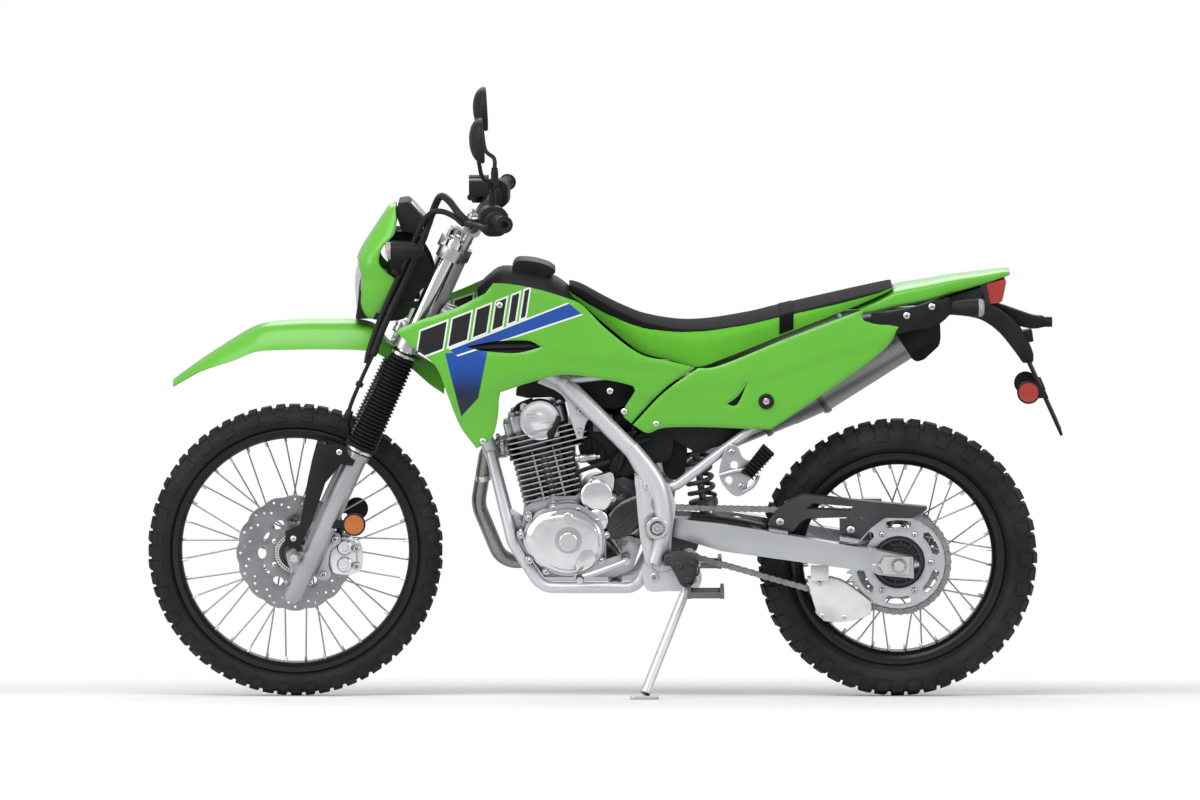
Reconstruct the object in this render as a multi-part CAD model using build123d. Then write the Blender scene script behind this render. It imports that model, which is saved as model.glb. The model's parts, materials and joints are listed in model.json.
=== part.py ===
"""Dual sport motorcycle, parked on its side stand.

The machine is drawn upright: X forward, Y to the rider's left, Z up, in millimetres, with the rear axle above
X = 0 and the ground at Z = 0.  At the end every piece is leaned onto the side stand and the whole is set so that
the origin is the middle of the bottom of its box.
"""
from build123d import *
from math import acos, atan2, cos, degrees, pi, radians, sin
import os

os.makedirs("parts", exist_ok=True)

# ---------------------------------------------------------------- driving sizes
WHEELBASE = 1365.0
TABLE_WHEELBASE = 1365.0   # the wheelbase that the front end's tables are drawn for
RAKE = 24.6                # steering axis back from the vertical, degrees
FORK_OFFSET = 52.167       # front axle ahead of the steering axis
LEAN = 8.0                 # lean onto the side stand, degrees
RUN = 0.05                 # radial clearance of a wheel on its axle
SEAT_GAP = 0.3             # clearance where one piece rests beside another


def wheel_sizes(r, height, lip, drop, **others):
    """A wheel from its radius, its tyre's height over the bead, and the rim's lip above and drop below the bead."""
    bead = r - height
    return dict(r=r, bead=bead, flange=bead + lip, well=bead - drop, **others)


# wheels: w = width of the tyre, lug = height of its lugs, pitches = lugs round the tread
FRONT = wheel_sizes(r=335.0, height=69.0, lip=13.0, drop=9.0, w=76.0, lug=8.0, rim_w=48.0, pitches=32)
REAR = wheel_sizes(r=318.0, height=89.0, lip=14.0, drop=15.0, w=108.0, lug=10.0, rim_w=62.0, pitches=26)
SPOKES = 36
SPOKE_R = 1.8
FRONT_AXLE_R = 7.5
REAR_AXLE_R = 8.5
FRONT_DISC_R = 132.5
REAR_DISC_R = 110.0
DISC_T = 4.0

# fork and steering, measured along the steering axis from the ground (s) and forward of it (f)
LEG_Y = 95.0               # half the distance between the fork legs
LEG_F = 18.0               # clamp offset
SLIDER_R = 25.0
TUBE_R = 18.5
SLIDER_S = (248.0, 632.0)
GAITER_S = (621.0, 872.0)
LOWER_CLAMP_S = (878.0, 912.0)
UPPER_CLAMP_S = (1104.0, 1132.0)
HEAD_TUBE_R = 27.0
STEM_R = 14.0

# chain drive
CHAIN_PITCH = 15.875
REAR_TEETH = 45
FRONT_TEETH = 14
CHAIN_Y = 73.0
LINK_HALF_H = 6.5          # half the height of a link plate
LINK_IN = 4.2              # from the chain's middle to a link plate's inner face
LINK_OUT = 7.2             # and to its outer face
ROLLER_R = 4.2
FRONT_SPROCKET_XZ = (610.0, 410.0)

# chassis
PIVOT_XZ = (548.0, 404.0)
PIVOT_BOLT_R = 8.0
SPAR_R = 19.0
CRADLE_R = 13.0
DOWNTUBE_R = 17.0
RAIL_R = 11.0
ARM_OUT_Y = 122.0          # outer face of the swingarm's arms
ARM_IN_Y = 92.0
SKIN_T = 4.0               # moulded body panels
STAND_PIVOT = (470.0, 136.0, 292.0)
STAND_FOOT = (575.0, 282.0)   # where the foot stands, forward of the rear axle and left of the centre plane

LUG_FLAT = 0.09            # half the flat top of a centre lug, as a share of half the tyre's width

REAR_AXLE = Vector(0, 0, REAR["r"])
FRONT_AXLE = Vector(WHEELBASE, 0, FRONT["r"])
NOSE = WHEELBASE - TABLE_WHEELBASE    # how far the front end stands ahead of where its tables are drawn


def lean_drop(spec):
    """How far a leaned tyre's lowest lug is below the ground line through the wheel's middle."""
    return LUG_FLAT * spec["w"] / 2 * sin(radians(LEAN))


def ground_z(x, y):
    """Height of the leaned ground, in the upright frame."""
    drop = lean_drop(REAR) + (lean_drop(FRONT) - lean_drop(REAR)) * x / WHEELBASE
    return (y * sin(radians(LEAN)) - drop) / cos(radians(LEAN))


PITCH = degrees((lean_drop(REAR) - lean_drop(FRONT)) / WHEELBASE)
STAND_FOOT_AT = Vector(STAND_FOOT[0], STAND_FOOT[1], ground_z(*STAND_FOOT))
STAND_DOWN = (STAND_FOOT_AT - Vector(*STAND_PIVOT)).normalized()
STAND_BACK = Vector(-0.996, 0.035, 0.04)
STAND_AXIS = STAND_DOWN.cross(STAND_BACK).normalized()

# ---------------------------------------------------------------- small tools
_r = radians(RAKE)
STEER_UP = Vector(-sin(_r), 0, cos(_r))
STEER_FWD = Vector(cos(_r), 0, sin(_r))
TRAIL = (FRONT["r"] * sin(_r) - FORK_OFFSET) / cos(_r)
STEER_FOOT = Vector(WHEELBASE + TRAIL, 0, 0)
STEER = Plane(origin=STEER_FOOT, x_dir=STEER_FWD, z_dir=STEER_UP).location
AXLE_S = (FRONT_AXLE - STEER_FOOT).dot(STEER_UP)
AXLE_F = (FRONT_AXLE - STEER_FOOT).dot(STEER_FWD)


TABLE_STEER = Pos(-NOSE, 0, 0) * STEER


def ahead(rows):
    """Rows of the front end's tables, moved on with the front wheel."""
    return [(x + NOSE, *rest) for x, *rest in rows]


def to_steer(x, z):
    """A point of the centre plane as (f, s) of the steering frame."""
    v = Vector(x, 0, z) - STEER_FOOT
    return v.dot(STEER_FWD), v.dot(STEER_UP)


def drawn(plane, outline):
    """A face in the plane from its outline, facing the plane's way whichever way round the outline runs."""
    area = sum(a[0] * b[1] - b[0] * a[1] for a, b in zip(outline, outline[1:] + outline[:1]))
    return plane * Polygon(*(outline if area > 0 else outline[::-1]), align=None)


def side_plane(x, y, z=0.0):
    """The plane of a side view at that y: across is X, up is Z."""
    return Plane(origin=(x, y, z), x_dir=(1, 0, 0), z_dir=(0, -1, 0))


def front_plane(x):
    """The plane of a cross-section at that x: across is Y, up is Z."""
    return Plane(origin=(x, 0, 0), x_dir=(0, 1, 0), z_dir=(1, 0, 0))


def plate(outline, y0, y1):
    """An outline of (x, z) as thick as from y0 to y1."""
    return extrude(drawn(side_plane(0, y1), outline), amount=y1 - y0)


def plan(outline, z0, z1):
    """An outline of (x, y) as high as from z0 to z1."""
    return extrude(drawn(Plane.XY.offset(z0), outline), amount=z1 - z0)


def section(outline, x0, x1):
    """An outline of (y, z) as long as from x0 to x1."""
    return extrude(drawn(front_plane(x0), outline), amount=x1 - x0)


def bar_y(x, z, r, y0, y1):
    """A round bar across the machine."""
    return extrude(side_plane(x, y1, z) * Circle(r), amount=y1 - y0)


def rod(a, b, r, r_end=None):
    """A round bar from a to b, tapered if it has an end radius."""
    a, b = Vector(*a), Vector(*b)
    length = (b - a).length
    base = Plane(origin=a, z_dir=b - a)
    if r_end is None:
        return extrude(base * Circle(r), amount=length)
    return loft([base * Circle(r), base.offset(length) * Circle(r_end)])


def tube(points, r, bends):
    """A round tube along a path of straight runs joined by arcs."""
    path = FilletPolyline(*points, radius=bends)
    return sweep(Plane(origin=path @ 0, z_dir=path % 0) * Circle(r), path=path)


def turned(profile, x=0.0, z=0.0):
    """A profile of (y, radius) turned about an axis across the machine."""
    return Pos(x, 0, z) * revolve(drawn(front_plane(0), profile), Axis.Y)


def spun(shape, angle, centre=Vector(0, 0, 0)):
    """The shape turned about the axis across the machine through centre."""
    return shape.rotate(Axis(centre, (0, 1, 0)), angle)


def both(shape):
    """The piece and its mirror image on the right."""
    return [shape, mirror(shape, about=Plane.XZ)]


def hoop(sections, t):
    """A moulded sheet like an upturned gutter, from sections of (x, top z, edge z, half width)."""
    faces = []
    for x, top, edge, half in sections:
        crown = (top - edge) * 0.22
        outer = [(half, edge), (half * 0.86, top - crown), (half * 0.45, top)]
        inner = [(half * 0.45 - t * 0.2, top - t), (half * 0.86 - t, top - crown - t * 0.6), (half - t, edge)]
        ring = outer + [(-y, z) for y, z in outer[::-1]] + [(-y, z) for y, z in inner[::-1]] + inner
        faces.append(drawn(front_plane(x), ring))
    return loft(faces, ruled=True)


def strip(sections, t):
    """A body panel's wall: sections of (z, [(x, outer y), ...]) joined by flat facets, t thick inwards."""
    faces = []
    for z, line in sections:
        ring = line + [(x, y - t) for x, y in line[::-1]]
        faces.append(drawn(Plane.XY.offset(z), ring))
    return loft(faces, ruled=True)


# ---------------------------------------------------------------- wheels
def tyre(spec):
    """A knobbly tyre: flat-faced slices round the wheel, centre lugs and shoulder lugs in turn."""
    r, half, lug, bead = spec["r"], spec["w"] / 2, spec["lug"], spec["bead"]
    base = r - lug
    rise = base - bead
    seat_w = spec["rim_w"] / 2 - 5 - SEAT_GAP
    side = [
        (seat_w, bead), (seat_w, spec["flange"] + 1), (half * 0.90, bead + rise * 0.40),
        (half * 0.97, bead + rise * 0.58),
    ]
    centre = [
        (half * 0.84, bead + rise * 0.80), (half * 0.50, base - rise * 0.06), (half * 0.47, r - lug * 0.35),
        (half * LUG_FLAT, r), (half * LUG_FLAT, base),
    ]
    shoulder = [
        (half * 0.97, bead + rise * 0.66), (half * 1.08, bead + rise * 0.74), (half * 1.00, bead + rise * 1.02),
        (half * 0.62, r - lug * 0.6), (half * 0.55, base - rise * 0.07), (0.0, base),
    ]
    step = 180.0 / spec["pitches"]
    slices = []
    wedge_r = r * 1.2
    half_step = radians(step / 2)
    wedge_x, wedge_z = wedge_r * sin(half_step), wedge_r * cos(half_step)
    wedge = plate([(0, 0), (wedge_x, -wedge_z), (-wedge_x, -wedge_z)], -r, r)
    for n, outline in enumerate((centre, shoulder)):
        ring = side + outline
        if outline[-1][0] == 0.0:
            ring = ring + [(-y, z) for y, z in ring[-2::-1]]
        else:
            ring = ring + [(-y, z) for y, z in ring[::-1]]
        block = section([(y, -z) for y, z in ring], -r * 0.2, r * 0.2) & wedge
        slices += [spun(block, step * (2 * k + n)) for k in range(spec["pitches"])]
    return Part() + slices


def rim(spec):
    """A drop-centre spoked rim with its two flanges."""
    w, flange, bead, well = spec["rim_w"] / 2, spec["flange"], spec["bead"], spec["well"]
    profile = [
        (w, bead - 2), (w, flange), (w - 5, flange), (w - 5, bead - 0.3), (-w + 5, bead - 0.3), (-w + 5, flange),
        (-w, flange), (-w, bead - 2), (-w * 0.55, well), (w * 0.55, well),
    ]
    return turned(profile)


def hub(axle_r, flange_r, width, left_y, right_y):
    """A spoked hub with two spoke flanges, bored for its axle."""
    b = axle_r + RUN
    w = width / 2
    return turned([
        (-right_y, b), (-right_y, 26), (-w - 5, 26), (-w - 5, flange_r), (-w + 5, flange_r), (-w + 9, 27),
        (w - 9, 27), (w - 5, flange_r), (w + 5, flange_r), (w + 5, 26), (left_y, 26), (left_y, b),
    ])


def spokes(spec, flange_r, width):
    """36 crossed wires between the hub's flanges and the rim."""
    wires = []
    per_side = SPOKES // 2
    lead = 62.0               # how far the wire's ends are turned from each other round the hub, degrees
    for side in (1, -1):
        for k in range(per_side):
            way = 1 if k % 2 else -1
            at_rim = (k + (0.25 if side > 0 else 0.75)) * 360.0 / per_side
            at_hub = radians(at_rim + way * lead)
            ring = radians(at_rim)
            y_hub = side * (width / 2 + way * 5.5)
            a = ((flange_r - 5) * sin(at_hub), y_hub, (flange_r - 5) * cos(at_hub))
            b = ((spec["well"] + 4) * sin(ring), side * 6.0, (spec["well"] + 4) * cos(ring))
            wires.append(rod(a, b, SPOKE_R))
    return wires


def petal_disc(radius, lobes, inner_r, y0):
    """A brake disc with a scalloped edge, windows and a ring of drillings."""
    disc = bar_y(0, 0, radius, y0, y0 + DISC_T)
    cuts = []
    for k in range(lobes):
        turn = 360.0 / lobes * k
        notch = Pos(0, y0, 0) * bar_y(0, radius + 13, 17, -1, DISC_T + 1)
        cuts.append(spun(notch, turn))
        if k % 2 == 0:
            window = Pos(0, y0, 0) * bar_y(0, radius * 0.60, 11, -1, DISC_T + 1)
            cuts.append(spun(window, turn + 180.0 / lobes))
        hole = Pos(0, y0, 0) * bar_y(0, radius * 0.87, 3.6, -1, DISC_T + 1)
        cuts.append(spun(hole, turn + 180.0 / lobes))
    cuts.append(bar_y(0, 0, inner_r, y0 - 1, y0 + DISC_T + 1))
    return disc - cuts


def sprocket(teeth, thick, y0, bore_r, windows):
    """A chain wheel whose teeth fill the chain's rollers' gaps."""
    pitch_r = CHAIN_PITCH / 2 / sin(pi / teeth)
    tip, root = pitch_r + 3.4, pitch_r - 5.2
    outline = []
    for k in range(teeth):
        for share, r in ((-0.30, root), (-0.12, tip), (0.12, tip), (0.30, root)):
            a = 2 * pi * (k + share) / teeth
            outline.append((r * sin(a), r * cos(a)))
    wheel = plate(outline[::-1], y0, y0 + thick)
    cuts = [bar_y(0, 0, bore_r, y0 - 1, y0 + thick + 1)]
    for k in range(windows):
        slot = [bar_y(d, pitch_r * 0.78, 9, y0 - 1, y0 + thick + 1) for d in (-13, 0, 13)]
        cuts += [spun(s, 360.0 / windows * (k + 0.5)) for s in slot]
    return wheel - cuts


def wheel_parts():
    made = {}
    fx, fz = FRONT_AXLE.X, FRONT_AXLE.Z
    front, rear = Pos(fx, 0, fz), Pos(0, 0, REAR_AXLE.Z)
    front_hub_w, rear_hub_w = 58.0, 74.0
    made["front_tyre"] = front * tyre(FRONT)
    made["front_rim"] = front * rim(FRONT)
    made["front_hub"] = front * hub(FRONT_AXLE_R, 34.0, front_hub_w, 54.0, 46.0)
    made["front_spokes"] = [front * s for s in spokes(FRONT, 34.0, front_hub_w)]
    made["front_disc"] = front * petal_disc(FRONT_DISC_R, 12, 26.0 + RUN, 44.0)
    made["rear_tyre"] = rear * tyre(REAR)
    made["rear_rim"] = rear * rim(REAR)
    made["rear_hub"] = rear * hub(REAR_AXLE_R, 56.0, rear_hub_w, CHAIN_Y - 3.5 + 18, 88.0)
    made["rear_spokes"] = [rear * s for s in spokes(REAR, 56.0, rear_hub_w)]
    made["rear_sprocket"] = rear * sprocket(REAR_TEETH, 6.0, CHAIN_Y - 3.0, 26.0 + RUN, 6)
    made["rear_disc"] = rear * petal_disc(REAR_DISC_R, 10, 26.0 + RUN, -78.0)
    return made


# ---------------------------------------------------------------- fork and everything that steers
def steer_bar(f, y, s0, s1, r, r_end=None):
    """A round bar along the steering axis's direction, in the steering frame."""
    return rod((f, y, s0), (f, y, s1), r, r_end)


def fork_parts():
    made = {}
    leg = steer_bar(LEG_F, LEG_Y, SLIDER_S[0] + 12, SLIDER_S[1], SLIDER_R)
    leg += steer_bar(LEG_F, LEG_Y, SLIDER_S[0], SLIDER_S[0] + 12, SLIDER_R - 5, SLIDER_R)
    leg += steer_bar(LEG_F, LEG_Y, SLIDER_S[1] - 26, SLIDER_S[1] - 12, SLIDER_R + 3)
    leg += plate([
        (LEG_F - 4, AXLE_S - 48), (LEG_F - 4, AXLE_S + 52), (AXLE_F + 6, AXLE_S + 20), (AXLE_F + 20, AXLE_S),
        (AXLE_F + 6, AXLE_S - 20),
    ], LEG_Y - 17, LEG_Y + 17)
    leg -= steer_bar(LEG_F, LEG_Y, SLIDER_S[1] - 40, SLIDER_S[1] + 1, TUBE_R + RUN)
    leg -= bar_y(AXLE_F, AXLE_S, FRONT_AXLE_R + RUN, LEG_Y - 60, LEG_Y + 60)
    made["fork_legs"] = both(leg)
    made["fork_tubes"] = both(
        steer_bar(LEG_F, LEG_Y, SLIDER_S[1] - 39.5, UPPER_CLAMP_S[1] + 16, TUBE_R)
        + steer_bar(LEG_F, LEG_Y, UPPER_CLAMP_S[1] + 16, UPPER_CLAMP_S[1] + 20, TUBE_R - 4)
    )
    # ribbed rubber gaiter, narrower at the top
    ribs = 17
    wall = [(TUBE_R + 0.2, GAITER_S[0] + 22), (SLIDER_R + 0.3, GAITER_S[0] + 22), (SLIDER_R + 0.3, GAITER_S[0])]
    rib = (GAITER_S[1] - GAITER_S[0] - 24) / ribs
    outer = [(SLIDER_R + 5, GAITER_S[0])]
    for k in range(ribs):
        s = GAITER_S[0] + 12 + rib * k
        taper = 4.0 * k / ribs
        outer += [(31 - taper, s), (36 - taper, s + rib * 0.5)]
    outer += [(26.5, GAITER_S[1] - 12), (26.5, GAITER_S[1]), (TUBE_R + 0.2, GAITER_S[1])]
    gaiter = Pos(LEG_F, LEG_Y, 0) * revolve(drawn(side_plane(0, 0), outer + wall), Axis.Z)
    made["fork_gaiters"] = both(gaiter)

    def clamp(s0, s1, half_w, nose):
        body = plan([
            (-30, 16), (-30, -16), (-10, -50), (-4, -half_w), (LEG_F + 22, -half_w - 12),
            (LEG_F + nose, -half_w + 22),
            (LEG_F + nose - 8, 0), (LEG_F + nose, half_w - 22), (LEG_F + 22, half_w + 12), (-4, half_w),
            (-10, 50),
        ], s0, s1)
        for y in (LEG_Y, -LEG_Y):
            body += steer_bar(LEG_F, y, s0, s1, TUBE_R + 10)
        for y in (LEG_Y, -LEG_Y):
            body -= steer_bar(LEG_F, y, s0 - 1, s1 + 1, TUBE_R + 0.02)
        return body

    yokes = clamp(*LOWER_CLAMP_S, LEG_Y, 30) + clamp(*UPPER_CLAMP_S, LEG_Y, 24)
    yokes += steer_bar(0, 0, LOWER_CLAMP_S[0], UPPER_CLAMP_S[1] + 8, STEM_R)
    yokes += steer_bar(0, 0, UPPER_CLAMP_S[1], UPPER_CLAMP_S[1] + 12, 17)
    # bar risers on the upper clamp
    bf, bs = to_steer(*BAR_XZ)
    for y in (46, -46):
        yokes += rod((-4, y, UPPER_CLAMP_S[1] - 2), (bf, y, bs), 13)
        yokes += extrude(side_plane(bf, y + 14, bs) * RectangleRounded(40, 40, 12), amount=28)
        yokes -= bar_y(bf, bs, BAR_R + 0.02, y - 20, y + 20)
    made["triple_clamps"] = yokes
    axle = bar_y(AXLE_F, AXLE_S, FRONT_AXLE_R, -LEG_Y - 24, LEG_Y + 24)
    axle += bar_y(AXLE_F, AXLE_S, 13, LEG_Y + 17.3, LEG_Y + 26)
    axle += bar_y(AXLE_F, AXLE_S, 13, -LEG_Y - 26, -LEG_Y - 17.3)
    # spacers between the legs and the hub
    axle += bar_y(AXLE_F, AXLE_S, 15, 55.0, LEG_Y - 17.3)
    axle += bar_y(AXLE_F, AXLE_S, 15, -LEG_Y + 17.3, -47.0)
    made["front_axle"] = axle
    return {k: [STEER * p for p in v] if isinstance(v, list) else STEER * v for k, v in made.items()}


BAR_XZ = (960.0 + NOSE, 1078.0)   # centre of the handlebar in its clamps
BAR_R = 11.0
GRIP = dict(y0=285.0, y1=408.0, r=16.5)
BAR_END = (886.0 + NOSE, 1127.0)  # bar end in the side view
BAR_KNEE = (930.0 + NOSE, 1112.0)
BAR_KNEE_Y = 164.0
BAR_SLOPE = [(a - b) / (GRIP["y1"] - BAR_KNEE_Y) for a, b in zip(BAR_END, BAR_KNEE)]
BAR_BORE_R = 9.0
BAR_BORE_LENGTH = 60.0


def on_bar(y):
    """A point on the left half of the bar's outer run."""
    return (BAR_KNEE[0] + BAR_SLOPE[0] * (y - BAR_KNEE_Y), y, BAR_KNEE[1] + BAR_SLOPE[1] * (y - BAR_KNEE_Y))


def bar_end_line():
    """The bore in the bar's left end: its floor and its mouth."""
    mouth, inboard = Vector(*on_bar(GRIP["y1"])), Vector(*on_bar(BAR_KNEE_Y))
    return mouth - (mouth - inboard).normalized() * BAR_BORE_LENGTH, mouth


def handlebar_parts():
    made = {}
    at = on_bar
    # centre, clamp, knee, end: x, y, z
    left = [(BAR_XZ[0], 0, BAR_XZ[1]), (BAR_XZ[0], 90, BAR_XZ[1]), at(BAR_KNEE_Y), at(GRIP["y1"])]
    points = [(x, -y, z) for x, y, z in left[:0:-1]] + left[1:]
    bar = tube(points, BAR_R, [70, 50, 50, 70])
    bore = rod(*[tuple(p) for p in bar_end_line()], BAR_BORE_R)
    made["handlebar"] = bar - bore - mirror(bore, about=Plane.XZ)
    sleeve = rod(at(GRIP["y0"]), at(GRIP["y1"]), GRIP["r"])
    sleeve += rod(at(GRIP["y0"]), at(GRIP["y0"] + 6), GRIP["r"] + 7)
    sleeve += rod(at(GRIP["y1"] - 8), at(GRIP["y1"]), GRIP["r"] + 3)
    bore = rod(at(GRIP["y0"] - 2), at(GRIP["y1"] + 2), BAR_R + 0.02)
    made["grips"] = both(sleeve - bore)
    # switch housing and lever perch inboard of each grip, with its lever
    x, y, z = at(GRIP["y0"] - 25)
    pod = Pos(x, y, z) * Rot(0, 0, 8) * extrude(
        side_plane(0, 21) * RectangleRounded(62, 66, 24), amount=42
    )
    px, py, pz = at(GRIP["y0"] - 64)
    perch = Pos(px, py, pz) * extrude(
        side_plane(0, 18) * RectangleRounded(44, 38, 12), amount=36
    )
    lx, ly, lz = px + 34, py + 6, pz - 6
    perch += rod((px, py + 6, pz), (lx, ly, lz), 10)
    perch += Pos(lx, ly, lz) * Cylinder(13, 16)
    lever = tube(
        [(lx, ly, lz), (lx + 20, ly + 22, lz), (lx - 8, ly + 92, lz + 4), (lx - 26, ly + 172, lz + 8)],
        6.5, [14, 60]
    )
    lever += Pos(lx - 26, ly + 172, lz + 8) * Sphere(8.5)
    control = pod + perch + lever
    control -= rod(at(GRIP["y0"] - 110), at(GRIP["y0"]), BAR_R + 0.02)
    right = mirror(control, about=Plane.XZ)
    # brake fluid reservoir on the right-hand lever
    right += Pos(px + 31, -py + 25, pz + 22) * Box(44, 39, 36)
    right -= mirror(rod(at(GRIP["y0"] - 110), at(GRIP["y0"]), BAR_R + 0.02), about=Plane.XZ)
    made["hand_controls"] = [control, right]
    # mirrors on stems above the perches
    stem_foot = Vector(px - 5, py + 6, pz + 19 + SEAT_GAP)
    head = Vector(942 + NOSE, 318, 1262)
    boot = rod(tuple(stem_foot), tuple(stem_foot + Vector(0, 0, 46)), 9, 7)
    stem = boot + tube([tuple(stem_foot + Vector(0, 0, 40)), tuple(stem_foot + Vector(0, 4, 84)),
        tuple(head)], 5, [60])
    shell_plan = Plane(origin=(940 + NOSE, 322, 1305), x_dir=(0, 1, 0), z_dir=(-1, 0, 0.06))
    back = loft([
        shell_plan * Pos(0, 0, 6) * Ellipse(62, 52), shell_plan * Pos(0, 0, -10) * Ellipse(56, 46),
        shell_plan * Pos(0, 0, -24) * Ellipse(26, 20),
    ])
    made["mirrors"] = both(stem + back)
    return made


FENDER_T = 4.0
# x, top z, edge z, half width of the front mudguard from tip to tail
FRONT_FENDER = [
    (1639, 722, 714, 22), (1575, 769, 752, 40), (1503, 816, 776, 56), (1452, 845, 797, 66), (1401, 857, 803, 70),
    (1285, 861, 806, 72), (1190, 853, 800, 66), (1152, 808, 780, 54), (1100, 788, 757, 54), (1060, 764, 722, 54),
    (1026, 734, 698, 50),
]


def front_body_parts():
    made = {}
    fender = hoop(FRONT_FENDER, FENDER_T)
    # spacer blocks up to the lower clamp
    block = TABLE_STEER * Pos(LEG_F - 4, 0, LOWER_CLAMP_S[0] - SEAT_GAP - 11) * Box(44, 60, 22)
    made["front_fender"] = fender + block
    # headlight cowl: a mask open to the rear
    outline = [
        (1144, 1130), (1184, 1073), (1220, 1015), (1233, 960), (1231, 915), (1227, 885), (1213, 866), (1162, 866),
        (1140, 915), (1130, 961), (1162, 964), (1174, 993), (1164, 1037), (1134, 1069), (1135, 1124),
    ]
    mask_front = [(1160, 96), (1205, 84), (1236, 52), (1240, 0), (1236, -52), (1205, -84), (1160, -96)]
    rear_x = 1080
    block = plan([(rear_x, 104)] + mask_front + [(rear_x, -104)], 860, 1135)
    skin = plate(outline, -130, 130) & block
    skin &= plate([(1100, 1135), (1150, 1135), (1260, 1010), (1260, 860), (1100, 860)], -130, 130)
    inner_front = [(x - 5, y * 0.94) for x, y in mask_front]
    inner = plan([(rear_x - 5, 98)] + inner_front + [(rear_x - 5, -98)], 871, 1128)
    inner_cut = plate([(x - 5, z - 2) for x, z in outline[:8]] + [(1060, 866), (1060, 1125)], -130, 130)
    # taper towards the top
    cowl = skin - (inner & inner_cut)
    for side in (1, -1):
        cowl -= section([(side * 66, 1140), (side * 110, 1015), (side * 160, 1015), (side * 160, 1140)],
            1000, 1300)
    window = section([(-62, 1000), (62, 1000), (74, 950), (48, 884), (-48, 884), (-74, 950)], 1190, 1270)
    cowl -= window
    for side in (1, -1):
        y0, y1 = sorted((side * 64.5, side * 88))
        cowl += bar_y(1185, 985, 7, y0, y1)
    made["headlight_cowl"] = cowl
    lamp = section([(-60, 998), (60, 998), (72, 950), (46, 886), (-46, 886), (-72, 950)], 1130, 1234)
    lamp = chamfer(lamp.faces().sort_by(Axis.X)[-1].edges(), 6)
    # bracket from the lamp back to the fork
    stay = plate([(1150, 1046), (1074, 1046), (1048, 985), (1034, 930), (1062, 930), (1140, 966)], 72, 78)
    stay -= TABLE_STEER * steer_bar(LEG_F, LEG_Y, SLIDER_S[1], UPPER_CLAMP_S[0] - 1, TUBE_R + SEAT_GAP)
    stay_r = mirror(stay, about=Plane.XZ)
    bridge = Pos(1137, 0, 1006) * Box(22, 156, 22)
    made["headlight"] = lamp + stay + stay_r + bridge
    meter = plate([(1126, 1135), (1106, 1138), (1064, 1093), (1080, 1059), (1122, 1069), (1134, 1109)], -58, 58)
    foot = plate([(1138, 1066), (1092, 1062), (1092, 1017.2), (1138, 1017.2)], -20, 20)
    made["instrument"] = meter + foot
    made["front_signals"] = signals(1070, 1158, 1037, 150, 78.3)
    return moved_ahead(made)


def moved_ahead(made):
    """Pieces from the front end's tables, moved on with the front wheel."""
    return {
        name: [Pos(NOSE, 0, 0) * part for part in shape] if isinstance(shape, list) else Pos(NOSE, 0, 0) * shape
        for name, shape in made.items()
    }


def signals(x_back, x_lens, z, y, stalk_y):
    """A pair of indicator lamps: stalk, cup and lens, pointing along the machine."""
    step = 1 if x_lens > x_back else -1
    neck = rod((x_back + 14 * step, stalk_y, z), (x_back + 14 * step, y, z), 7)
    cup = rod((x_back, y, z), (x_lens - 14 * step, y, z), 13, 20)
    lens = rod((x_lens - 14 * step, y, z), (x_lens, y, z), 20, 18)
    return both(neck + cup + lens)


# ---------------------------------------------------------------- chassis
SPAR_PATH = [(1032 + NOSE, 20, 882), (760, 80, 735), (600, 100, 575), (540, 103, 470)]
CRADLE_PATH = [(922, 10, 560), (872, 62, 360), (806, 84, 262), (592, 88, 262), (548, 98, 350)]
RAIL_PATH = [(750, 82, 736), (610, 84, 752), (430, 84, 744), (120, 84, 862), (-80, 63, 876)]
STAY_PATH = [(556, 84, 476), (500, 84, 496), (180, 84, 740), (104, 84, 850)]


def spar_tube(r):
    return tube(SPAR_PATH, r, [90, 90])


def cradle_tube(r):
    return tube(CRADLE_PATH, r, [60, 50, 40])


def rail_tube(r):
    return tube(RAIL_PATH, r, [60, 80, 80])


def stay_tube(r):
    return tube(STAY_PATH, r, [20, 40])


def paired(shape):
    return shape + mirror(shape, about=Plane.XZ)


def grown_spars():
    """The spars with the clearance of a piece that rests on them."""
    return paired(spar_tube(SPAR_R + SEAT_GAP))


def grown_cradle():
    return paired(cradle_tube(CRADLE_R + SEAT_GAP))


def grown_rails():
    return paired(rail_tube(RAIL_R + SEAT_GAP))


def pads(rows):
    """Mounting blocks in pairs, from rows of (x, y, z, length, width, height)."""
    made = Part()
    for x, y, z, a, b, c in rows:
        made += Pos(x, y, z) * Box(a, b, c)
        made += Pos(x, -y, z) * Box(a, b, c)
    return made


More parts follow.
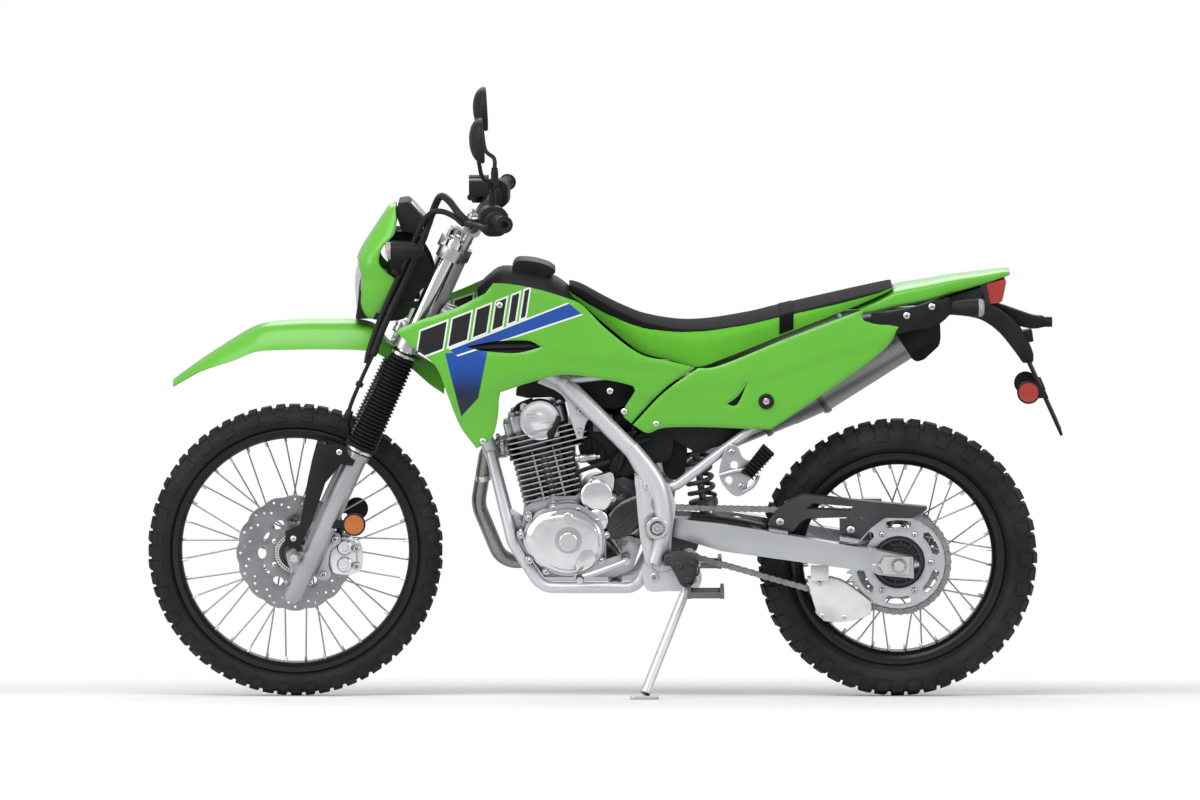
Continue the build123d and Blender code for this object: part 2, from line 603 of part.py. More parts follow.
def chassis_parts():
    made = {}
    # head tube and its tubes
    head = steer_bar(0, 0, LOWER_CLAMP_S[1] + 2, UPPER_CLAMP_S[0] - 2, HEAD_TUBE_R)
    head -= steer_bar(0, 0, LOWER_CLAMP_S[1], UPPER_CLAMP_S[0], STEM_R + RUN)
    frame = STEER * head
    frame += plate(ahead([(1052, 905), (1066, 858), (1030, 800), (980, 820), (960, 860), (1000, 892)]), -5, 5)
    spar = spar_tube(SPAR_R)
    cradle = cradle_tube(CRADLE_R)
    side_plate = plate([
        (503, 453), (518, 500), (560, 532), (596, 520), (590, 440), (584, 380), (572, 320), (566, 262),
        (534, 262), (516, 330), (512, 390),
    ], 99, 111)
    side_plate -= bar_y(PIVOT_XZ[0], PIVOT_XZ[1], PIVOT_BOLT_R + RUN, 90, 120)
    stand_lug = plate([(572, 318), (566, 264), (456, 262), (448, 300), (470, 318)], 99, 111)
    left_side = spar + cradle + side_plate
    right_side = mirror(left_side, about=Plane.XZ)
    down = rod((1040 + NOSE, 0, 850), (914, 0, 545), DOWNTUBE_R)
    frame += down + left_side + right_side + stand_lug
    frame -= STEER * steer_bar(0, 0, LOWER_CLAMP_S[1], UPPER_CLAMP_S[0], STEM_R + RUN)
    for x, z, r in ((640, 262, 11), (556, 480, 13), (552, 300, 11)):
        frame += bar_y(x, z, r, -100 if x < 600 else -86, 100 if x < 600 else 86)
    frame += stand_pin_bar(-34, 14, 8.0) + stand_pin_bar(11.8, 17, 13) + stand_pin_bar(-34, -11.8, 13)
    made["main_frame"] = frame

    # seat rails and their stays
    sub = paired(rail_tube(RAIL_R) + stay_tube(RAIL_R))
    for x, z in ((600, 752), (130, 858)):
        sub += bar_y(x, z, 8, -84, 84)
    made["subframe"] = sub - frame

    # swingarm: cross tube, tapering arms and axle slots
    px, pz = PIVOT_XZ
    arm = bar_y(px, pz, 20, -86, 86)
    arm += plate([(420, 414), (530, 420), (530, 388), (420, 362)], -80, 80)
    left_arm = loft([
        Plane(origin=(548, 66, 404), x_dir=(0, 1, 0), z_dir=(-1, 0, 0)) * Rectangle(32, 36),
        Plane(origin=(500, 76, 398), x_dir=(0, 1, 0), z_dir=(-1, 0, 0)) * Rectangle(32, 44),
        Plane(origin=(400, 104, 381), x_dir=(0, 1, 0), z_dir=(-1, 0, 0)) * Rectangle(30, 62),
        Plane(origin=(70, 107, 330), x_dir=(0, 1, 0), z_dir=(-1, 0, 0)) * Rectangle(30, 52),
        Plane(origin=(-28, 107, 312), x_dir=(0, 1, 0), z_dir=(-1, 0, 0)) * Rectangle(28, 48),
    ], ruled=True)
    slot = plate([(-20, 308), (38, 308), (38, 328), (-20, 328)], 80, 130)
    left_arm -= slot
    arm += left_arm + mirror(left_arm, about=Plane.XZ)
    arm += bar_y(365, 378, 22, -96, 96)
    arm -= bar_y(px, pz, PIVOT_BOLT_R + RUN, -130, 130) + Pos(446, 0, 390) * Box(116, 82, 140)
    made["swingarm"] = arm
    bolt = bar_y(px, pz, PIVOT_BOLT_R, -118, 118)
    for y0, y1 in ((111.3, 120), (86.3, 98.7)):
        bolt += bar_y(px, pz, 14, y0, y1) + bar_y(px, pz, 14, -y1, -y0)
    made["pivot_bolt"] = bolt

    rz = REAR_AXLE.Z
    axle = bar_y(0, rz, REAR_AXLE_R, -134, 134)
    axle += bar_y(0, rz, 15, ARM_OUT_Y + 4, 136) + bar_y(0, rz, 15, -136, -ARM_OUT_Y - 4)
    axle += bar_y(0, rz, 15, CHAIN_Y + 16, ARM_IN_Y - 0.3) + bar_y(0, rz, 15, -ARM_IN_Y + 0.3, -89)
    for side in (1, -1):
        y0, y1 = sorted((side * (ARM_OUT_Y + 0.3), side * (ARM_OUT_Y + 4)))
        axle += plate([(-24, rz - 20), (34, rz - 20), (44, rz), (34, rz + 20), (-24, rz + 20)], y0, y1)
    made["rear_axle"] = axle

    # chain: two strips of link plates, joined by pins on the straight runs
    fx, fz = FRONT_SPROCKET_XZ
    r_rear = CHAIN_PITCH / 2 / sin(pi / REAR_TEETH)
    r_front = CHAIN_PITCH / 2 / sin(pi / FRONT_TEETH)
    gap = Vector(fx, 0, fz - rz)
    tilt = atan2(fz - rz, fx)
    spread = acos((r_rear - r_front) / gap.length)
    top_r, bot_r = tilt + spread, tilt - spread
    ends = [
        (r_rear * cos(top_r), rz + r_rear * sin(top_r)),
        (fx + r_front * cos(top_r), fz + r_front * sin(top_r)),
        (fx + r_front * cos(bot_r), fz + r_front * sin(bot_r)),
        (r_rear * cos(bot_r), rz + r_rear * sin(bot_r)),
    ]

    def wrap(cx, cz, r, a0, a1, steps):
        turns = [a0 + (a1 - a0) * k / steps for k in range(steps + 1)]
        return [(cx + r * cos(a), cz + r * sin(a)) for a in turns]

    def ring(grow):
        front_arc = wrap(fx, fz, r_front + grow, top_r, bot_r, 9)
        rear_arc = wrap(0, rz, r_rear + grow, bot_r, top_r - 2 * pi, 24)
        return front_arc + rear_arc

    strips = [
        plate(ring(LINK_HALF_H), y0, y1) - plate(ring(-LINK_HALF_H), y0 - 1, y1 + 1)
        for y0, y1 in ((CHAIN_Y + LINK_IN, CHAIN_Y + LINK_OUT), (CHAIN_Y - LINK_OUT, CHAIN_Y - LINK_IN))
    ]
    pins = []
    for (xa, za), (xb, zb) in ((ends[0], ends[1]), (ends[3], ends[2])):
        run = Vector(xb - xa, 0, zb - za)
        links = int(run.length / CHAIN_PITCH)
        for k in range(3, links - 2):
            share = k * CHAIN_PITCH / run.length
            x, z = xa + run.X * share, za + run.Z * share
            half = ROLLER_R / 2
            pins.append(plate([
                (x - ROLLER_R, z), (x - half, z - 3.7), (x + half, z - 3.7),
                (x + ROLLER_R, z), (x + half, z + 3.7), (x - half, z + 3.7),
            ], CHAIN_Y - 5, CHAIN_Y + 5))
    made["chain"] = strips[0].fuse(strips[1], *pins)

    guard = plate([
        (340, 452), (300, 466), (217, 474), (0, 460), (-64, 444), (-39, 426), (24, 426), (91, 420), (134, 415),
        (203, 420), (253, 419), (307, 415), (340, 420),
    ], 86, 89.5)
    guard += plate([
        (340, 452), (300, 466), (217, 474), (0, 460), (-64, 444),
        (-64, 448), (0, 464), (217, 478), (300, 470), (340, 456),
    ], 64.5, 89.5)
    guard += plate([(336, 401.5), (304, 396.1), (304, 424), (336, 424)], 86, 104)
    guard += plate([(60, 354.4), (36, 349.5), (36, 430), (60, 430)], 86, 98)
    made["chain_guard"] = guard
    guide_side = [(208, 284), (194, 240), (176, 197), (114, 183), (62, 197), (62, 200), (96, 214), (150, 284)]
    guide = plate(guide_side, 86, 91) + plate(guide_side, 55, 60)
    guide += plate([(176, 197), (114, 183), (62, 197), (64, 204), (114, 190), (170, 204)], 55, 91)
    guide += plate([(160, 316.1), (200, 321.7), (206, 280), (150, 280)], 86, 100)
    made["chain_guide"] = guide

    # rear shock: body, spring coils and linkage
    low, high = Vector(432, 0, 392), Vector(478, 0, 690)
    line = high - low
    shock = rod(low + line * 0.02, low + line * 0.98, 12)
    shock += rod(low + line * 0.14, low + line * 0.20, 34) + rod(low + line * 0.74, low + line * 0.80, 34)
    shock += rod(low + line * 0.74, low + line * 0.95, 24)
    turns = 7
    for k in range(turns):
        share = 0.22 + 0.52 * k / turns
        shock += rod(low + line * share, low + line * (share + 0.035), 33)
    shock += bar_y(high.X, high.Z, 13, -20, 20) + bar_y(low.X, low.Z + 3, 11, -40.6, 40.6)
    made["rear_shock"] = shock

    # side stand
    made["side_stand"] = stand_part()
    return made


def stand_pin_bar(a, b, r):
    """A round bar along the side stand's pivot, from a to b past the stand's middle."""
    return extrude(Plane(origin=Vector(*STAND_PIVOT) + STAND_AXIS * a, z_dir=STAND_AXIS) * Circle(r),
        amount=b - a)


def stand_part():
    pivot = Vector(*STAND_PIVOT)
    foot = STAND_FOOT_AT
    down = STAND_DOWN
    axis = STAND_AXIS
    sole = Vector(0, -sin(radians(LEAN)), cos(radians(LEAN)))      # the ground's normal in the upright frame
    leg_end = foot + sole * 10 - down * 4
    leg = rod(pivot + down * 10, leg_end, 10.5, 11.5)
    eye = extrude(Plane(origin=pivot - axis * 11, z_dir=axis) * Circle(20), amount=22)
    leg += eye
    pad_plane = Plane(origin=foot, x_dir=(1, 0, 0), z_dir=sole)
    leg += extrude(pad_plane * RectangleRounded(64, 38, 12), amount=8)
    leg -= stand_pin_bar(-40, 40, 8.0 + RUN)
    return leg


# ---------------------------------------------------------------- engine, exhaust
def engine_parts():
    made = {}
    case = plate([
        (828, 322), (852, 380), (846, 440), (812, 466), (730, 468), (700, 490), (640, 500), (600, 478),
        (576, 430),
        (584, 350), (600, 300), (640, 282), (800, 282),
    ], -72, 62)
    case += bar_y(746, 374, 83, 60, 104) + bar_y(746, 374, 70, 100, 112)
    case += bar_y(682, 416, 25, 60, 98) + bar_y(682, 472, 36, -40, 92)
    case += bar_y(720, 372, 90, -108, -60) + bar_y(816, 384, 32, -74, 66)
    case += bar_y(746, 374, 30, 110, 116) + bar_y(720, 372, 40, -114, -100)

    # finned cylinder leaning forward
    tilt = Rot(0, 14, 0)
    base = Pos(776, 0, 452) * tilt
    jug = Pos(0, 0, 60) * Box(92, 96, 120) + Pos(0, 0, 165) * Box(104, 110, 90)
    for k in range(13):
        z = 18 + k * 12.5
        big = 152 if k > 7 else 140
        jug += Pos(0, 0, z) * Box(big, big - 4, 3.4)
    jug += Pos(-4, 0, 196) * Box(118, 112, 40)
    jug += base.inverse() * bar_y(818, 636, 42, 40, 72)
    jug = base * jug - case - rod((745, 0, 607.75), (640, 0, 634), 24.3)
    made["cylinder"] = jug + rod((850, -42, 566), (892.7, -42, 566), 20)
    cover = plate([
        (652, 428), (636, 392), (620, 368), (592, 364), (574, 384), (572, 430), (580, 462), (600, 472),
        (634, 462),
    ], 88, 98.7)
    cover += bar_y(610, 410, 16, 96, 101)
    made["sprocket_cover"] = cover
    fx, fz = FRONT_SPROCKET_XZ
    r_front = CHAIN_PITCH / 2 / sin(pi / FRONT_TEETH)
    case += bar_y(fx, fz, r_front - 7.3, CHAIN_Y - LINK_OUT, CHAIN_Y + LINK_OUT) + bar_y(fx, fz, 12, 60, 86)
    # engine mounts on the cradle and its cross bar
    case += plate([(846, 404), (892, 434), (892, 402), (848, 372)], -46, 46) - grown_cradle()
    case += plate([(656, 284), (624, 290), (624, 262), (656, 262)], -40, 40)
    case -= bar_y(640, 262, 11 + SEAT_GAP, -50, 50)
    made["crankcase"] = case

    header = tube([
        (893, -42, 566), (930, -42, 566), (952, -62, 430), (896, -112, 286), (800, -134, 296), (640, -138, 404),
        (440, -140, 536), (302, -164, 590),
    ], 16.5, [30, 80, 60, 60, 60, 60])
    made["exhaust_pipe"] = header + rod((893, -42, 566), (905, -42, 566), 25)
    a, b = Vector(298, -166, 592), Vector(-74, -166, 830)
    line = b - a
    can = rod(a, a + line * 0.14, 20, 31) + rod(a + line * 0.14, a + line * 0.34, 31, 44)
    can += rod(a + line * 0.34, a + line * 0.95, 46) + rod(a + line * 0.95, b, 46, 38)
    can += rod(a + line * 0.30, a + line * 0.34, 47)
    can += plate([(12, 800), (-12, 800), (-12, 874), (12, 874)], -136, -127) + plate(
        [(12, 864), (-12, 864), (-12, 874), (12, 874)], -130, -72
    ) - grown_rails()
    made["muffler"] = can - rod(b - line * 0.05, b + line * 0.1, 12)
    return made


# ---------------------------------------------------------------- body
SIDE_CURTAIN = [
    # z, then half widths at x = 0, 120, 300, 450, 620
    (600, (96, 103, 107, 111, 115)), (700, (101, 108, 113, 117, 119)), (800, (99, 105, 111, 115, 116)),
    (910, (92, 98, 104, 106, 106)),
]
SIDE_X = (-20, 120, 300, 450, 620)
SHROUD_CURTAIN = [
    # z, then half widths at x = 440, 600, 720, 850, 960, 1150
    (580, (104, 108, 118, 142, 160, 176)), (650, (110, 116, 130, 152, 168, 182)),
    (720, (114, 122, 140, 164, 178, 188)),
    (790, (112, 120, 136, 160, 176, 190)), (860, (106, 112, 122, 142, 160, 182)),
    (970, (88, 92, 98, 110, 140, 166)),
]
SHROUD_X = (440, 600, 720, 850, 960, 1150)
SHROUD = [
    (1133, 859), (1092, 821), (1043, 779), (1016, 712), (989, 642), (952, 589), (918, 612), (904, 661),
    (901, 717),
    (831, 739), (752, 755), (650, 739), (599, 725), (595, 715), (623, 664), (604, 640), (532, 717), (460, 767),
    (521, 783), (585, 799), (660, 855), (715, 909), (748, 924), (808, 943), (873, 957), (914, 961), (932, 939),
    (1008, 904), (1085, 880),
]
SIDE_PANEL = [
    (83, 875), (78, 898), (245, 836), (402, 773), (454, 766), (528, 713), (600, 637), (567, 618), (530, 630),
    (437, 631), (344, 627), (289, 625), (203, 684), (42, 799), (2, 857),
]
SEAT = [
    # x, half width, bottom z, top z
    (743, 62, 924, 950), (663, 80, 860, 912), (585, 98, 803, 875), (456, 114, 770, 860), (402, 116, 785, 868),
    (245, 114, 848, 897), (89, 98, 908, 933), (16, 80, 938, 946),
]
TANK = [
    # x, half width, bottom z, top z
    (952, 52, 880, 938), (900, 84, 852, 980), (780, 92, 790, 972), (748, 86, 766, 924), (664, 78, 770, 852),
    (600, 66, 780, 796),
]
TAIL = [
    # x, half width, bottom z, top z
    (84, 88, 882, 904), (10, 82, 894, 938), (-120, 66, 926, 960), (-248, 40, 966, 978),
]


PLATE_HOLE_R = 3.3
PLATE_HOLE_Y = 52.0
PLATE_TILT = 24.6          # lean of the plate holder's face


def plate_hole_places():
    """The two fixing holes of the number plate: a point in the middle of the wall, and the way out to the rear."""
    way = (-cos(radians(PLATE_TILT)), 0, sin(radians(PLATE_TILT)))
    return [((-317.5, side * PLATE_HOLE_Y, 718.0), way) for side in (1, -1)]


def curtain(rows, stations, t=SKIN_T):
    return strip([(z, list(zip(stations, widths))) for z, widths in rows], t)


def octagons(rows, shoulder=0.7):
    """A body lofted through sections of (x, half width, bottom z, top z) with cut corners."""
    faces = []
    for x, half, low, high in rows:
        cut = (high - low) * 0.3
        outline = [
            (half * shoulder, low), (half, low + cut), (half, high - cut), (half * shoulder, high),
            (-half * shoulder, high), (-half, high - cut), (-half, low + cut), (-half * shoulder, low),
        ]
        faces.append(drawn(front_plane(x), outline))
    return loft(faces, ruled=True)


def body_parts():
    made = {}
    tank = octagons(TANK, 0.86)
    tank += plate([(868, 996), (855, 1003), (785, 988), (777, 970), (868, 975)], -42, 42)
    tank += pads([(860, 58, 820, 30, 20, 30)]) - grown_spars()
    made["fuel_tank"] = tank
    shroud = plate(SHROUD, 0, 300) & curtain(SHROUD_CURTAIN, SHROUD_X)
    shroud += bar_y(800, 876, 10, 91.7, 129) + bar_y(900, 915, 10, 85, 134)
    made["tank_shrouds"] = both(shroud)
    panel = plate(SIDE_PANEL, 0, 300) & curtain(SIDE_CURTAIN, SIDE_X)
    panel += bar_y(300, 793.5, 7, 95.3, 108) + bar_y(128, 859, 6, 95.3, 98)
    made["side_panels"] = both(panel)
    rails = grown_rails()
    made["seat"] = octagons(SEAT, 0.74) + (pads([(430, 84, 768, 24, 16, 30), (200, 84, 856, 24, 16, 34)]) - rails)
    made["tail_cowl"] = octagons(TAIL, 0.8) + (pads([(-10, 66, 896, 24, 14, 30)]) - rails)
    box = octagons([
        (356, 72, 640, 748), (400, 76, 584, 742), (456, 76, 566, 736), (516, 70, 600, 736), (590, 50, 610, 700),
    ], 0.9)
    box -= Pos(470, 0, 622) * Box(130, 84, 190)
    box += Pos(480, 0, 730) * Box(30, 160, 12) - grown_rails()
    # intake duct from the head
    box += rod((744.5, 0, 607.9), (640, 0, 634), 24) + rod((640, 0, 634), (588, 0, 637), 30)
    made["airbox"] = box
    fender = plate([
        (60, 872), (-37, 886), (-120, 921), (-186, 942), (-188, 909), (-214, 893), (-303, 870), (-347, 867),
        (-347, 841), (-308, 831), (-298, 800), (-287, 768), (-270, 768), (-214, 836), (-162, 872),
        (-99, 878), (-37, 870), (60, 856),
    ], -50, 50)
    fender += pads([(-60, 55, 886, 30, 14, 16)]) - rails
    fender += plate([(-287, 775), (-296, 775), (-372, 609), (-363, 609)], -74, 74)
    for place, way in plate_hole_places():
        reach = Vector(*way) * 12
        fender -= rod(tuple(Vector(*place) - reach), tuple(Vector(*place) + reach), PLATE_HOLE_R)
    made["rear_fender"] = fender
    lamp = section([(-46, 910), (46, 910), (40, 945), (-40, 945)], -240, -188 - SEAT_GAP)
    made["tail_lamp"] = lamp
    ear = plate([(-326, 720), (-292, 720), (-292, 692), (-338, 692)], 70, 75.7)
    made["rear_fender"] = made["rear_fender"] + ear + mirror(ear, about=Plane.XZ)
    made["rear_reflectors"] = both(bar_y(-292, 706, 26, 76, 84))
    made["rear_signals"] = signals(-116, -190, 905, 128, 50.3)
    # regulator on its bracket
    black = plate([(358, 528), (305, 596), (278, 570), (331, 513)], 98, 124)
    bracket = plate([(403, 525), (396, 592), (368, 610), (352, 560), (343, 494), (358, 476)], 95.3, 106)
    made["regulator"] = black + bracket
    return made


def fork_trim_parts():
    made = {}
    leg_zone = TABLE_STEER * steer_bar(LEG_F, LEG_Y, SLIDER_S[0], SLIDER_S[1], SLIDER_R + SEAT_GAP)
    stay = plate([(1280, 420), (1222, 420), (1222, 402), (1280, 402)], 108, 115.7) - leg_zone
    made["front_reflectors"] = both(bar_y(1229, 411, 26, 115.7, 124) + stay)
    shield = plate([
        (1310, 598), (1245, 588), (1241, 569), (1293, 507), (1322, 421), (1351, 363), (1384, 363), (1384, 397),
        (1351, 411), (1330, 526),
    ], 121.5, 125.5)
    rib = plate([(1310, 598), (1330, 526), (1340, 480), (1328, 480), (1316, 526), (1296, 596)], 84, 125.5)
    shield += rib - leg_zone
    gaiter_zone = TABLE_STEER * steer_bar(LEG_F, LEG_Y, SLIDER_S[1] - 28, SLIDER_S[1] + 80, 37)
    shield += plate([(1268, 572), (1222, 566), (1232, 545), (1270, 552)], 106, 125.5) - leg_zone - gaiter_zone
    shield += plate([(1384, 364), (1351, 364), (1344, 348), (1366, 358)], 121.5, 125.5)
    shield += bar_y(1354, 356, 7, 112.3, 122)
    made["fork_guards"] = both(shield)
    return moved_ahead(made)


def control_parts():
    made = {}
    # foot rests over the stand's pivot, gear pedal and brake pedal
    holder = plate([(530, 345), (430, 345), (430, 326), (530, 326)], 111.3, 182)
    holder += plate([(500, 345), (430, 345), (430, 290), (452, 266), (492, 266), (500, 290)], 170, 182)
    peg = plate([(480, 287), (392, 281), (392, 262), (474, 258)], 182, 252)
    holder = holder + peg - plate([(478, 276), (404, 276), (404, 250), (478, 250)], 194, 240)
    made["foot_rests"] = both(holder)
    shift = bar_y(616, 329, 9, 62 + SEAT_GAP, 134)
    shift += tube([(616, 131, 329), (680, 134, 304), (724, 136, 290)], 6, [60])
    shift += bar_y(720, 291, 8, 132, 172)
    made["shift_pedal"] = shift
    brake = tube([(470, -124, 351.8), (540, -172, 356), (640, -178, 330), (724, -170, 302)], 6.5, [40, 60])
    brake += plate([(744, 306), (700, 306), (700, 292), (744, 292)], -190, -150)
    made["brake_pedal"] = brake
    return made


def brake_parts():
    made = {}
    x, z = FRONT_AXLE.X, FRONT_AXLE.Z
    y0, y1 = 44.0, 44.0 + DISC_T
    outline = [(x - 146, z - 44), (x - 64, z - 42), (x - 66, z + 34), (x - 146, z + 38)]
    caliper = plate(outline, y0 - 10, y0 - 2) + plate(outline, y1 + 2, y1 + 15)
    caliper += plate([(x - 152, z - 40), (x - 136, z - 40), (x - 136, z + 34), (x - 152, z + 34)],
        y0 - 10, y1 + 15)
    caliper += plate([(x - 90, z + 30), (x - 56, z + 60), (x - 40, z + 30), (x - 60, z - 10)], y1 + 2,
        LEG_Y - 17.3)
    rotor = bar_y(x, z, FRONT_DISC_R + 2, y0 - 2, y1 + 2)
    leg = STEER * (steer_bar(LEG_F, LEG_Y, SLIDER_S[0], SLIDER_S[1], SLIDER_R + SEAT_GAP))
    made["front_caliper"] = caliper - rotor - leg
    z = REAR_AXLE.Z
    y0, y1 = -78.0, -78.0 + DISC_T
    outline = [(34, z + 58), (100, z + 48), (116, z + 84), (76, z + 124), (34, z + 124)]
    caliper = plate(outline, y0 - 13, y0 - 2) + plate(outline, y1 + 2, y1 + 10)
    caliper += plate([(76, z + 124), (34, z + 124), (44, z + 112), (82, z + 92), (104, z + 66),
        (116, z + 84)], y0 - 13, y1 + 10)
    caliper += plate([(30, z + 20), (84, z + 14), (90, z + 60), (34, z + 64)], -ARM_IN_Y + SEAT_GAP, y0 - 5)
    rotor = bar_y(0, z, REAR_DISC_R + 2, y0 - 2, y1 + 2)
    made["rear_caliper"] = caliper - rotor
    hose = tube(ahead([
        (970, 215, 1109.5), (1010, 206, 1122), (1062, 140, 1140), (1124, 112, 1060), (1134, 110, 990),
        (1148, 110, 872),
        (1186, 104, 796),
    ]), 7, [30, 40, 40, 60, 60])
    hose += tube(ahead([
        (1183, 105, 802), (1244, 100, 664), (1240, 64, 590), (1262, 58, 440), (1262, 58, 373.2),
    ]), 4.5, [30, 30, 40])
    made["front_hose"] = hose
    return made


# ---------------------------------------------------------------- build and export
def build_all():
    """Every piece by name, in the upright frame."""
    made = {}
    for group in (
        wheel_parts, fork_parts, handlebar_parts, front_body_parts, chassis_parts, engine_parts, body_parts,
        fork_trim_parts, control_parts, brake_parts,
    ):
        made.update(group())
    return {
        name: Compound(children=[
            s for item in (shape if isinstance(shape, list) else [shape]) for s in item.solids()
        ])
        for name, shape in made.items()
    }


def parked_location(made):
    """The move from the upright frame to the parked one."""
    leaned = Rot(0, PITCH, 0) * Rot(-LEAN, 0, 0)
    boxes = [(leaned * shape).bounding_box() for shape in made.values()]
    low = [min(getattr(b.min, c) for b in boxes) for c in "XYZ"]
    high = [max(getattr(b.max, c) for b in boxes) for c in "XYZ"]
    return Pos(-(low[0] + high[0]) / 2, -(low[1] + high[1]) / 2, -low[2]) * leaned


if __name__ == "__main__":
    pieces = build_all()
    place = parked_location(pieces)
    for name, piece in pieces.items():
        export_step(place * piece, f"parts/{name}.step")
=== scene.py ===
"""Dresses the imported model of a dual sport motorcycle: bodywork, finishes, tyres, chain, engine and lamps.

Shapes are drawn in the machine's upright frame, in millimetres: X forward from the rear axle, Y to the
rider's left, Z up from the ground. BIKE takes them to the parked machine, leaning on its side stand.
"""

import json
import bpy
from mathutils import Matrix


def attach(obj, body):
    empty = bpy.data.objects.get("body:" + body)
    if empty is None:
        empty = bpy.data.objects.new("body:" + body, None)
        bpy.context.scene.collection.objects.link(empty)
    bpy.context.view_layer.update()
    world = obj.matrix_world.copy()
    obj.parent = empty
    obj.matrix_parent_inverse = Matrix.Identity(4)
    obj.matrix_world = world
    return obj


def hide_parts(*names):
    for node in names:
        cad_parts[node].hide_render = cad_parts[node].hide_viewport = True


bl_info = {
    "name": "Dual Sport Motorcycle",
    "version": (1, 0, 0),
    "blender": (4, 5, 0),
    "location": "View3D > Sidebar > Motorcycle",
    "description": "Bodywork, finishes and fittings of a dual sport motorcycle on its packed frame",
    "category": "Object",
}

from collections import namedtuple
from math import acos, asin, atan2, cos, hypot, pi, radians, sin, sqrt

import bmesh
import bpy
from bpy.props import FloatVectorProperty, IntProperty, PointerProperty
from mathutils import Matrix, Vector
from mathutils.geometry import delaunay_2d_cdt

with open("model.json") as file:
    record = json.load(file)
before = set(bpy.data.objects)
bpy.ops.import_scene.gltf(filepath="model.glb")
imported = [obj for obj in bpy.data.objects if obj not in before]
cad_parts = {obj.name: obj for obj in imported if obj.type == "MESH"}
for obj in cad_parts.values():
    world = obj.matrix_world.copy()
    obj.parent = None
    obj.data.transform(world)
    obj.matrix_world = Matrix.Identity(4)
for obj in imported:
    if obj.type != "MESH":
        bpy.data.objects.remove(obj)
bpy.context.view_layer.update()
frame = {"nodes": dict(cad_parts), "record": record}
JOINTS = {j["name"]: j for j in frame["record"]["behaviour"]["joints"]}

# ---------------------------------------------------------------- the upright frame
MM = 0.001                # in the row frame's metres
REAR_AXLE = Vector((0, 0, 318))
FRONT_AXLE = Vector((1365, 0, 335))
RAKE = radians(24.6)      # the steering axis from the vertical
TRAIL = 96.0


def upright_to_parked():
    """The matrix from the upright frame, in mm, to the row frame, in metres, from the two wheels' joints."""
    rear, front = Vector(JOINTS["rear_wheel_spin"]["pos_m"]), Vector(JOINTS["front_wheel_spin"]["pos_m"])
    left = Vector(JOINTS["rear_wheel_spin"]["axis"]).normalized()
    line = (front - rear).normalized()
    rise = atan2(FRONT_AXLE.z - REAR_AXLE.z, FRONT_AXLE.x - REAR_AXLE.x)
    over = line.cross(left)
    ahead = line * cos(rise) - over * sin(rise)
    up = line * sin(rise) + over * cos(rise)
    turn = Matrix((ahead, left, up)).transposed().to_4x4()
    return Matrix.Translation(rear - up * REAR_AXLE.z / 1000) @ turn @ Matrix.Scale(MM, 4)


BIKE = upright_to_parked()
STEER_UP = Vector((-sin(RAKE), 0, cos(RAKE)))
STEER_FORE = Vector((cos(RAKE), 0, sin(RAKE)))
STEER_FOOT = Vector((FRONT_AXLE.x + TRAIL, 0, 0))


def on_fork(fore, y, along):
    """A point given forward of the steering axis, across, and up along it."""
    return STEER_FOOT + STEER_FORE * fore + Vector((0, y, 0)) + STEER_UP * along


# ---------------------------------------------------------------- shapes
ON_AXIS = 0.1             # radius at which a turned solid closes
SHARP = radians(25)       # edges above this angle are rounded


def smooth_line(points, step=12.0, closed=False):
    """Points of a Catmull-Rom curve through the given points, about step apart."""
    p = [Vector(q) for q in points]
    n = len(p)
    spans = n if closed else n - 1
    out = []
    for i in range(spans):
        a, b = p[i], p[(i + 1) % n]
        before = p[(i - 1) % n] if closed or i else a * 2 - b
        after = p[(i + 2) % n] if closed or i + 2 < n else b * 2 - a
        count = max(1, int((b - a).length / step + 0.5))
        for k in range(count):
            t = k / count
            out.append(0.5 * (
                2 * a + (b - before) * t + (2 * before - 5 * a + 4 * b - after) * t * t
                + (3 * a - before - 3 * b + after) * t * t * t
            ))
    return out if closed else out + [p[-1]]


def eased(a, b, t):
    """0 before a, 1 after b, smooth between."""
    t = min(1.0, max(0.0, (t - a) / (b - a)))
    return t * t * (3 - 2 * t)


def curve_at(table, x):
    """A value read from rows of (x, value), smooth through them."""
    rows = sorted(table)
    if x <= rows[0][0]:
        return rows[0][1]
    if x >= rows[-1][0]:
        return rows[-1][1]
    for i in range(len(rows) - 1):
        (x0, v0), (x1, v1) = rows[i], rows[i + 1]
        if x <= x1:
            break
    span = x1 - x0
    own = (v1 - v0) / span
    slope0 = own if i == 0 else (v1 - rows[i - 1][1]) / (x1 - rows[i - 1][0])
    slope1 = own if i + 2 == len(rows) else (rows[i + 2][1] - v0) / (rows[i + 2][0] - x0)
    t = (x - x0) / span
    return (
        v0 * (2 * t ** 3 - 3 * t * t + 1) + v1 * (3 * t * t - 2 * t ** 3)
        + slope0 * span * (t ** 3 - 2 * t * t + t) + slope1 * span * (t ** 3 - t * t)
    )


def moulded(rows, stations):
    """The surface y(x, z) of a side, from rows of (z, half widths at the stations)."""
    def surface(x, z):
        return curve_at([(level, curve_at(list(zip(stations, widths)), x)) for level, widths in rows], z)
    return surface


def square_to(direction):
    """Two unit vectors square to a direction and to each other."""
    d = direction.normalized()
    side = d.cross(Vector((0, 1, 0)) if abs(d.y) < 0.9 else Vector((1, 0, 0))).normalized()
    return side, d.cross(side).normalized()


def lengths(points):
    """How far along a line of (a, b) each of its points lies."""
    run = [0.0]
    for a, b in zip(points, points[1:]):
        run.append(run[-1] + hypot(b[0] - a[0], b[1] - a[1]))
    return run


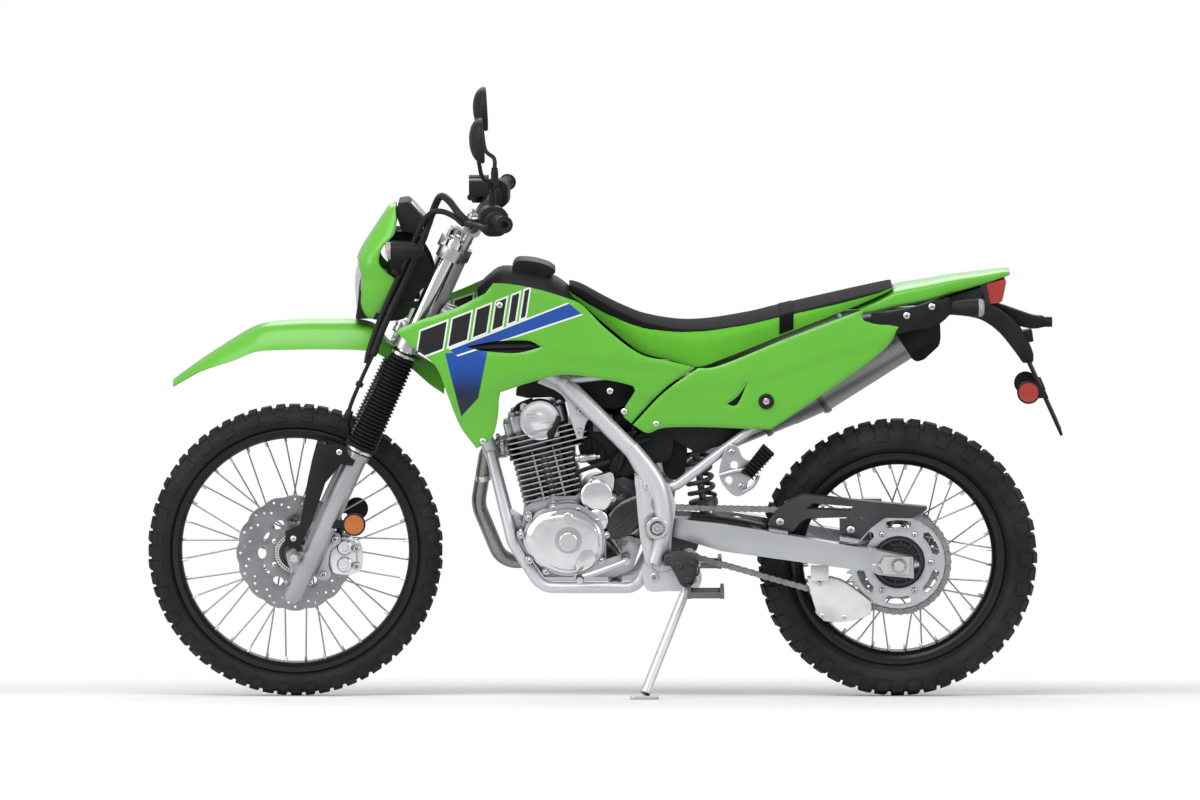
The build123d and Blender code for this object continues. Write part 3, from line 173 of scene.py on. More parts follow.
class Form:
    """A mesh in the making, in the upright frame: points, faces and each face's paint number."""

    def __init__(self):
        self.points, self.faces, self.paint = [], [], []

    def add(self, points, faces, paint=0):
        """Adds points and the faces between them, all of one paint."""
        base = len(self.points)
        self.points += [Vector(p) for p in points]
        self.faces += [tuple(base + i for i in f) for f in faces]
        self.paint += [paint] * len(faces)
        return self

    def join(self, other, place=None):
        """Adds another form, put at a place if one is given."""
        base = len(self.points)
        self.points += [place @ p for p in other.points] if place else other.points
        self.faces += [tuple(base + i for i in f) for f in other.faces]
        self.paint += other.paint
        return self

    def mirrored(self):
        """The form and its mirror image on the machine's other side."""
        twin = Form()
        twin.points = [Vector((p.x, -p.y, p.z)) for p in self.points]
        twin.faces = [tuple(reversed(f)) for f in self.faces]
        twin.paint = list(self.paint)
        return Form().join(self).join(twin)

    def grid(self, rows, wrap_rows=False, wrap_points=False, caps=False, paint=0):
        """Faces between rows of points of one length."""
        n, m = len(rows), len(rows[0])
        faces = []
        for i in range(n if wrap_rows else n - 1):
            for j in range(m if wrap_points else m - 1):
                a, b = i * m + j, i * m + (j + 1) % m
                c, d = ((i + 1) % n) * m + (j + 1) % m, ((i + 1) % n) * m + j
                faces.append((a, b, c, d))
        if caps:
            faces += [tuple(range(m - 1, -1, -1)), tuple((n - 1) * m + j for j in range(m))]
        return self.add([p for row in rows for p in row], faces, paint)

    def tube(self, path, radius, sides=14, step=0):
        """A round tube along a path; radius is a number or a function of the share of its length."""
        line = smooth_line(path, step) if step else [Vector(p) for p in path]
        run = [0.0]
        for a, b in zip(line, line[1:]):
            run.append(run[-1] + (b - a).length)
        rows = []
        side, over = square_to(line[1] - line[0])
        for i, p in enumerate(line):
            ahead = line[min(i + 1, len(line) - 1)] - line[max(i - 1, 0)]
            side = (side - ahead * side.dot(ahead) / ahead.length_squared).normalized()
            over = ahead.cross(side).normalized()
            r = radius(run[i] / run[-1]) if callable(radius) else radius
            rows.append([
                p + (side * cos(2 * pi * k / sides) + over * sin(2 * pi * k / sides)) * r
                for k in range(sides)
            ])
        return self.grid(rows, wrap_points=True, caps=True)

    def turned(self, profile, centre=(0, 0, 0), axis=(0, 1, 0), steps=64, paint=0):
        """A profile of (along, radius) turned about an axis; one that returns to its start is a ring."""
        centre, axis = Vector(centre), Vector(axis).normalized()
        side, over = square_to(axis)
        ring = profile[0] == profile[-1]
        line = profile[:-1] if ring else profile
        rows = []
        for k in range(steps):
            a = 2 * pi * k / steps
            out = side * cos(a) + over * sin(a)
            rows.append([centre + axis * s + out * max(r, 0.001) for s, r in line])
        return self.grid(rows, wrap_rows=True, wrap_points=ring, paint=paint)

    def spun(self, profile, *place, **options):
        """A solid turned from a profile of (along, radius), closed on its axis at both ends."""
        return self.turned([(profile[0][0], ON_AXIS), *profile, (profile[-1][0], ON_AXIS)], *place, **options)

    def slab(self, outline, y0, y1, rounding=0.0, paint=0):
        """A side-view outline of (x, z) from y0 to y1, with rounded rims."""
        bm = bmesh.new()
        face = bm.faces.new([bm.verts.new((x, y0, z)) for x, z in outline])
        grown = bmesh.ops.extrude_face_region(bm, geom=[face])["geom"]
        bmesh.ops.translate(
            bm, vec=(0, y1 - y0, 0), verts=[v for v in grown if isinstance(v, bmesh.types.BMVert)]
        )
        return self.rounded(bm, rounding, paint)

    def plate(self, points, y0, y1, rounding, step, sharp=()):
        """A slab whose outline is smooth through the points, but for the sharp ones."""
        return self.slab(outline_rows(points, step, sharp), y0, y1, rounding)

    def block(self, centre, size, rounding=0.0, turn=None, paint=0):
        """A box with rounded edges, turned about its own centre if turn is a matrix."""
        bm = bmesh.new()
        bmesh.ops.create_cube(bm, size=1.0)
        bmesh.ops.scale(bm, vec=size, verts=bm.verts)
        place = Matrix.Translation(centre)
        return self.rounded(bm, rounding, paint, place @ turn.to_4x4() if turn else place)

    def rounded(self, bm, rounding, paint=0, place=None):
        """Adds a bmesh with its sharp edges rounded, and frees it."""
        if rounding:
            sharp = [e for e in bm.edges if not e.is_manifold or e.calc_face_angle(0) > SHARP]
            bmesh.ops.bevel(
                bm, geom=sharp, offset=rounding, segments=2, profile=0.6, affect="EDGES", clamp_overlap=True
            )
        bmesh.ops.recalc_face_normals(bm, faces=bm.faces)
        bm.verts.index_update()
        points = [place @ v.co if place else v.co.copy() for v in bm.verts]
        self.add(points, [tuple(v.index for v in f.verts) for f in bm.faces], paint)
        bm.free()
        return self

    def shell(self, rows, thick):
        """A sheet through rows of points, with its thickness on the side away from their cross product."""
        n, m = len(rows), len(rows[0])
        back = []
        for i in range(n):
            for j in range(m):
                along = rows[min(i + 1, n - 1)][j] - rows[max(i - 1, 0)][j]
                across = rows[i][min(j + 1, m - 1)] - rows[i][max(j - 1, 0)]
                normal = along.cross(across)
                normal = normal.normalized() if normal.length > 1e-6 else Vector((0, 0, 1))
                back.append(rows[i][j] - normal * thick)
        base = n * m
        faces = []
        for i in range(n - 1):
            for j in range(m - 1):
                a = i * m + j
                faces += [
                    (a, a + 1, a + m + 1, a + m), (base + a, base + a + m, base + a + m + 1, base + a + 1)
                ]
        for j in range(m - 1):
            k = (n - 1) * m + j
            faces += [(j, base + j, base + j + 1, j + 1), (k, k + 1, base + k + 1, base + k)]
        for i in range(n - 1):
            a, b = i * m, i * m + m - 1
            faces += [(a, a + m, base + a + m, base + a), (b, base + b, base + b + m, b + m)]
        return self.add([p for row in rows for p in row] + back, faces)

    def panel(self, outline, surface, thick, cell=9.0, roll=3.0, holes=(), place=None):
        """A moulded skin: an outline of (a, b) on surface(a, b) -> c, thick inwards, its rims rolled in.

        place(a, b, c) gives the point: a side view by default, where a is x, b is z and c is y.
        """
        place = place or (lambda a, b, c: Vector((a, c, b)))
        loops = [[Vector(p) for p in loop] for loop in (outline, *holes)]
        rim = loops[0]
        spans = [(loop[i], loop[(i + 1) % len(loop)]) for loop in loops for i in range(len(loop))]
        low = [min(p[i] for p in rim) for i in (0, 1)]
        high = [max(p[i] for p in rim) for i in (0, 1)]

        def edge_gap(x, z):
            """The distance to the nearest rim."""
            best = 1e9
            for a, b in spans:
                ex, ez = b.x - a.x, b.y - a.y
                t = min(1.0, max(0.0, ((x - a.x) * ex + (z - a.y) * ez) / (ex * ex + ez * ez + 1e-9)))
                best = min(best, hypot(x - a.x - t * ex, z - a.y - t * ez))
            return best

        def held(q):
            """Whether a point is on the skin, and not in a hole."""
            return inside(q, rim) and not any(inside(q, loop) for loop in loops[1:])

        points = [p for loop in loops for p in loop]
        edges, start = [], 0
        for loop in loops:
            edges += [(start + i, start + (i + 1) % len(loop)) for i in range(len(loop))]
            start += len(loop)
        cols, rows = int((high[0] - low[0]) / cell) + 1, int((high[1] - low[1]) / cell) + 1
        for i in range(cols + 1):
            for j in range(rows + 1):
                q = Vector((low[0] + cell * (i + 0.5 * (j % 2)), low[1] + cell * j))
                if held(q) and edge_gap(*q) > cell * 0.45:
                    points.append(q)
        # a row of points near the rims rounds them evenly
        for loop in loops:
            for i in range(len(loop)):
                a, b = loop[i], loop[(i + 1) % len(loop)]
                way = b - a
                if way.length < 0.5:
                    continue
                side = Vector((-way.y, way.x)).normalized()
                for inset in (roll * 0.8, roll * 1.8):
                    for s in (1, -1):
                        q = (a + b) / 2 + side * inset * s
                        if held(q) and edge_gap(*q) > inset * 0.9:
                            points.append(q)
        flat, _, tris, *_ = delaunay_2d_cdt(points, edges, [], 0, 1e-4)
        tris = [t for t in tris if held((flat[t[0]] + flat[t[1]] + flat[t[2]]) / 3)]
        outer, back = [], []
        for q in flat:
            gap = edge_gap(q.x, q.y)
            drop = roll * (1 - eased(0, roll * 2.0, gap)) if roll else 0.0
            c = surface(q.x, q.y)
            outer.append(place(q.x, q.y, c - drop))
            back.append(place(q.x, q.y, c - max(thick, drop + 1.0)))
        m = len(outer)
        faces = [tuple(t) for t in tris] + [tuple(m + i for i in reversed(t)) for t in tris]
        used = {(a, b) for t in tris for a, b in zip(t, [*t[1:], t[0]])}
        faces += [(b, a, m + a, m + b) for a, b in used if (b, a) not in used]
        return self.add(outer + back, faces)


def inside(q, ring):
    """Whether a flat point is inside a ring of points."""
    hit = False
    for a, b in zip(ring, ring[1:] + ring[:1]):
        if (a.y > q.y) != (b.y > q.y) and q.x < (b.x - a.x) * (q.y - a.y) / (b.y - a.y) + a.x:
            hit = not hit
    return hit


def outline_of(points, sharp=(), step=8.0):
    """A closed side-view outline: smooth through the points, with true corners at the numbers in sharp."""
    n = len(points)
    corners = sorted(sharp)
    if not corners:
        return [Vector((p.x, p.y)) for p in smooth_line([(x, z, 0) for x, z in points], step, closed=True)]
    out = []
    for a, b in zip(corners, corners[1:] + [corners[0] + n]):
        run = [points[k % n] for k in range(a, b + 1)]
        out += [Vector((p.x, p.y)) for p in smooth_line([(x, z, 0) for x, z in run], step)[:-1]]
    return out


def outline_rows(points, step=9.0, sharp=()):
    """An outline for a slab, as pairs."""
    return [(p.x, p.y) for p in outline_of(points, sharp, step)]


# ---------------------------------------------------------------- pieces
def side_uv(p):
    """The side view, in metres."""
    return p.x / 1000, p.z / 1000


def wheel_uv(axle):
    """Turns round the axle, and the distance from it in metres."""
    def uv(p):
        return atan2(p.z - axle.z, p.x - axle.x) / (2 * pi), hypot(p.x - axle.x, p.z - axle.z) / 1000
    return uv


def placed(name, data):
    """A new object in the scene."""
    obj = bpy.data.objects.new(name, data)
    bpy.context.scene.collection.objects.link(obj)
    return obj


MERGE = 0.02              # points nearer than this are one
CREASE = 38               # edges above this angle, in degrees, stay sharp to the eye


def make(name, form, body, materials, hides=(), uv=side_uv, crease=CREASE):
    """The finished piece: a mesh in the row frame, riding on its body."""
    bm = bmesh.new()
    verts = [bm.verts.new(p) for p in form.points]
    for face, paint in zip(form.faces, form.paint):
        ring = []
        for i in face:
            if verts[i] not in ring:
                ring.append(verts[i])
        if len(ring) > 2:
            try:
                bm.faces.new(ring).material_index = paint
            except ValueError:
                pass
    bmesh.ops.remove_doubles(bm, verts=bm.verts, dist=MERGE)
    bmesh.ops.recalc_face_normals(bm, faces=bm.faces)
    layer = bm.loops.layers.uv.new("UVMap")
    for face in bm.faces:
        pairs = [uv(loop.vert.co) for loop in face.loops]
        wrap = uv is not side_uv and max(p[0] for p in pairs) - min(p[0] for p in pairs) > 0.5
        for loop, (u, v) in zip(face.loops, pairs):
            loop[layer].uv = (u + 1 if wrap and u < 0 else u, v)
    bm.transform(BIKE)
    mesh = bpy.data.meshes.new(name)
    bm.to_mesh(mesh)
    bm.free()
    for polygon in mesh.polygons:
        polygon.use_smooth = True
    mesh.set_sharp_from_angle(angle=radians(crease))
    obj = placed(name, mesh)
    for m in materials:
        mesh.materials.append(finish(m))
    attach(obj, body)
    if hides:
        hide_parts(*hides)
    return obj


def softened(node, body, material, width=1.2, uv=side_uv, extra=None):
    """A CAD node's own shape with its edges rounded, and anything extra joined to it."""
    data = frame["nodes"][node].data
    back = BIKE.inverted()
    bm = bmesh.new()
    verts = [bm.verts.new(back @ v.co) for v in data.vertices]
    for polygon in data.polygons:
        try:
            bm.faces.new([verts[i] for i in polygon.vertices])
        except ValueError:
            pass
    bmesh.ops.remove_doubles(bm, verts=bm.verts, dist=MERGE / 2)
    bmesh.ops.dissolve_limit(bm, angle_limit=radians(1.0), verts=bm.verts, edges=bm.edges)
    form = Form().rounded(bm, width)
    if extra:
        form.join(extra)
    materials = [material] if isinstance(material, str) else material
    return make(node + "_dressed", form, body, materials, [node], uv)


def dress(node, material):
    """A CAD node that stays in view takes a better material."""
    obj = frame["nodes"][node]
    obj.data.materials.clear()
    obj.data.materials.append(finish(material))


# ---------------------------------------------------------------- shader maths
NOISE_LOW, NOISE_HIGH = 0.3, 0.7     # most of a noise lies between these
SOFT_EDGE = 0.0004                   # half the width of a painted edge, metres


class Value:
    """A number in a shader: sums on values add Math nodes."""

    def __init__(self, net, socket):
        self.net, self.socket = net, socket

    def _sum(self, operation, a, b=None):
        terms = {i: t for i, t in enumerate((a, b)) if t is not None}
        return Value(self.net, self.net.node("ShaderNodeMath", {"operation": operation}, terms).outputs[0])

    def __add__(self, other): return self._sum("ADD", self, other)
    def __radd__(self, other): return self._sum("ADD", other, self)
    def __sub__(self, other): return self._sum("SUBTRACT", self, other)
    def __rsub__(self, other): return self._sum("SUBTRACT", other, self)
    def __mul__(self, other): return self._sum("MULTIPLY", self, other)
    def __rmul__(self, other): return self._sum("MULTIPLY", other, self)
    def sin(self): return self._sum("SINE", self)
    def least(self, other): return self._sum("MINIMUM", self, other)

    def ramp(self, low, high, to_low=0.0, to_high=1.0):
        """Smooth from to_low at low to to_high at high."""
        node = self.net.node(
            "ShaderNodeMapRange", {"interpolation_type": "SMOOTHSTEP"},
            {"Value": self, "From Min": low, "From Max": high, "To Min": to_low, "To Max": to_high},
        )
        return Value(self.net, node.outputs[0])

    def spread(self, to_low=0.0, to_high=1.0):
        """A noise drawn out over its usual reach, from to_low to to_high."""
        return self.ramp(NOISE_LOW, NOISE_HIGH, to_low, to_high)


class Net:
    """A node tree in the making."""

    def __init__(self, tree):
        self.tree = tree
        tree.nodes.clear()

    def node(self, kind, settings=None, sockets=None):
        """A node of that type, with its settings and then the values or links of its sockets."""
        node = self.tree.nodes.new(kind)
        for key, value in (settings or {}).items():
            setattr(node, key, value)
        for key, value in (sockets or {}).items():
            self.put(node.inputs[key], value)
        return node

    def put(self, socket, value):
        """Links a value to a socket, or sets a number or colour on it."""
        if isinstance(value, Value):
            value = value.socket
        if isinstance(value, bpy.types.NodeSocket):
            self.tree.links.new(value, socket)
        else:
            socket.default_value = value


class Finish(Net):
    """A material in the making: a Principled surface and the nodes that feed it."""

    def __init__(self, name):
        self.material = bpy.data.materials.new(name)
        self.material.use_nodes = True
        super().__init__(self.material.node_tree)
        self.surface = self.node("ShaderNodeBsdfPrincipled")
        self.out = self.node("ShaderNodeOutputMaterial", None, {0: self.surface.outputs[0]})

    def uv(self):
        """The piece's own map: side view, or turns and reach on a wheel."""
        parts = self.node("ShaderNodeSeparateXYZ", None, {0: self.node("ShaderNodeUVMap").outputs[0]}).outputs
        return Value(self, parts[0]), Value(self, parts[1])

    def place(self):
        """Object coordinates, in metres."""
        return self.node("ShaderNodeTexCoord").outputs["Object"]

    def stretched(self, x, y, z, source=None):
        """Coordinates scaled by x, y and z."""
        sockets = {"Vector": source or self.place(), "Scale": (x, y, z)}
        return self.node("ShaderNodeMapping", None, sockets).outputs[0]

    def noise(self, scale, detail=3.0, vector=None):
        """Soft clouds at a small scale, grain at a large one."""
        sockets = {"Vector": vector or self.place(), "Scale": scale, "Detail": detail}
        return Value(self, self.node("ShaderNodeTexNoise", None, sockets).outputs[0])

    def cells(self, scale):
        """The distance to the middle of the nearest cell."""
        sockets = {"Vector": self.place(), "Scale": scale}
        return Value(self, self.node("ShaderNodeTexVoronoi", None, sockets).outputs["Distance"])

    def wear(self):
        """1 on outward edges, 0 elsewhere."""
        return Value(self, self.node("ShaderNodeNewGeometry").outputs["Pointiness"]).ramp(0.52, 0.60)

    def painted_crevice_shade(self, reach=0.016):
        """Painted shade: 1 in open places, less in corners and gaps within reach, by ambient occlusion."""
        node = self.node("ShaderNodeAmbientOcclusion", {"samples": 8}, {"Distance": reach})
        return Value(self, node.outputs["AO"]).ramp(0.25, 0.95)

    def dull(self, level=0.2):
        """Less mirror-like at a glance, as grained plastic and rubber are."""
        self.surface.inputs["Specular IOR Level"].default_value = level

    def mix(self, share, a, b):
        """Colour a at share 0, b at 1."""
        node = self.node("ShaderNodeMix", {"data_type": "RGBA"}, {0: share})
        self.put(node.inputs[6], rgba(a))
        self.put(node.inputs[7], rgba(b))
        return node.outputs[2]

    def within(self, value, low, high):
        """1 where the value is between low and high."""
        above, past = (value.ramp(edge - SOFT_EDGE, edge + SOFT_EDGE) for edge in (low, high))
        return above * (1 - past)

    def inside_of(self, u, v, corners):
        """1 inside a convex side-view outline given in millimetres."""
        ring = list(corners)
        area = sum(a[0] * b[1] - b[0] * a[1] for a, b in zip(ring, ring[1:] + ring[:1]))
        best = None
        for (x0, z0), (x1, z1) in zip(ring, ring[1:] + ring[:1]):
            long = hypot(x1 - x0, z1 - z0) * (1 if area > 0 else -1)
            nx, nz = (z0 - z1) / long, (x1 - x0) / long
            gap = u * nx + v * nz - (x0 * nx + z0 * nz) / 1000
            best = gap if best is None else best.least(gap)
        return best.ramp(-SOFT_EDGE, SOFT_EDGE)

    def bump(self, height, strength, distance):
        """Fine relief, its distance in metres."""
        sockets = {"Height": height, "Strength": strength, "Distance": distance}
        self.put(self.surface.inputs["Normal"], self.node("ShaderNodeBump", None, sockets).outputs[0])

    def set(self, **sockets):
        """Sets or links sockets of the surface by their names, in lower case with underscores."""
        for key, value in sockets.items():
            self.put(self.surface.inputs[key.replace("_", " ").title()], rgba(value))


def rgba(colour):
    """A colour with its alpha; anything else as it is."""
    return (*colour, 1.0) if isinstance(colour, tuple) and len(colour) == 3 else colour


FINISHES = {}
BUILT = {}


def recipe(function):
    """Lists a function that fills in the finish of its own name."""
    FINISHES[function.__name__] = function
    return function


def finish(name):
    """The material of that name, made once."""
    if name not in BUILT:
        f = Finish(name)
        FINISHES[name](f)
        BUILT[name] = f.material
    return BUILT[name]


def colours():
    return bpy.context.scene.motorcycle_colours


def sizes():
    return bpy.context.scene.motorcycle_sizes


# ---------------------------------------------------------------- finishes
OFF_WHITE = (0.80, 0.81, 0.80)
BLUE = (0.010, 0.070, 0.34)


@recipe
def green_plastic(f):
    """Glossy moulded green with a faint orange-peel, softer patches and painted shade in its corners and
    gaps.
    """
    cloud = f.noise(2.2, 2.0)
    peel = f.noise(900.0, 2.0)
    green = tuple(colours().green)
    tone = f.mix(cloud.spread(), tuple(c * 0.96 for c in green), tuple(min(1, c * 1.03) for c in green))
    # painted shade: the green goes to half its brightness in corners and gaps
    f.set(base_color=f.mix(f.painted_crevice_shade(0.03), tuple(c * 0.5 for c in green), tone))
    f.set(roughness=cloud.spread(0.26, 0.32), metallic=0.0, coat_weight=0.2)
    f.surface.inputs["Coat Roughness"].default_value = 0.1
    f.dull(0.35)
    f.bump(peel, 0.05, 0.0004)


def clouded(f, scale, low, high, detail=3.0, shade=None, reach=0.016, metallic=0.0):
    """Cloudy between two tones, with painted shade in corners and gaps where a shade colour is given. Returns
    the clouds.
    """
    cloud = f.noise(scale, detail)
    tone = f.mix(cloud.spread(), low, high)
    f.set(base_color=f.mix(f.painted_crevice_shade(reach), shade, tone) if shade else tone, metallic=metallic)
    return cloud


@recipe
def black_plastic(f):
    """Fine-grained black mouldings."""
    cloud = clouded(f, 14.0, (0.008, 0.0085, 0.009), (0.015, 0.016, 0.017))
    f.set(roughness=cloud.spread(0.48, 0.62))
    f.dull(0.2)
    f.bump(f.cells(1500.0), 0.25, 0.0003)


@recipe
def gloss_black(f):
    """Black paint and glossy mouldings."""
    cloud = clouded(f, 20.0, (0.006, 0.006, 0.007), (0.010, 0.010, 0.011))
    f.set(roughness=cloud.spread(0.16, 0.26), coat_weight=0.3)
    f.dull(0.5)
    f.bump(f.noise(700.0, 2.0), 0.04, 0.0003)


@recipe
def tyre_rubber(f):
    """Matt rubber with fine rings on the sidewall, a dusty bloom and painted shade in its corners and gaps.
    """
    rings = (f.uv()[1] * 2600.0).sin() * 0.5
    bloom = f.noise(7.0, 5.0)
    fine = f.noise(500.0, 4.0)
    tone = f.mix(bloom.ramp(0.35, 0.75), (0.010, 0.010, 0.011), (0.022, 0.022, 0.023))
    # painted shade: near black where ambient occlusion finds corners and gaps
    f.set(base_color=f.mix(f.painted_crevice_shade(0.02), (0.003, 0.003, 0.003), tone))
    f.set(roughness=fine.spread(0.55, 0.78))
    f.dull(0.22)
    f.bump(fine * 0.6 + rings * 0.18, 0.35, 0.0006)


@recipe
def soft_rubber(f):
    """Fine-grained soft rubber of boots, hoses and pads, with painted shade in its folds and corners."""
    fine = f.noise(420.0, 4.0)
    tone = f.mix(fine.ramp(0.35, 0.7), (0.007, 0.007, 0.008), (0.014, 0.014, 0.015))
    # painted shade: near black in folds and corners
    f.set(base_color=f.mix(f.painted_crevice_shade(0.01), (0.002, 0.002, 0.002), tone))
    f.set(roughness=fine.spread(0.42, 0.58))
    f.dull(0.25)
    f.bump(fine, 0.2, 0.0004)


@recipe
def black_rim(f):
    """Satin black anodised, polished a little where tyre levers and brushes reach."""
    brush = f.noise(1.0, 4.0, f.stretched(900.0, 12.0, 1.0, f.node("ShaderNodeUVMap").outputs[0]))
    f.set(base_color=f.mix(f.wear(), (0.006, 0.006, 0.007), (0.02, 0.02, 0.021)))
    f.set(roughness=brush.spread(0.22, 0.34), metallic=0.3)
    f.dull(0.4)
    f.bump(brush, 0.03, 0.0002)


def metal(f, tone, rough, grain_scale, grain, spread=0.05):
    """Bare or clear-coated metal with a grain, a cloudy tone and painted shade in its corners and gaps."""
    cloud = f.noise(11.0, 4.0)
    fine = f.noise(grain_scale, 4.0)
    low = tuple(max(0, c - spread) for c in tone)
    # painted shade: a tenth of the tone where ambient occlusion finds corners and gaps
    shade = tuple(c * 0.10 for c in tone)
    f.set(base_color=f.mix(f.painted_crevice_shade(), shade, f.mix(cloud.ramp(0.3, 0.72), low, tone)), metallic=1.0)
    f.set(roughness=fine.ramp(0.25, 0.75, rough * 0.82, rough * 1.2))
    f.bump(fine, grain, 0.0005)


@recipe
def cast_alloy(f):
    """Bead-blasted casting."""
    metal(f, (0.50, 0.51, 0.53), 0.36, 650.0, 0.28)


@recipe
def silver_paint(f):
    """Silver paint on tube, with fine flake and painted shade in corners and gaps."""
    flake = f.cells(2600.0)
    cloud = f.noise(10.0, 3.0)
    tone = f.mix(flake.ramp(0.1, 0.6), (0.70, 0.71, 0.74), (0.57, 0.58, 0.61))
    # painted shade: dark grey where ambient occlusion finds corners and gaps
    f.set(base_color=f.mix(f.painted_crevice_shade(0.012), (0.14, 0.14, 0.15), tone), metallic=0.45)
    f.set(roughness=cloud.spread(0.32, 0.42), coat_weight=0.25)
    f.bump(f.noise(300.0, 2.0), 0.05, 0.0004)


TURNING = 9000.0          # angle of the fine turned rings for each metre of reach


@recipe
def machined_steel(f):
    """Turned and ground steel: fine rings about the axle, and painted shade in its corners and gaps."""
    cloud = clouded(f, 18.0, (0.24, 0.25, 0.26), (0.31, 0.32, 0.33), 4.0, (0.06, 0.06, 0.06), 0.006, 1.0)
    f.set(roughness=cloud.spread(0.26, 0.38))
    f.bump((f.uv()[1] * TURNING).sin(), 0.05, 0.0003)


@recipe
def sprocket_face(f):
    """Bright machined steel of the driven sprocket, with painted shade in its corners and gaps."""
    cloud = clouded(f, 16.0, (0.52, 0.53, 0.55), (0.62, 0.63, 0.65), 4.0, (0.10, 0.10, 0.10), 0.006, 0.9)
    f.set(roughness=cloud.spread(0.28, 0.40))
    f.bump((f.uv()[1] * TURNING).sin(), 0.05, 0.0003)


@recipe
def spoke_wire(f):
    """Drawn and plated wire."""
    metal(f, (0.36, 0.365, 0.375), 0.30, 900.0, 0.12)


@recipe
def polished_alloy(f):
    """Polished engine cover, a little cloudy, with painted shade in its corners and gaps."""
    cloud = clouded(f, 13.0, (0.68, 0.69, 0.71), (0.84, 0.85, 0.87), 4.0, (0.12, 0.12, 0.13), 0.01, 1.0)
    f.set(roughness=cloud.spread(0.20, 0.32))
    f.bump(f.noise(380.0, 3.0), 0.05, 0.0004)


@recipe
def dark_paint(f):
    """Satin dark grey coating on pressed steel, with painted shade in its corners and gaps."""
    cloud = clouded(
        f, 9.0, (0.034, 0.036, 0.039), (0.050, 0.053, 0.057), shade=(0.006, 0.006, 0.006),
        reach=0.012, metallic=0.3,
    )
    f.set(roughness=cloud.spread(0.36, 0.46))
    f.bump(f.noise(420.0, 4.0), 0.08, 0.0004)


@recipe
def zinc_steel(f):
    """Bright plated bolts and nuts."""
    metal(f, (0.66, 0.66, 0.66), 0.28, 900.0, 0.12)


@recipe
def dark_steel(f):
    """Dull, darkened steel."""
    metal(f, (0.20, 0.19, 0.18), 0.42, 800.0, 0.2)


@recipe
def header_steel(f):
    """Stainless pipe, cloudy between a brownish grey and plain grey."""
    fine = f.noise(500.0, 3.0)
    cloud = f.noise(6.0, 4.0)
    f.set(base_color=f.mix(cloud.ramp(0.35, 0.7), (0.27, 0.26, 0.25), (0.42, 0.42, 0.42)), metallic=1.0)
    f.set(roughness=fine.spread(0.24, 0.36))
    f.bump(fine, 0.06, 0.0003)


@recipe
def muffler_steel(f):
    """Brushed, bead-dulled can."""
    brush = f.noise(1.0, 4.0, f.stretched(60.0, 900.0, 900.0))
    clouded(f, 5.0, (0.30, 0.30, 0.305), (0.40, 0.40, 0.405), metallic=0.9)
    f.set(roughness=brush.spread(0.34, 0.50))
    f.bump(brush, 0.08, 0.0003)


@recipe
def chain_metal(f):
    """Oiled chain plates."""
    metal(f, (0.34, 0.34, 0.345), 0.36, 700.0, 0.15, 0.07)


@recipe
def silver_arm(f):
    """Smooth silver-finished alloy box section, lightly brushed, with painted shade in its corners and where
    other parts come near.
    """
    brush = f.noise(1.0, 3.0, f.stretched(14.0, 500.0, 500.0))
    clouded(
        f, 7.0, (0.46, 0.475, 0.50), (0.54, 0.555, 0.58), shade=(0.12, 0.12, 0.13), reach=0.03, metallic=0.85
    )
    f.set(roughness=brush.spread(0.30, 0.42))
    f.bump(brush, 0.05, 0.0003)


@recipe
def fork_slider(f):
    """Cast and painted fork leg."""
    clouded(f, 9.0, (0.36, 0.365, 0.38), (0.44, 0.445, 0.46), metallic=0.6)
    f.set(roughness=f.noise(60.0, 3.0).spread(0.28, 0.38), coat_weight=0.2)
    f.bump(f.noise(420.0, 3.0), 0.08, 0.0003)


@recipe
def chrome(f):
    """Hard chrome with faint streaks along the tube."""
    streak = f.noise(1.0, 3.0, f.stretched(300.0, 300.0, 8.0))
    f.set(base_color=(0.74, 0.74, 0.75), metallic=1.0, roughness=streak.spread(0.08, 0.16))
    f.bump(streak, 0.02, 0.0002)


def vinyl(f, tone):
    """Seat cover with a leather-like grain."""
    grain = f.cells(520.0)
    fine = f.noise(900.0, 3.0)
    clouded(f, 8.0, tuple(c * 0.9 for c in tone), tone)
    f.set(roughness=fine.spread(0.58, 0.70))
    f.dull(0.03)
    f.bump(grain * 0.8 + fine * 0.2, 0.22, 0.0005)


@recipe
def green_cover(f):
    """Green vinyl of the seat's sides."""
    vinyl(f, tuple(c * 0.95 for c in colours().green))


@recipe
def black_cover(f):
    """Black vinyl of the seat's top."""
    vinyl(f, (0.008, 0.008, 0.009))


@recipe
def spring_paint(f):
    """Charcoal powder coat of the spring."""
    cloud = clouded(f, 12.0, (0.030, 0.031, 0.034), (0.046, 0.047, 0.050))
    f.set(roughness=cloud.spread(0.34, 0.46), coat_weight=0.2)
    f.bump(f.noise(500.0, 2.0), 0.06, 0.0003)


@recipe
def white_plastic(f):
    """Milky polymer of the chain guide."""
    cloud = clouded(f, 16.0, (0.62, 0.63, 0.62), OFF_WHITE)
    f.set(roughness=cloud.spread(0.34, 0.48), alpha=cloud.spread(0.84, 0.9))
    f.bump(f.noise(300.0, 3.0), 0.1, 0.0004)


def lens(f, tone, clear):
    """Moulded lens with fine ribs inside."""
    parts = f.node("ShaderNodeSeparateXYZ", None, {0: f.place()}).outputs
    ribs = (Value(f, parts[2]) * 1200.0).sin() * 0.5 + (Value(f, parts[0]) * 1200.0).sin() * 0.5
    f.set(base_color=f.mix(ribs.ramp(-1.0, 1.0), tuple(c * 0.75 for c in tone), tone))
    f.set(roughness=f.noise(40.0).spread(0.06, 0.14), alpha=clear, coat_weight=0.5)
    f.bump(ribs, 0.25, 0.0004)


@recipe
def clear_lens(f):
    """Nearly colourless lens."""
    lens(f, (0.82, 0.84, 0.86), f.noise(30.0).spread(0.34, 0.42))


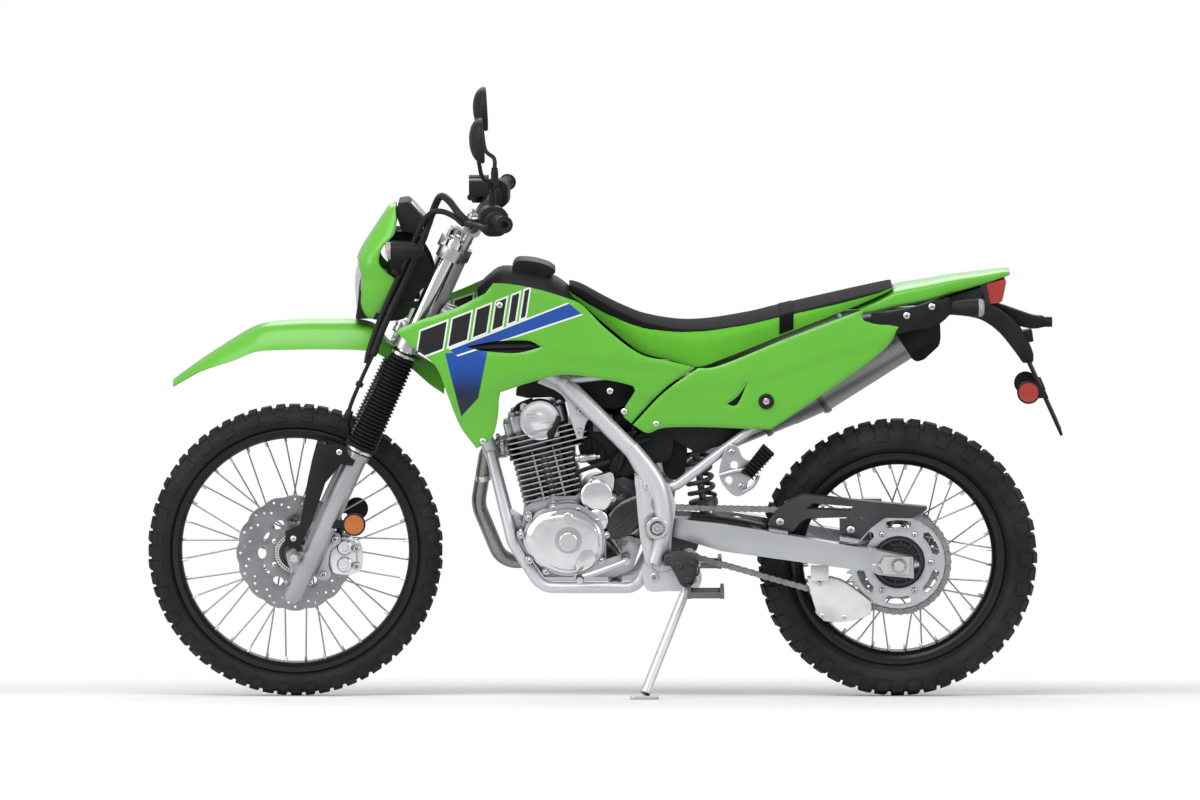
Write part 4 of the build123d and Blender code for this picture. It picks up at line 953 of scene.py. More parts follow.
@recipe
def orange_lens(f):
    """Amber lens, all but opaque."""
    lens(f, (0.52, 0.14, 0.02), f.noise(30.0).spread(0.96, 1.0))


@recipe
def red_lens(f):
    """Red lens, all but opaque."""
    lens(f, (0.44, 0.03, 0.022), f.noise(30.0).spread(0.96, 1.0))


@recipe
def bowl_silver(f):
    """Bright reflector of a lamp."""
    flutes = f.noise(90.0, 1.0)
    f.set(base_color=(0.80, 0.81, 0.82), metallic=1.0, roughness=flutes.spread(0.10, 0.2))
    f.bump(flutes, 0.2, 0.0006)


@recipe
def mirror_glass(f):
    """Silvered glass with a little haze."""
    haze = f.noise(12.0, 3.0)
    f.set(base_color=(0.78, 0.80, 0.82), metallic=1.0, roughness=haze.spread(0.03, 0.08))
    f.bump(haze, 0.01, 0.0002)


@recipe
def screen(f):
    """Grey display under its window."""
    lines = f.noise(70.0, 1.0)
    f.set(base_color=f.mix(lines.ramp(0.45, 0.55), (0.10, 0.115, 0.10), (0.14, 0.155, 0.135)))
    f.set(roughness=lines.spread(0.1, 0.18), coat_weight=0.6)
    f.bump(lines, 0.02, 0.0002)


BAND_FOOT = (1092.0, 826.0)
BAND_TILT = radians(19.9)
# where each bar starts and ends along the band, mm
BARS = ((12, 74), (88, 132), (146, 178), (192, 216), (230, 247), (260, 271))


@recipe
def tank_graphics(f):
    """The green moulding with slanted bars, a blue wedge and a stripe."""
    green_plastic(f)
    base = f.surface.inputs["Base Color"].links[0].from_socket
    u, v = f.uv()
    lean, across, foot = cos(BAND_TILT), sin(BAND_TILT), BAND_FOOT
    run = (foot[0] / 1000 - u) * lean + (v - foot[1] / 1000) * across
    rise = (v - foot[1] / 1000) * lean - (foot[0] / 1000 - u) * across
    wedge = f.inside_of(u, v, ((1022, 808), (926, 816), (948, 706), (986, 664)))
    # the blue darkens to nearly black towards the foot of the wedge
    deep = v.ramp(0.70, 0.79)
    blue = f.mix(deep, (0.006, 0.010, 0.030), BLUE)
    colour = f.mix(wedge, base, blue)
    along_band, spread = run + rise * 0.6, rise + run * 0.05
    for edge, paint in ((0.0035, OFF_WHITE), (0.0, BLUE)):
        stripe = f.within(rise, -1.0, -0.037 + edge) * f.within(spread, -0.049 - edge, 1.0)
        colour = f.mix(stripe * f.within(along_band, 0.05, 0.335), colour, paint)
    slant = run - rise * 0.55
    for a, b in BARS:
        plate = f.within(slant, (a - 4) / 1000, (b + 4) / 1000) * f.within(rise, -0.033, 0.029)
        ink = f.within(slant, a / 1000, b / 1000) * f.within(rise, -0.029, 0.025)
        colour = f.mix(plate, colour, OFF_WHITE)
        colour = f.mix(ink, colour, (0.010, 0.010, 0.012))
    f.put(f.surface.inputs["Base Color"], colour)


@recipe
def backdrop(f):
    """Pale floor that fades into the white surround away from the machine."""
    parts = f.node("ShaderNodeSeparateXYZ", None, {0: f.place()}).outputs
    x, y = Value(f, parts[0]), Value(f, parts[1])
    away = (x * x + y * y * 3.2).ramp(1.5, 9.0)
    f.set(base_color=(0.86, 0.86, 0.86), roughness=0.9)
    clear = f.node("ShaderNodeBsdfTransparent")
    blend = f.node("ShaderNodeMixShader", None, {0: away, 1: f.surface.outputs[0], 2: clear.outputs[0]})
    f.put(f.out.inputs[0], blend.outputs[0])


# ---------------------------------------------------------------- wheels
# radii of the tread, bead seat, flange and well; widths of tyre and rim; depth of the lugs; tread pitches
WheelSpec = namedtuple("WheelSpec", "axle r w lug bead flange well rim_w pitches body side")
FRONT = WheelSpec(FRONT_AXLE, 335.0, 76.0, 8.0, 266.0, 279.0, 257.0, 48.0, 32, "front_wheel", "front")
REAR = WheelSpec(REAR_AXLE, 318.0, 108.0, 10.0, 229.0, 243.0, 214.0, 62.0, 26, "rear_wheel", "rear")


def carcass(spec):
    """The tyre without its lugs: a full round section, turned."""
    half, base = spec.w / 2 * 0.97, spec.r - spec.lug
    seat = spec.rim_w / 2 - 5.3
    rise = base - spec.bead
    side = [
        (seat, spec.bead), (seat, spec.flange + 1), (seat + 5, spec.flange + 3),
        (half * 0.86, spec.bead + rise * 0.33), (half * 0.97, spec.bead + rise * 0.48),
        (half, spec.bead + rise * 0.60), (half * 0.95, spec.bead + rise * 0.74),
        (half * 0.80, spec.bead + rise * 0.87), (half * 0.52, spec.bead + rise * 0.97), (half * 0.2, base),
        (0, base),
    ]
    profile = side + [(-y, r) for y, r in side[-2::-1]]
    return Form().turned(profile + [profile[0]], spec.axle, steps=144)


def lug_block(spec, y0, y1, length, skew=0.0, ahead=0.0):
    """One tread block standing out of the carcass, between two places across it, tapering to its top."""
    half, base = spec.w / 2, spec.r - spec.lug
    rise = base - spec.bead

    def crown(y, top):
        """The radius of a block's root or top at y."""
        share = abs(y) / half
        inner = base - rise * 0.42 * max(0.0, share - 0.1) ** 2.1 - 3.0
        return inner + (spec.lug + 3.0) * (1.0 - 0.12 * share) if top else inner

    form = Form()
    rows = []
    for top, grow in ((False, 1.5), (True, -0.6)):
        ring = []
        for y, a in ((y0, -1), (y1, -1), (y1, 1), (y0, 1)):
            middle = (y0 + y1) / 2
            yy = y + (grow if y > middle else -grow)
            r = crown(yy, top)
            x = ahead + skew * (y - middle) + a * (length / 2 + grow)
            ring.append(Vector((x, yy, sqrt(max(1.0, r * r - x * x)))))
        rows.append(ring)
    form.grid(rows, wrap_points=True, caps=True)
    return form


def tread_unit(spec):
    """The blocks of one tread pitch: a centre pair, then the shoulder blocks and side knobs."""
    half = spec.w / 2
    pitch = 2 * pi * spec.r / spec.pitches
    unit = Form()
    wide = 0.62 if spec.side == "rear" else 0.56
    unit.join(lug_block(spec, -half * 0.36, half * 0.36, pitch * 0.36))
    for s in (1, -1):
        a, b = sorted((s * half * 0.44, s * half * 0.80))
        unit.join(lug_block(spec, a, b, pitch * 0.34, skew=-0.18 * s, ahead=pitch * 0.02))
        a, b = sorted((s * half * 0.07, s * half * wide))
        unit.join(lug_block(spec, a, b, pitch * 0.30, skew=0.16 * s, ahead=pitch * 0.5))
        a, b = sorted((s * half * 0.72, s * half * 1.0))
        unit.join(lug_block(spec, a, b, pitch * 0.36, ahead=pitch * 0.5))
    return unit


def ring_places(axle, count):
    """Places round an axle, turned about it."""
    return [Matrix.Translation(axle) @ Matrix.Rotation(2 * pi * k / count, 4, "Y") for k in range(count)]


def repeated(unit, places):
    """The unit at each place, by Geometry Nodes, as a Form in the upright frame."""
    mesh = bpy.data.meshes.new("unit")
    mesh.from_pydata([tuple(p) for p in unit.points], [], unit.faces)
    source = placed("unit", mesh)
    points = bpy.data.meshes.new("places")
    points.from_pydata([tuple(m.translation) for m in places], [], [])
    turn = points.attributes.new("turn", "FLOAT_VECTOR", "POINT")
    turn.data.foreach_set("vector", [c for m in places for c in m.to_euler()])
    holder = placed("places", points)
    modifier = holder.modifiers.new("Repeat", "NODES")
    modifier.node_group = repeat_tree()
    sockets = {s.name: s.identifier for s in modifier.node_group.interface.items_tree if s.in_out == "INPUT"}
    for name, value in (("Unit", source), ("Finish", finish("black_plastic")), ("Scale", 1.0)):
        modifier[sockets[name]] = value
    result = bpy.data.meshes.new_from_object(holder.evaluated_get(bpy.context.evaluated_depsgraph_get()))
    form = Form().add([v.co for v in result.vertices], [tuple(p.vertices) for p in result.polygons])
    form.paint = unit.paint * len(places)
    for obj in (holder, source):
        bpy.data.objects.remove(obj)
    return form


TREES = {}


def repeat_tree():
    """Geometry Nodes: the unit on every point, turned by the point's own angles."""
    if "repeat" in TREES:
        return TREES["repeat"]
    tree = bpy.data.node_groups.new("repeat_at_places", "GeometryNodeTree")
    for name, kind in (
        ("Places", "Geometry"), ("Unit", "Object"), ("Finish", "Material"), ("Scale", "Float")
    ):
        tree.interface.new_socket(name, in_out="INPUT", socket_type="NodeSocket" + kind)
    tree.interface.new_socket("Geometry", in_out="OUTPUT", socket_type="NodeSocketGeometry")
    net = Net(tree)
    start = net.node("NodeGroupInput").outputs
    turn = net.node("GeometryNodeInputNamedAttribute", {"data_type": "FLOAT_VECTOR"}, {"Name": "turn"})
    spin = net.node("FunctionNodeEulerToRotation", None, {0: turn.outputs["Attribute"]})
    unit = net.node("GeometryNodeObjectInfo", None, {"Object": start["Unit"]})
    sockets = {
        "Points": start["Places"], "Instance": unit.outputs["Geometry"], "Rotation": spin.outputs[0],
        "Scale": start["Scale"],
    }
    copies = net.node("GeometryNodeInstanceOnPoints", None, sockets)
    real = net.node("GeometryNodeRealizeInstances", None, {0: copies.outputs[0]})
    sockets = {"Geometry": real.outputs[0], "Material": start["Finish"]}
    net.node("NodeGroupOutput", None, {0: net.node("GeometryNodeSetMaterial", None, sockets).outputs[0]})
    TREES["repeat"] = tree
    return tree


def build_tyre(spec):
    """Carcass and tread blocks."""
    form = carcass(spec)
    form.join(repeated(tread_unit(spec), ring_places(spec.axle, spec.pitches)))
    make(
        spec.side + "_tyre_rubber", form, spec.body, ["tyre_rubber"], [spec.side + "_tyre"],
        uv=wheel_uv(spec.axle), crease=30,
    )


def build_rim(spec):
    """A drop-centre rim, its section turned."""
    w, r = spec.rim_w / 2, spec.flange
    profile = [
        (w - 1, spec.bead), (w, r - 2), (w - 1.2, r), (w - 3.8, r), (w - 5, r - 2), (w - 5, spec.bead),
        (w * 0.7, spec.bead - 3), (w * 0.5, spec.well + 5), (-w * 0.5, spec.well + 5),
        (-w * 0.7, spec.bead - 3), (-w + 5, spec.bead), (-w + 5, r - 2), (-w + 3.8, r), (-w + 1.2, r),
        (-w, r - 2), (-w + 1, spec.bead), (-w * 0.62, spec.well + 2), (-w * 0.4, spec.well),
        (w * 0.4, spec.well), (w * 0.62, spec.well + 2), (w - 1, spec.bead),
    ]
    form = Form().turned(profile, spec.axle, steps=144)
    make(
        spec.side + "_rim_shell", form, spec.body, ["black_rim"], [spec.side + "_rim"],
        uv=wheel_uv(spec.axle)
    )


def ring_of(centre, count, radius, start=0.0):
    """Points of (x, z) spread round a centre, with their angles."""
    return [
        (centre[0] + radius * cos(a), centre[1] + radius * sin(a), a)
        for a in (2 * pi * (k + start) / count for k in range(count))
    ]


def round_hole(x, z, r, steps=12):
    """A round outline."""
    return [Vector((x + r * cos(2 * pi * k / steps), z + r * sin(2 * pi * k / steps))) for k in range(steps)]


def oval_hole(x, z, angle, long, wide, steps=14):
    """A window, long across the direction given by its angle."""
    points = []
    for k in range(steps):
        a = 2 * pi * k / steps
        u, v = wide * cos(a), long * sin(a)
        points.append(Vector((x + u * cos(angle) - v * sin(angle), z + u * sin(angle) + v * cos(angle))))
    return points


FRONT_DISC_Y, REAR_DISC_Y = 48.0, -74.0


def build_disc(side, axle, radius, lobes, y, body, inner):
    """A drilled petal disc, its outer face at y and 4 mm thick."""
    cx, cz = axle.x, axle.z
    rim = []
    for k in range(lobes * 12):
        a = 2 * pi * k / (lobes * 12)
        r = radius - 3.4 * abs(sin(a * lobes / 2)) ** 5
        rim.append(Vector((cx + r * cos(a), cz + r * sin(a))))
    holes = [round_hole(cx, cz, inner, 60)]
    for count, reach, start in (
        (lobes, radius - 9, 0.0), (lobes, radius - 18, 0.33), (lobes, radius - 27, 0.66)
    ):
        holes += [round_hole(x, z, 2.9, 10) for x, z, _ in ring_of((cx, cz), count, reach, start)]
    middle = (radius - 38 + inner + 8) / 2
    for k, (x, z, a) in enumerate(ring_of((cx, cz), 12, middle)):
        holes.append(oval_hole(x, z, a, 12 if k % 2 else 13.5, 4.2 if k % 2 else 9.5))
    form = Form().panel(rim, lambda u, v: y, 4.0, 12.0, 0.35, holes=holes)
    make(side + "_brake_disc", form, body, ["machined_steel"], [side + "_disc"], wheel_uv(axle))
    places = [at(x, y, z) for x, z, _ in ring_of((cx, cz), 6, inner + 7, 0.5)]
    make(
        side + "_disc_bolts", repeated(dome_bolt(6.5, 4.0, 12), places), body, ["zinc_steel"],
        uv=wheel_uv(axle)
    )


def build_sensor_ring(y):
    """The slotted wheel-sensor ring and the dark plate that carries it, inside the front disc."""
    cx, cz = FRONT_AXLE.x, FRONT_AXLE.z
    slots = [oval_hole(x, z, a, 1.1, 2.9, 8) for x, z, a in ring_of((cx, cz), 44, 40.6)]
    ring = Form().panel(
        round_hole(cx, cz, 45.2, 88), lambda u, v: y + 1.5, 2.0, 9.0, 0.2,
        holes=[round_hole(cx, cz, 36.0, 72), *slots],
    )
    make("sensor_ring", ring, "front_wheel", ["zinc_steel"], uv=wheel_uv(FRONT_AXLE))
    plate = Form().panel(
        round_hole(cx, cz, 45.6, 72), lambda u, v: y - 0.6, 3.0, 12.0, 0.3,
        holes=[round_hole(cx, cz, 26.5, 48)],
    )
    make("sensor_plate", plate, "front_wheel", ["dark_paint"], uv=wheel_uv(FRONT_AXLE))


def build_sprocket():
    """The driven sprocket: a toothed ring with windows on a dark carrier."""
    cx, cz = REAR_AXLE.x, REAR_AXLE.z
    teeth = TEETH[1]
    pitch_r = CHAIN_PITCH / 2 / sin(pi / teeth)
    rim = []
    for k in range(teeth):
        for share, r in (
            (0.0, -5.2), (0.16, -4.4), (0.33, 0.5), (0.44, 5.4), (0.56, 5.4), (0.67, 0.5), (0.84, -4.4)
        ):
            a = 2 * pi * (k + share) / teeth
            rim.append(Vector((cx + (pitch_r + r) * cos(a), cz + (pitch_r + r) * sin(a))))
    holes = [round_hole(cx, cz, 60, 60)]
    for x, z, a in ring_of((cx, cz), 6, 1, 0.5):
        arc = [
            *((96.5, k) for k in (-0.29, -0.15, 0, 0.15, 0.29)), (88, 0.34),
            *((79.5, k) for k in (0.28, 0.14, 0, -0.14, -0.28)), (88, -0.34),
        ]
        holes.append([Vector((cx + r * cos(a + k), cz + r * sin(a + k))) for r, k in arc])
    form = Form().panel(rim, lambda u, v: 76.5, 7.0, 11.0, 0.6, holes=holes)
    make(
        "driven_sprocket", form, "rear_wheel", ["sprocket_face"], ["rear_sprocket"],
        wheel_uv(REAR_AXLE)
    )
    arms = ring_of((cx, cz), 6, 74)
    places = [at(x, 76.5, z) for x, z, _ in arms]
    make(
        "sprocket_nuts", repeated(dome_bolt(7.0, 5.0, 6), places), "rear_wheel",
        ["zinc_steel"],
        uv=wheel_uv(REAR_AXLE)
    )
    carrier = Form().turned(
        [
            (58, 22), (58, 66), (69.4, 66), (69.4, 56), (72, 50), (66, 44), (66, 34), (76, 30), (76, 22),
            (58, 22)
        ],
        (cx, 0, cz), steps=72
    )
    for x, z, a in arms:
        lug = Form().block((0, 63.5, 0), (26, 11.8, 20), 3.0)
        carrier.join(lug, Matrix.Translation((x, 0, z)) @ Matrix.Rotation(-a, 4, "Y"))
    for x, z, a in ring_of((cx, cz), 12, 43, 0.25):
        rib = Form().block((0, 68, 0), (22, 5, 4.5), 1.2)
        carrier.join(rib, Matrix.Translation((x, 0, z)) @ Matrix.Rotation(-a, 4, "Y"))
    make("sprocket_carrier", carrier, "rear_wheel", ["dark_paint"], uv=wheel_uv(REAR_AXLE))


SPOKES = 36


def build_wheel_metal(spec):
    """Nipples on the rim, the hub and the spokes."""
    nipple = Form().spun([(0, 3.4), (9, 3.2), (13, 2.0)], axis=(0, 0, -1), steps=8)
    places = []
    for k in range(SPOKES):
        around = Matrix.Rotation(2 * pi * (k + 0.5) / SPOKES, 4, "Y")
        side = 8.0 if k % 2 else -8.0
        places.append(Matrix.Translation(spec.axle) @ around @ Matrix.Translation((0, side, spec.well + 1)))
    form = repeated(nipple, places)
    make(spec.side + "_nipples", form, spec.body, ["zinc_steel"], uv=wheel_uv(spec.axle))
    softened(spec.side + "_hub", spec.body, "dark_paint", 1.0, wheel_uv(spec.axle))
    dress(spec.side + "_spokes", "spoke_wire")


def dome_bolt(r, height=3.0, steps=14):
    """A domed screw head, standing out along its own Y."""
    return Form().turned([
        (-2.0, 0.1), (-2.0, r), (height * 0.35, r), (height * 0.85, r * 0.72), (height, r * 0.42),
        (height * 0.55, r * 0.38), (height * 0.5, 0.1),
    ], steps=steps)


def at(x, y, z):
    return Matrix.Translation((x, y, z))


def polar(centre, reach, degrees):
    """The (x, z) at that reach and angle from a centre."""
    return centre[0] + reach * cos(radians(degrees)), centre[1] + reach * sin(radians(degrees))


# turned half round, to stand out to the right
FLIP = Matrix.Rotation(pi, 4, "X")


# ---------------------------------------------------------------- bodywork
# half widths of the side covers and of the shrouds: rows of (z, widths) at the stations along X that follow
SIDE = moulded([
    (600, (96, 103, 107, 111, 115)), (700, (101, 108, 113, 117, 119)), (800, (99, 105, 111, 115, 116)),
    (910, (92, 98, 104, 106, 106)),
], (-20, 120, 300, 450, 620))
FLANK = moulded([
    (580, (104, 108, 118, 142, 160, 176)), (650, (110, 116, 130, 152, 168, 182)),
    (720, (114, 122, 140, 164, 178, 188)), (790, (112, 120, 136, 160, 176, 190)),
    (860, (106, 112, 122, 142, 160, 182)), (970, (88, 92, 98, 110, 140, 166)),
], (440, 600, 720, 850, 960, 1150))
SHROUD_RIM = [
    (1133, 859), (1092, 821), (1043, 779), (1016, 712), (989, 642), (952, 589), (918, 612), (904, 661),
    (901, 717), (831, 739), (752, 755), (650, 739), (599, 725), (595, 715), (623, 664), (604, 640),
    (532, 717), (460, 767), (521, 783), (585, 799), (660, 855), (715, 909), (748, 924), (808, 943),
    (873, 957), (914, 961), (932, 939), (1008, 904), (1085, 880),
]
SHROUD_CORNERS = (0, 5, 8, 13, 15, 17, 25, 26)
VENT = [(975, 822), (918, 832), (865, 834), (831, 832), (806, 818), (862, 806), (935, 812)]
PANEL_RIM = [
    (83, 875), (78, 898), (245, 836), (402, 773), (454, 766), (528, 713), (600, 637), (567, 618), (530, 630),
    (437, 631), (344, 627), (289, 625), (203, 684), (42, 799), (2, 857),
]
PANEL_CORNERS = (1, 4, 6, 11, 14)
SLOT = [(388, 684), (364, 702), (343, 731), (366, 682)]


def crease(x, z, line, depth, width):
    """How far a moulded step along a line of (x, z) stands out: depth above the line, 0 below it."""
    return depth * eased(-width, width, z - curve_at(line, x))


def shroud_surface(x, z):
    """Half width of a shroud, with its two moulded steps."""
    upper = crease(x, z, [(440, 760), (600, 770), (760, 800), (900, 842), (1000, 836), (1140, 800)], 5.0, 12)
    lower = crease(x, z, [(600, 700), (760, 742), (880, 742), (960, 700), (1140, 640)], 3.5, 10)
    return FLANK(x, z) - 5.0 + upper * 0.8 + lower


def side_surface(x, z):
    """Half width of a side cover, with its fold."""
    return SIDE(x, z) - 2.5 + crease(x, z, [(0, 830), (160, 790), (300, 742), (440, 722), (620, 700)], 3.0, 9)


def build_bodywork():
    """Tank shrouds, side covers and what shows behind and on them."""
    shroud = Form().panel(
        outline_of(SHROUD_RIM, SHROUD_CORNERS, 9), shroud_surface, 3.4, 9, 3.2,
        holes=[outline_of(VENT, (0, 4), 8)]
    )
    make("shroud_panels", shroud.mirrored(), "frame", ["tank_graphics"], ["tank_shrouds"])
    louvre = Form().panel(
        outline_of([(1000, 815), (918, 846), (800, 842), (790, 812), (862, 792), (960, 800)], (), 9),
        lambda x, z: shroud_surface(x, z) - 12.0 + 3.0 * sin(z / 2.2), 3.0, 5, 0,
    )
    make("shroud_louvres", louvre.mirrored(), "frame", ["black_plastic"])
    panel = Form().panel(
        outline_of(PANEL_RIM, PANEL_CORNERS, 9), side_surface, 3.4, 9, 3.0,
        holes=[outline_of(SLOT, (0, 2), 7)]
    )
    make("side_covers", panel.mirrored(), "frame", ["green_plastic"], ["side_panels"])
    behind = Form().panel(
        [(400, 674), (340, 674), (330, 742), (392, 716)], lambda x, z: side_surface(x, z) - 10.0, 3.0, 8, 0
    )
    make("side_cover_backs", behind.mirrored(), "frame", ["black_plastic"])
    # grommet and fixings
    x, z, r = 300, 690, 17.5
    ring = [(0, r), (3.4, r - 2.5), (3.4, r - 6.5), (-1.0, r - 8.5), (-6.0, r - 8.5), (-6.0, r), (0, r)]
    grommet = Form().turned(ring, (x, side_surface(x, z) + 1.5, z), steps=36)
    fixings = Form()
    for x, z, r, high, out, surface in (
        (x, z, 8.5, 2.5, 0.5, side_surface), (900, 913, 7.0, 3.0, 1.0, shroud_surface),
        (938, 606, 7.0, 3.0, 1.0, shroud_surface), (652, 716, 7.0, 3.0, 1.0, shroud_surface),
        (620, 668, 7.0, 3.0, 1.0, shroud_surface), (548, 640, 6.5, 3.0, 1.0, side_surface),
    ):
        fixings.join(dome_bolt(r, high), at(x, surface(x, z) + out, z))
    make("cover_grommets", grommet.mirrored(), "frame", ["soft_rubber"])
    make("cover_fixings", fixings.mirrored(), "frame", ["zinc_steel"])


def oval_rows(table, step, sides, power):
    """Rings round a body from rows of (x, half width, bottom z, top z), squarer with a greater power."""
    xs = [row[0] for row in table]
    low, high = min(xs), max(xs)
    count = max(2, int((high - low) / step))
    columns = [[(row[0], row[k]) for row in table] for k in (1, 2, 3)]
    rows = []
    for i in range(count + 1):
        x = high + (low - high) * i / count
        half, bottom, top = (curve_at(c, x) for c in columns)
        middle, tall = (bottom + top) / 2, (top - bottom) / 2
        ring = []
        for k in range(sides):
            a = 2 * pi * k / sides
            c, q = (abs(n) ** (2 / power) * (1 if n > 0 else -1) for n in (cos(a), sin(a)))
            ring.append(Vector((x, half * c, middle + tall * q)))
        rows.append(ring)
    return rows


TANK_ROWS = [
    (951, 50, 880, 940), (925, 68, 866, 964), (896, 82, 852, 982), (831, 90, 810, 975), (780, 90, 790, 962),
    (745, 84, 768, 938), (690, 80, 768, 880), (640, 74, 772, 836), (600, 62, 780, 800),
]


def build_tank():
    """The tank between the shrouds, and its cap under a cover."""
    tank = Form().grid(oval_rows(TANK_ROWS, 11, 56, 3.0), wrap_points=True, caps=True)
    make("tank_shell", tank, "frame", ["black_plastic"], ["fuel_tank"])
    lid = Form().plate(
        [(870, 990), (858, 1001), (822, 999), (787, 988), (776, 972), (820, 962), (868, 972)], -43, 43, 6.0, 7
    )
    lid.block((822, 0, 992.5), (52, 58, 8), 3.0, Matrix.Rotation(radians(-9), 3, "Y"))
    make("fuel_cap", lid, "frame", ["black_plastic"])


# rows of (x, value) along the seat: its top, bottom and half width, and how far the black top comes down
SEAT_LINES = {
    "top": [
        (744, 951), (715, 941), (669, 916), (623, 893), (576, 874), (502, 860), (437, 860), (344, 874),
        (270, 891), (141, 919), (60, 937), (16, 946)
    ],
    "bottom": [
        (744, 925), (715, 905), (660, 858), (585, 802), (520, 784), (456, 768), (402, 785), (245, 848),
        (89, 908), (16, 938)
    ],
    "half": [
        (744, 58), (700, 70), (663, 78), (585, 96), (500, 108), (402, 115), (245, 113), (150, 106), (89, 97),
        (16, 78)
    ],
    "band": [(744, 20), (700, 26), (600, 20), (500, 12), (402, 10), (245, 9), (120, 8), (16, 5)],
}


SEAT_FRONT, SEAT_BACK = 744, 16
SECTION_POINTS = 90
BAND_POINTS, FLANK_POINTS = 16, 12   # of a section, above and below its seam
CROWN_END, SHOULDER_END = 0.5, 0.78  # shares of a section's points


def seat_half(x):
    """Points of a seat section from the centre of its top down its side, crowned and rounded."""
    top, low, half = (curve_at(SEAT_LINES[k], x) for k in ("top", "bottom", "half"))
    tall = top - low
    flat, drop = half * 0.74, 0.10 * min(tall, 60)
    points = []
    for k in range(SECTION_POINTS + 1):
        t = k / SECTION_POINTS
        if t < CROWN_END:
            y = flat * t / CROWN_END
            points.append((y, top - drop * (y / flat) ** 2))
        elif t < SHOULDER_END:
            a = (t - CROWN_END) / 0.28 * pi / 2
            points.append((flat + (half - flat) * sin(a), top - drop - (tall * 0.42 - drop) * (1 - cos(a))))
        else:
            a = (t - SHOULDER_END) / 0.22
            points.append((half - half * 0.05 * a * a, top - tall * 0.42 - tall * 0.58 * a))
    return points


def along(points, low, high, count):
    """Points evenly spread along part of a line, between two shares of its length."""
    run = lengths(points)
    out = []
    for k in range(count + 1):
        want = (low + (high - low) * k / count) * run[-1]
        i = max(j for j in range(len(run)) if run[j] <= want + 1e-9)
        i = min(i, len(run) - 2)
        t = (want - run[i]) / max(1e-9, run[i + 1] - run[i])
        out.append(tuple(a + (b - a) * t for a, b in zip(points[i], points[i + 1])))
    return out


def seat_section(x):
    """Half a seat section, split at the band's lower edge by a sewn groove."""
    half = seat_half(x)
    edge = half[0][1] - curve_at(SEAT_LINES["band"], x)
    run = lengths(half)
    cutoff = next(
        (run[i] for i in range(len(half)) if half[i][1] < edge and half[i][0] > 30), run[-1] * 0.6
    ) / run[-1]
    cutoff = min(0.9, max(0.3, cutoff))
    upper = along(half, 0, cutoff, BAND_POINTS)
    lower = along(half, cutoff, 1, FLANK_POINTS)
    seam = upper[-1]
    groove = (seam[0] - 1.6, seam[1] - 0.6)
    line = upper[:-1] + [(seam[0] + 0.2, seam[1] + 0.8), groove, (seam[0] + 0.3, seam[1] - 1.4)] + lower[1:]
    return [Vector((x, y, z)) for y, z in line]


def both_halves(half):
    """A line across the machine, from its left half."""
    return [Vector((p.x, -p.y, p.z)) for p in half[:0:-1]] + half


def build_seat():
    """The cushion, black above its seam and green below, and the passenger's strap."""
    rows = []
    for k in range(93):
        x = SEAT_FRONT - (SEAT_FRONT - SEAT_BACK) * k / 92
        half = seat_section(x)
        # the ends round over
        near = min(1.0, (SEAT_FRONT - x + 1) / 16, (x - SEAT_BACK + 1) / 16)
        squeeze = 1 - 0.22 * (1 - sqrt(max(0.0, 1 - (1 - near) ** 2)))
        mid = sum(p.z for p in half) / len(half)
        half = [Vector((p.x, p.y * squeeze, mid + (p.z - mid) * squeeze)) for p in half]
        rows.append(both_halves(half))
    n = len(rows[0])
    form = Form().grid(rows, wrap_points=True, caps=True)
    middle = n // 2
    for k in range(len(form.faces) - 2):
        form.paint[k] = 0 if middle - BAND_POINTS - 1 <= k % n <= middle + BAND_POINTS else 1
    form.paint[-1] = form.paint[-2] = 1
    seat = make(
        "seat_cushion", form, "frame", ["black_cover", "green_cover"], ["seat"], crease=60
    )
    # passenger strap
    strap = []
    for x, lift in ((271, 0.2), (269, 3.0), (241, 3.0), (239, 0.2)):
        pts = [Vector((x, y, z)) for y, z in along(seat_half(x), 0, 0.97, 26)]
        centre = Vector((x, 0, pts[0].z - 40))
        pts = [p + (p - centre).normalized() * lift for p in pts]
        strap.append(both_halves(pts))
    make("seat_strap", Form().shell(strap, -1.6), "frame", ["black_cover"], crease=50)


TAIL_ROWS = [
    (90, 86, 880, 902), (50, 85, 886, 918), (10, 81, 894, 937), (-60, 74, 908, 950), (-120, 66, 926, 961),
    (-190, 54, 946, 970), (-240, 42, 962, 977), (-250, 36, 966, 976),
]


def build_tail():
    """The tail above the rear wheel."""
    tail = Form().grid(oval_rows(TAIL_ROWS, 9, 48, 4.2), wrap_points=True, caps=True)
    make("tail_shell", tail, "frame", ["green_plastic"], ["tail_cowl"])


# rows of (x, ridge z, edge z, half width), from the nose back
FENDER_ROWS = [
    (1639, 722, 714, 22), (1610, 744, 732, 33), (1575, 769, 752, 42), (1503, 816, 778, 56),
    (1452, 845, 799, 65), (1401, 857, 804, 70), (1285, 861, 806, 72), (1190, 853, 800, 66),
    (1152, 812, 780, 56), (1100, 786, 757, 54), (1060, 762, 722, 54), (1026, 734, 698, 50),
]


def build_fender():
    """The high front mudguard, with a ridge along its back half."""
    columns = [[(row[0], row[k]) for row in FENDER_ROWS] for k in (1, 2, 3)]
    rows = []
    for i in range(101):
        x = 1638 - (1638 - 1027) * i / 100
        top, edge, half = (curve_at(c, x) for c in columns)
        swell = eased(1040, 1240, x)
        line = []
        for k in range(33):
            t = -1 + k / 16
            ridge = 3.0 * max(0.0, 1 - abs(t) * 4.0) * swell
            z = top - (top - edge) * (0.16 * t * t + 0.84 * abs(t) ** 5.0) + ridge - 3.0 * swell
            line.append(Vector((x, half * t, z)))
        rows.append(line)
    make(
        "front_mudguard", Form().shell(rows, 3.2), "steering", ["green_plastic"],
        ["front_fender"],
        crease=50
    )


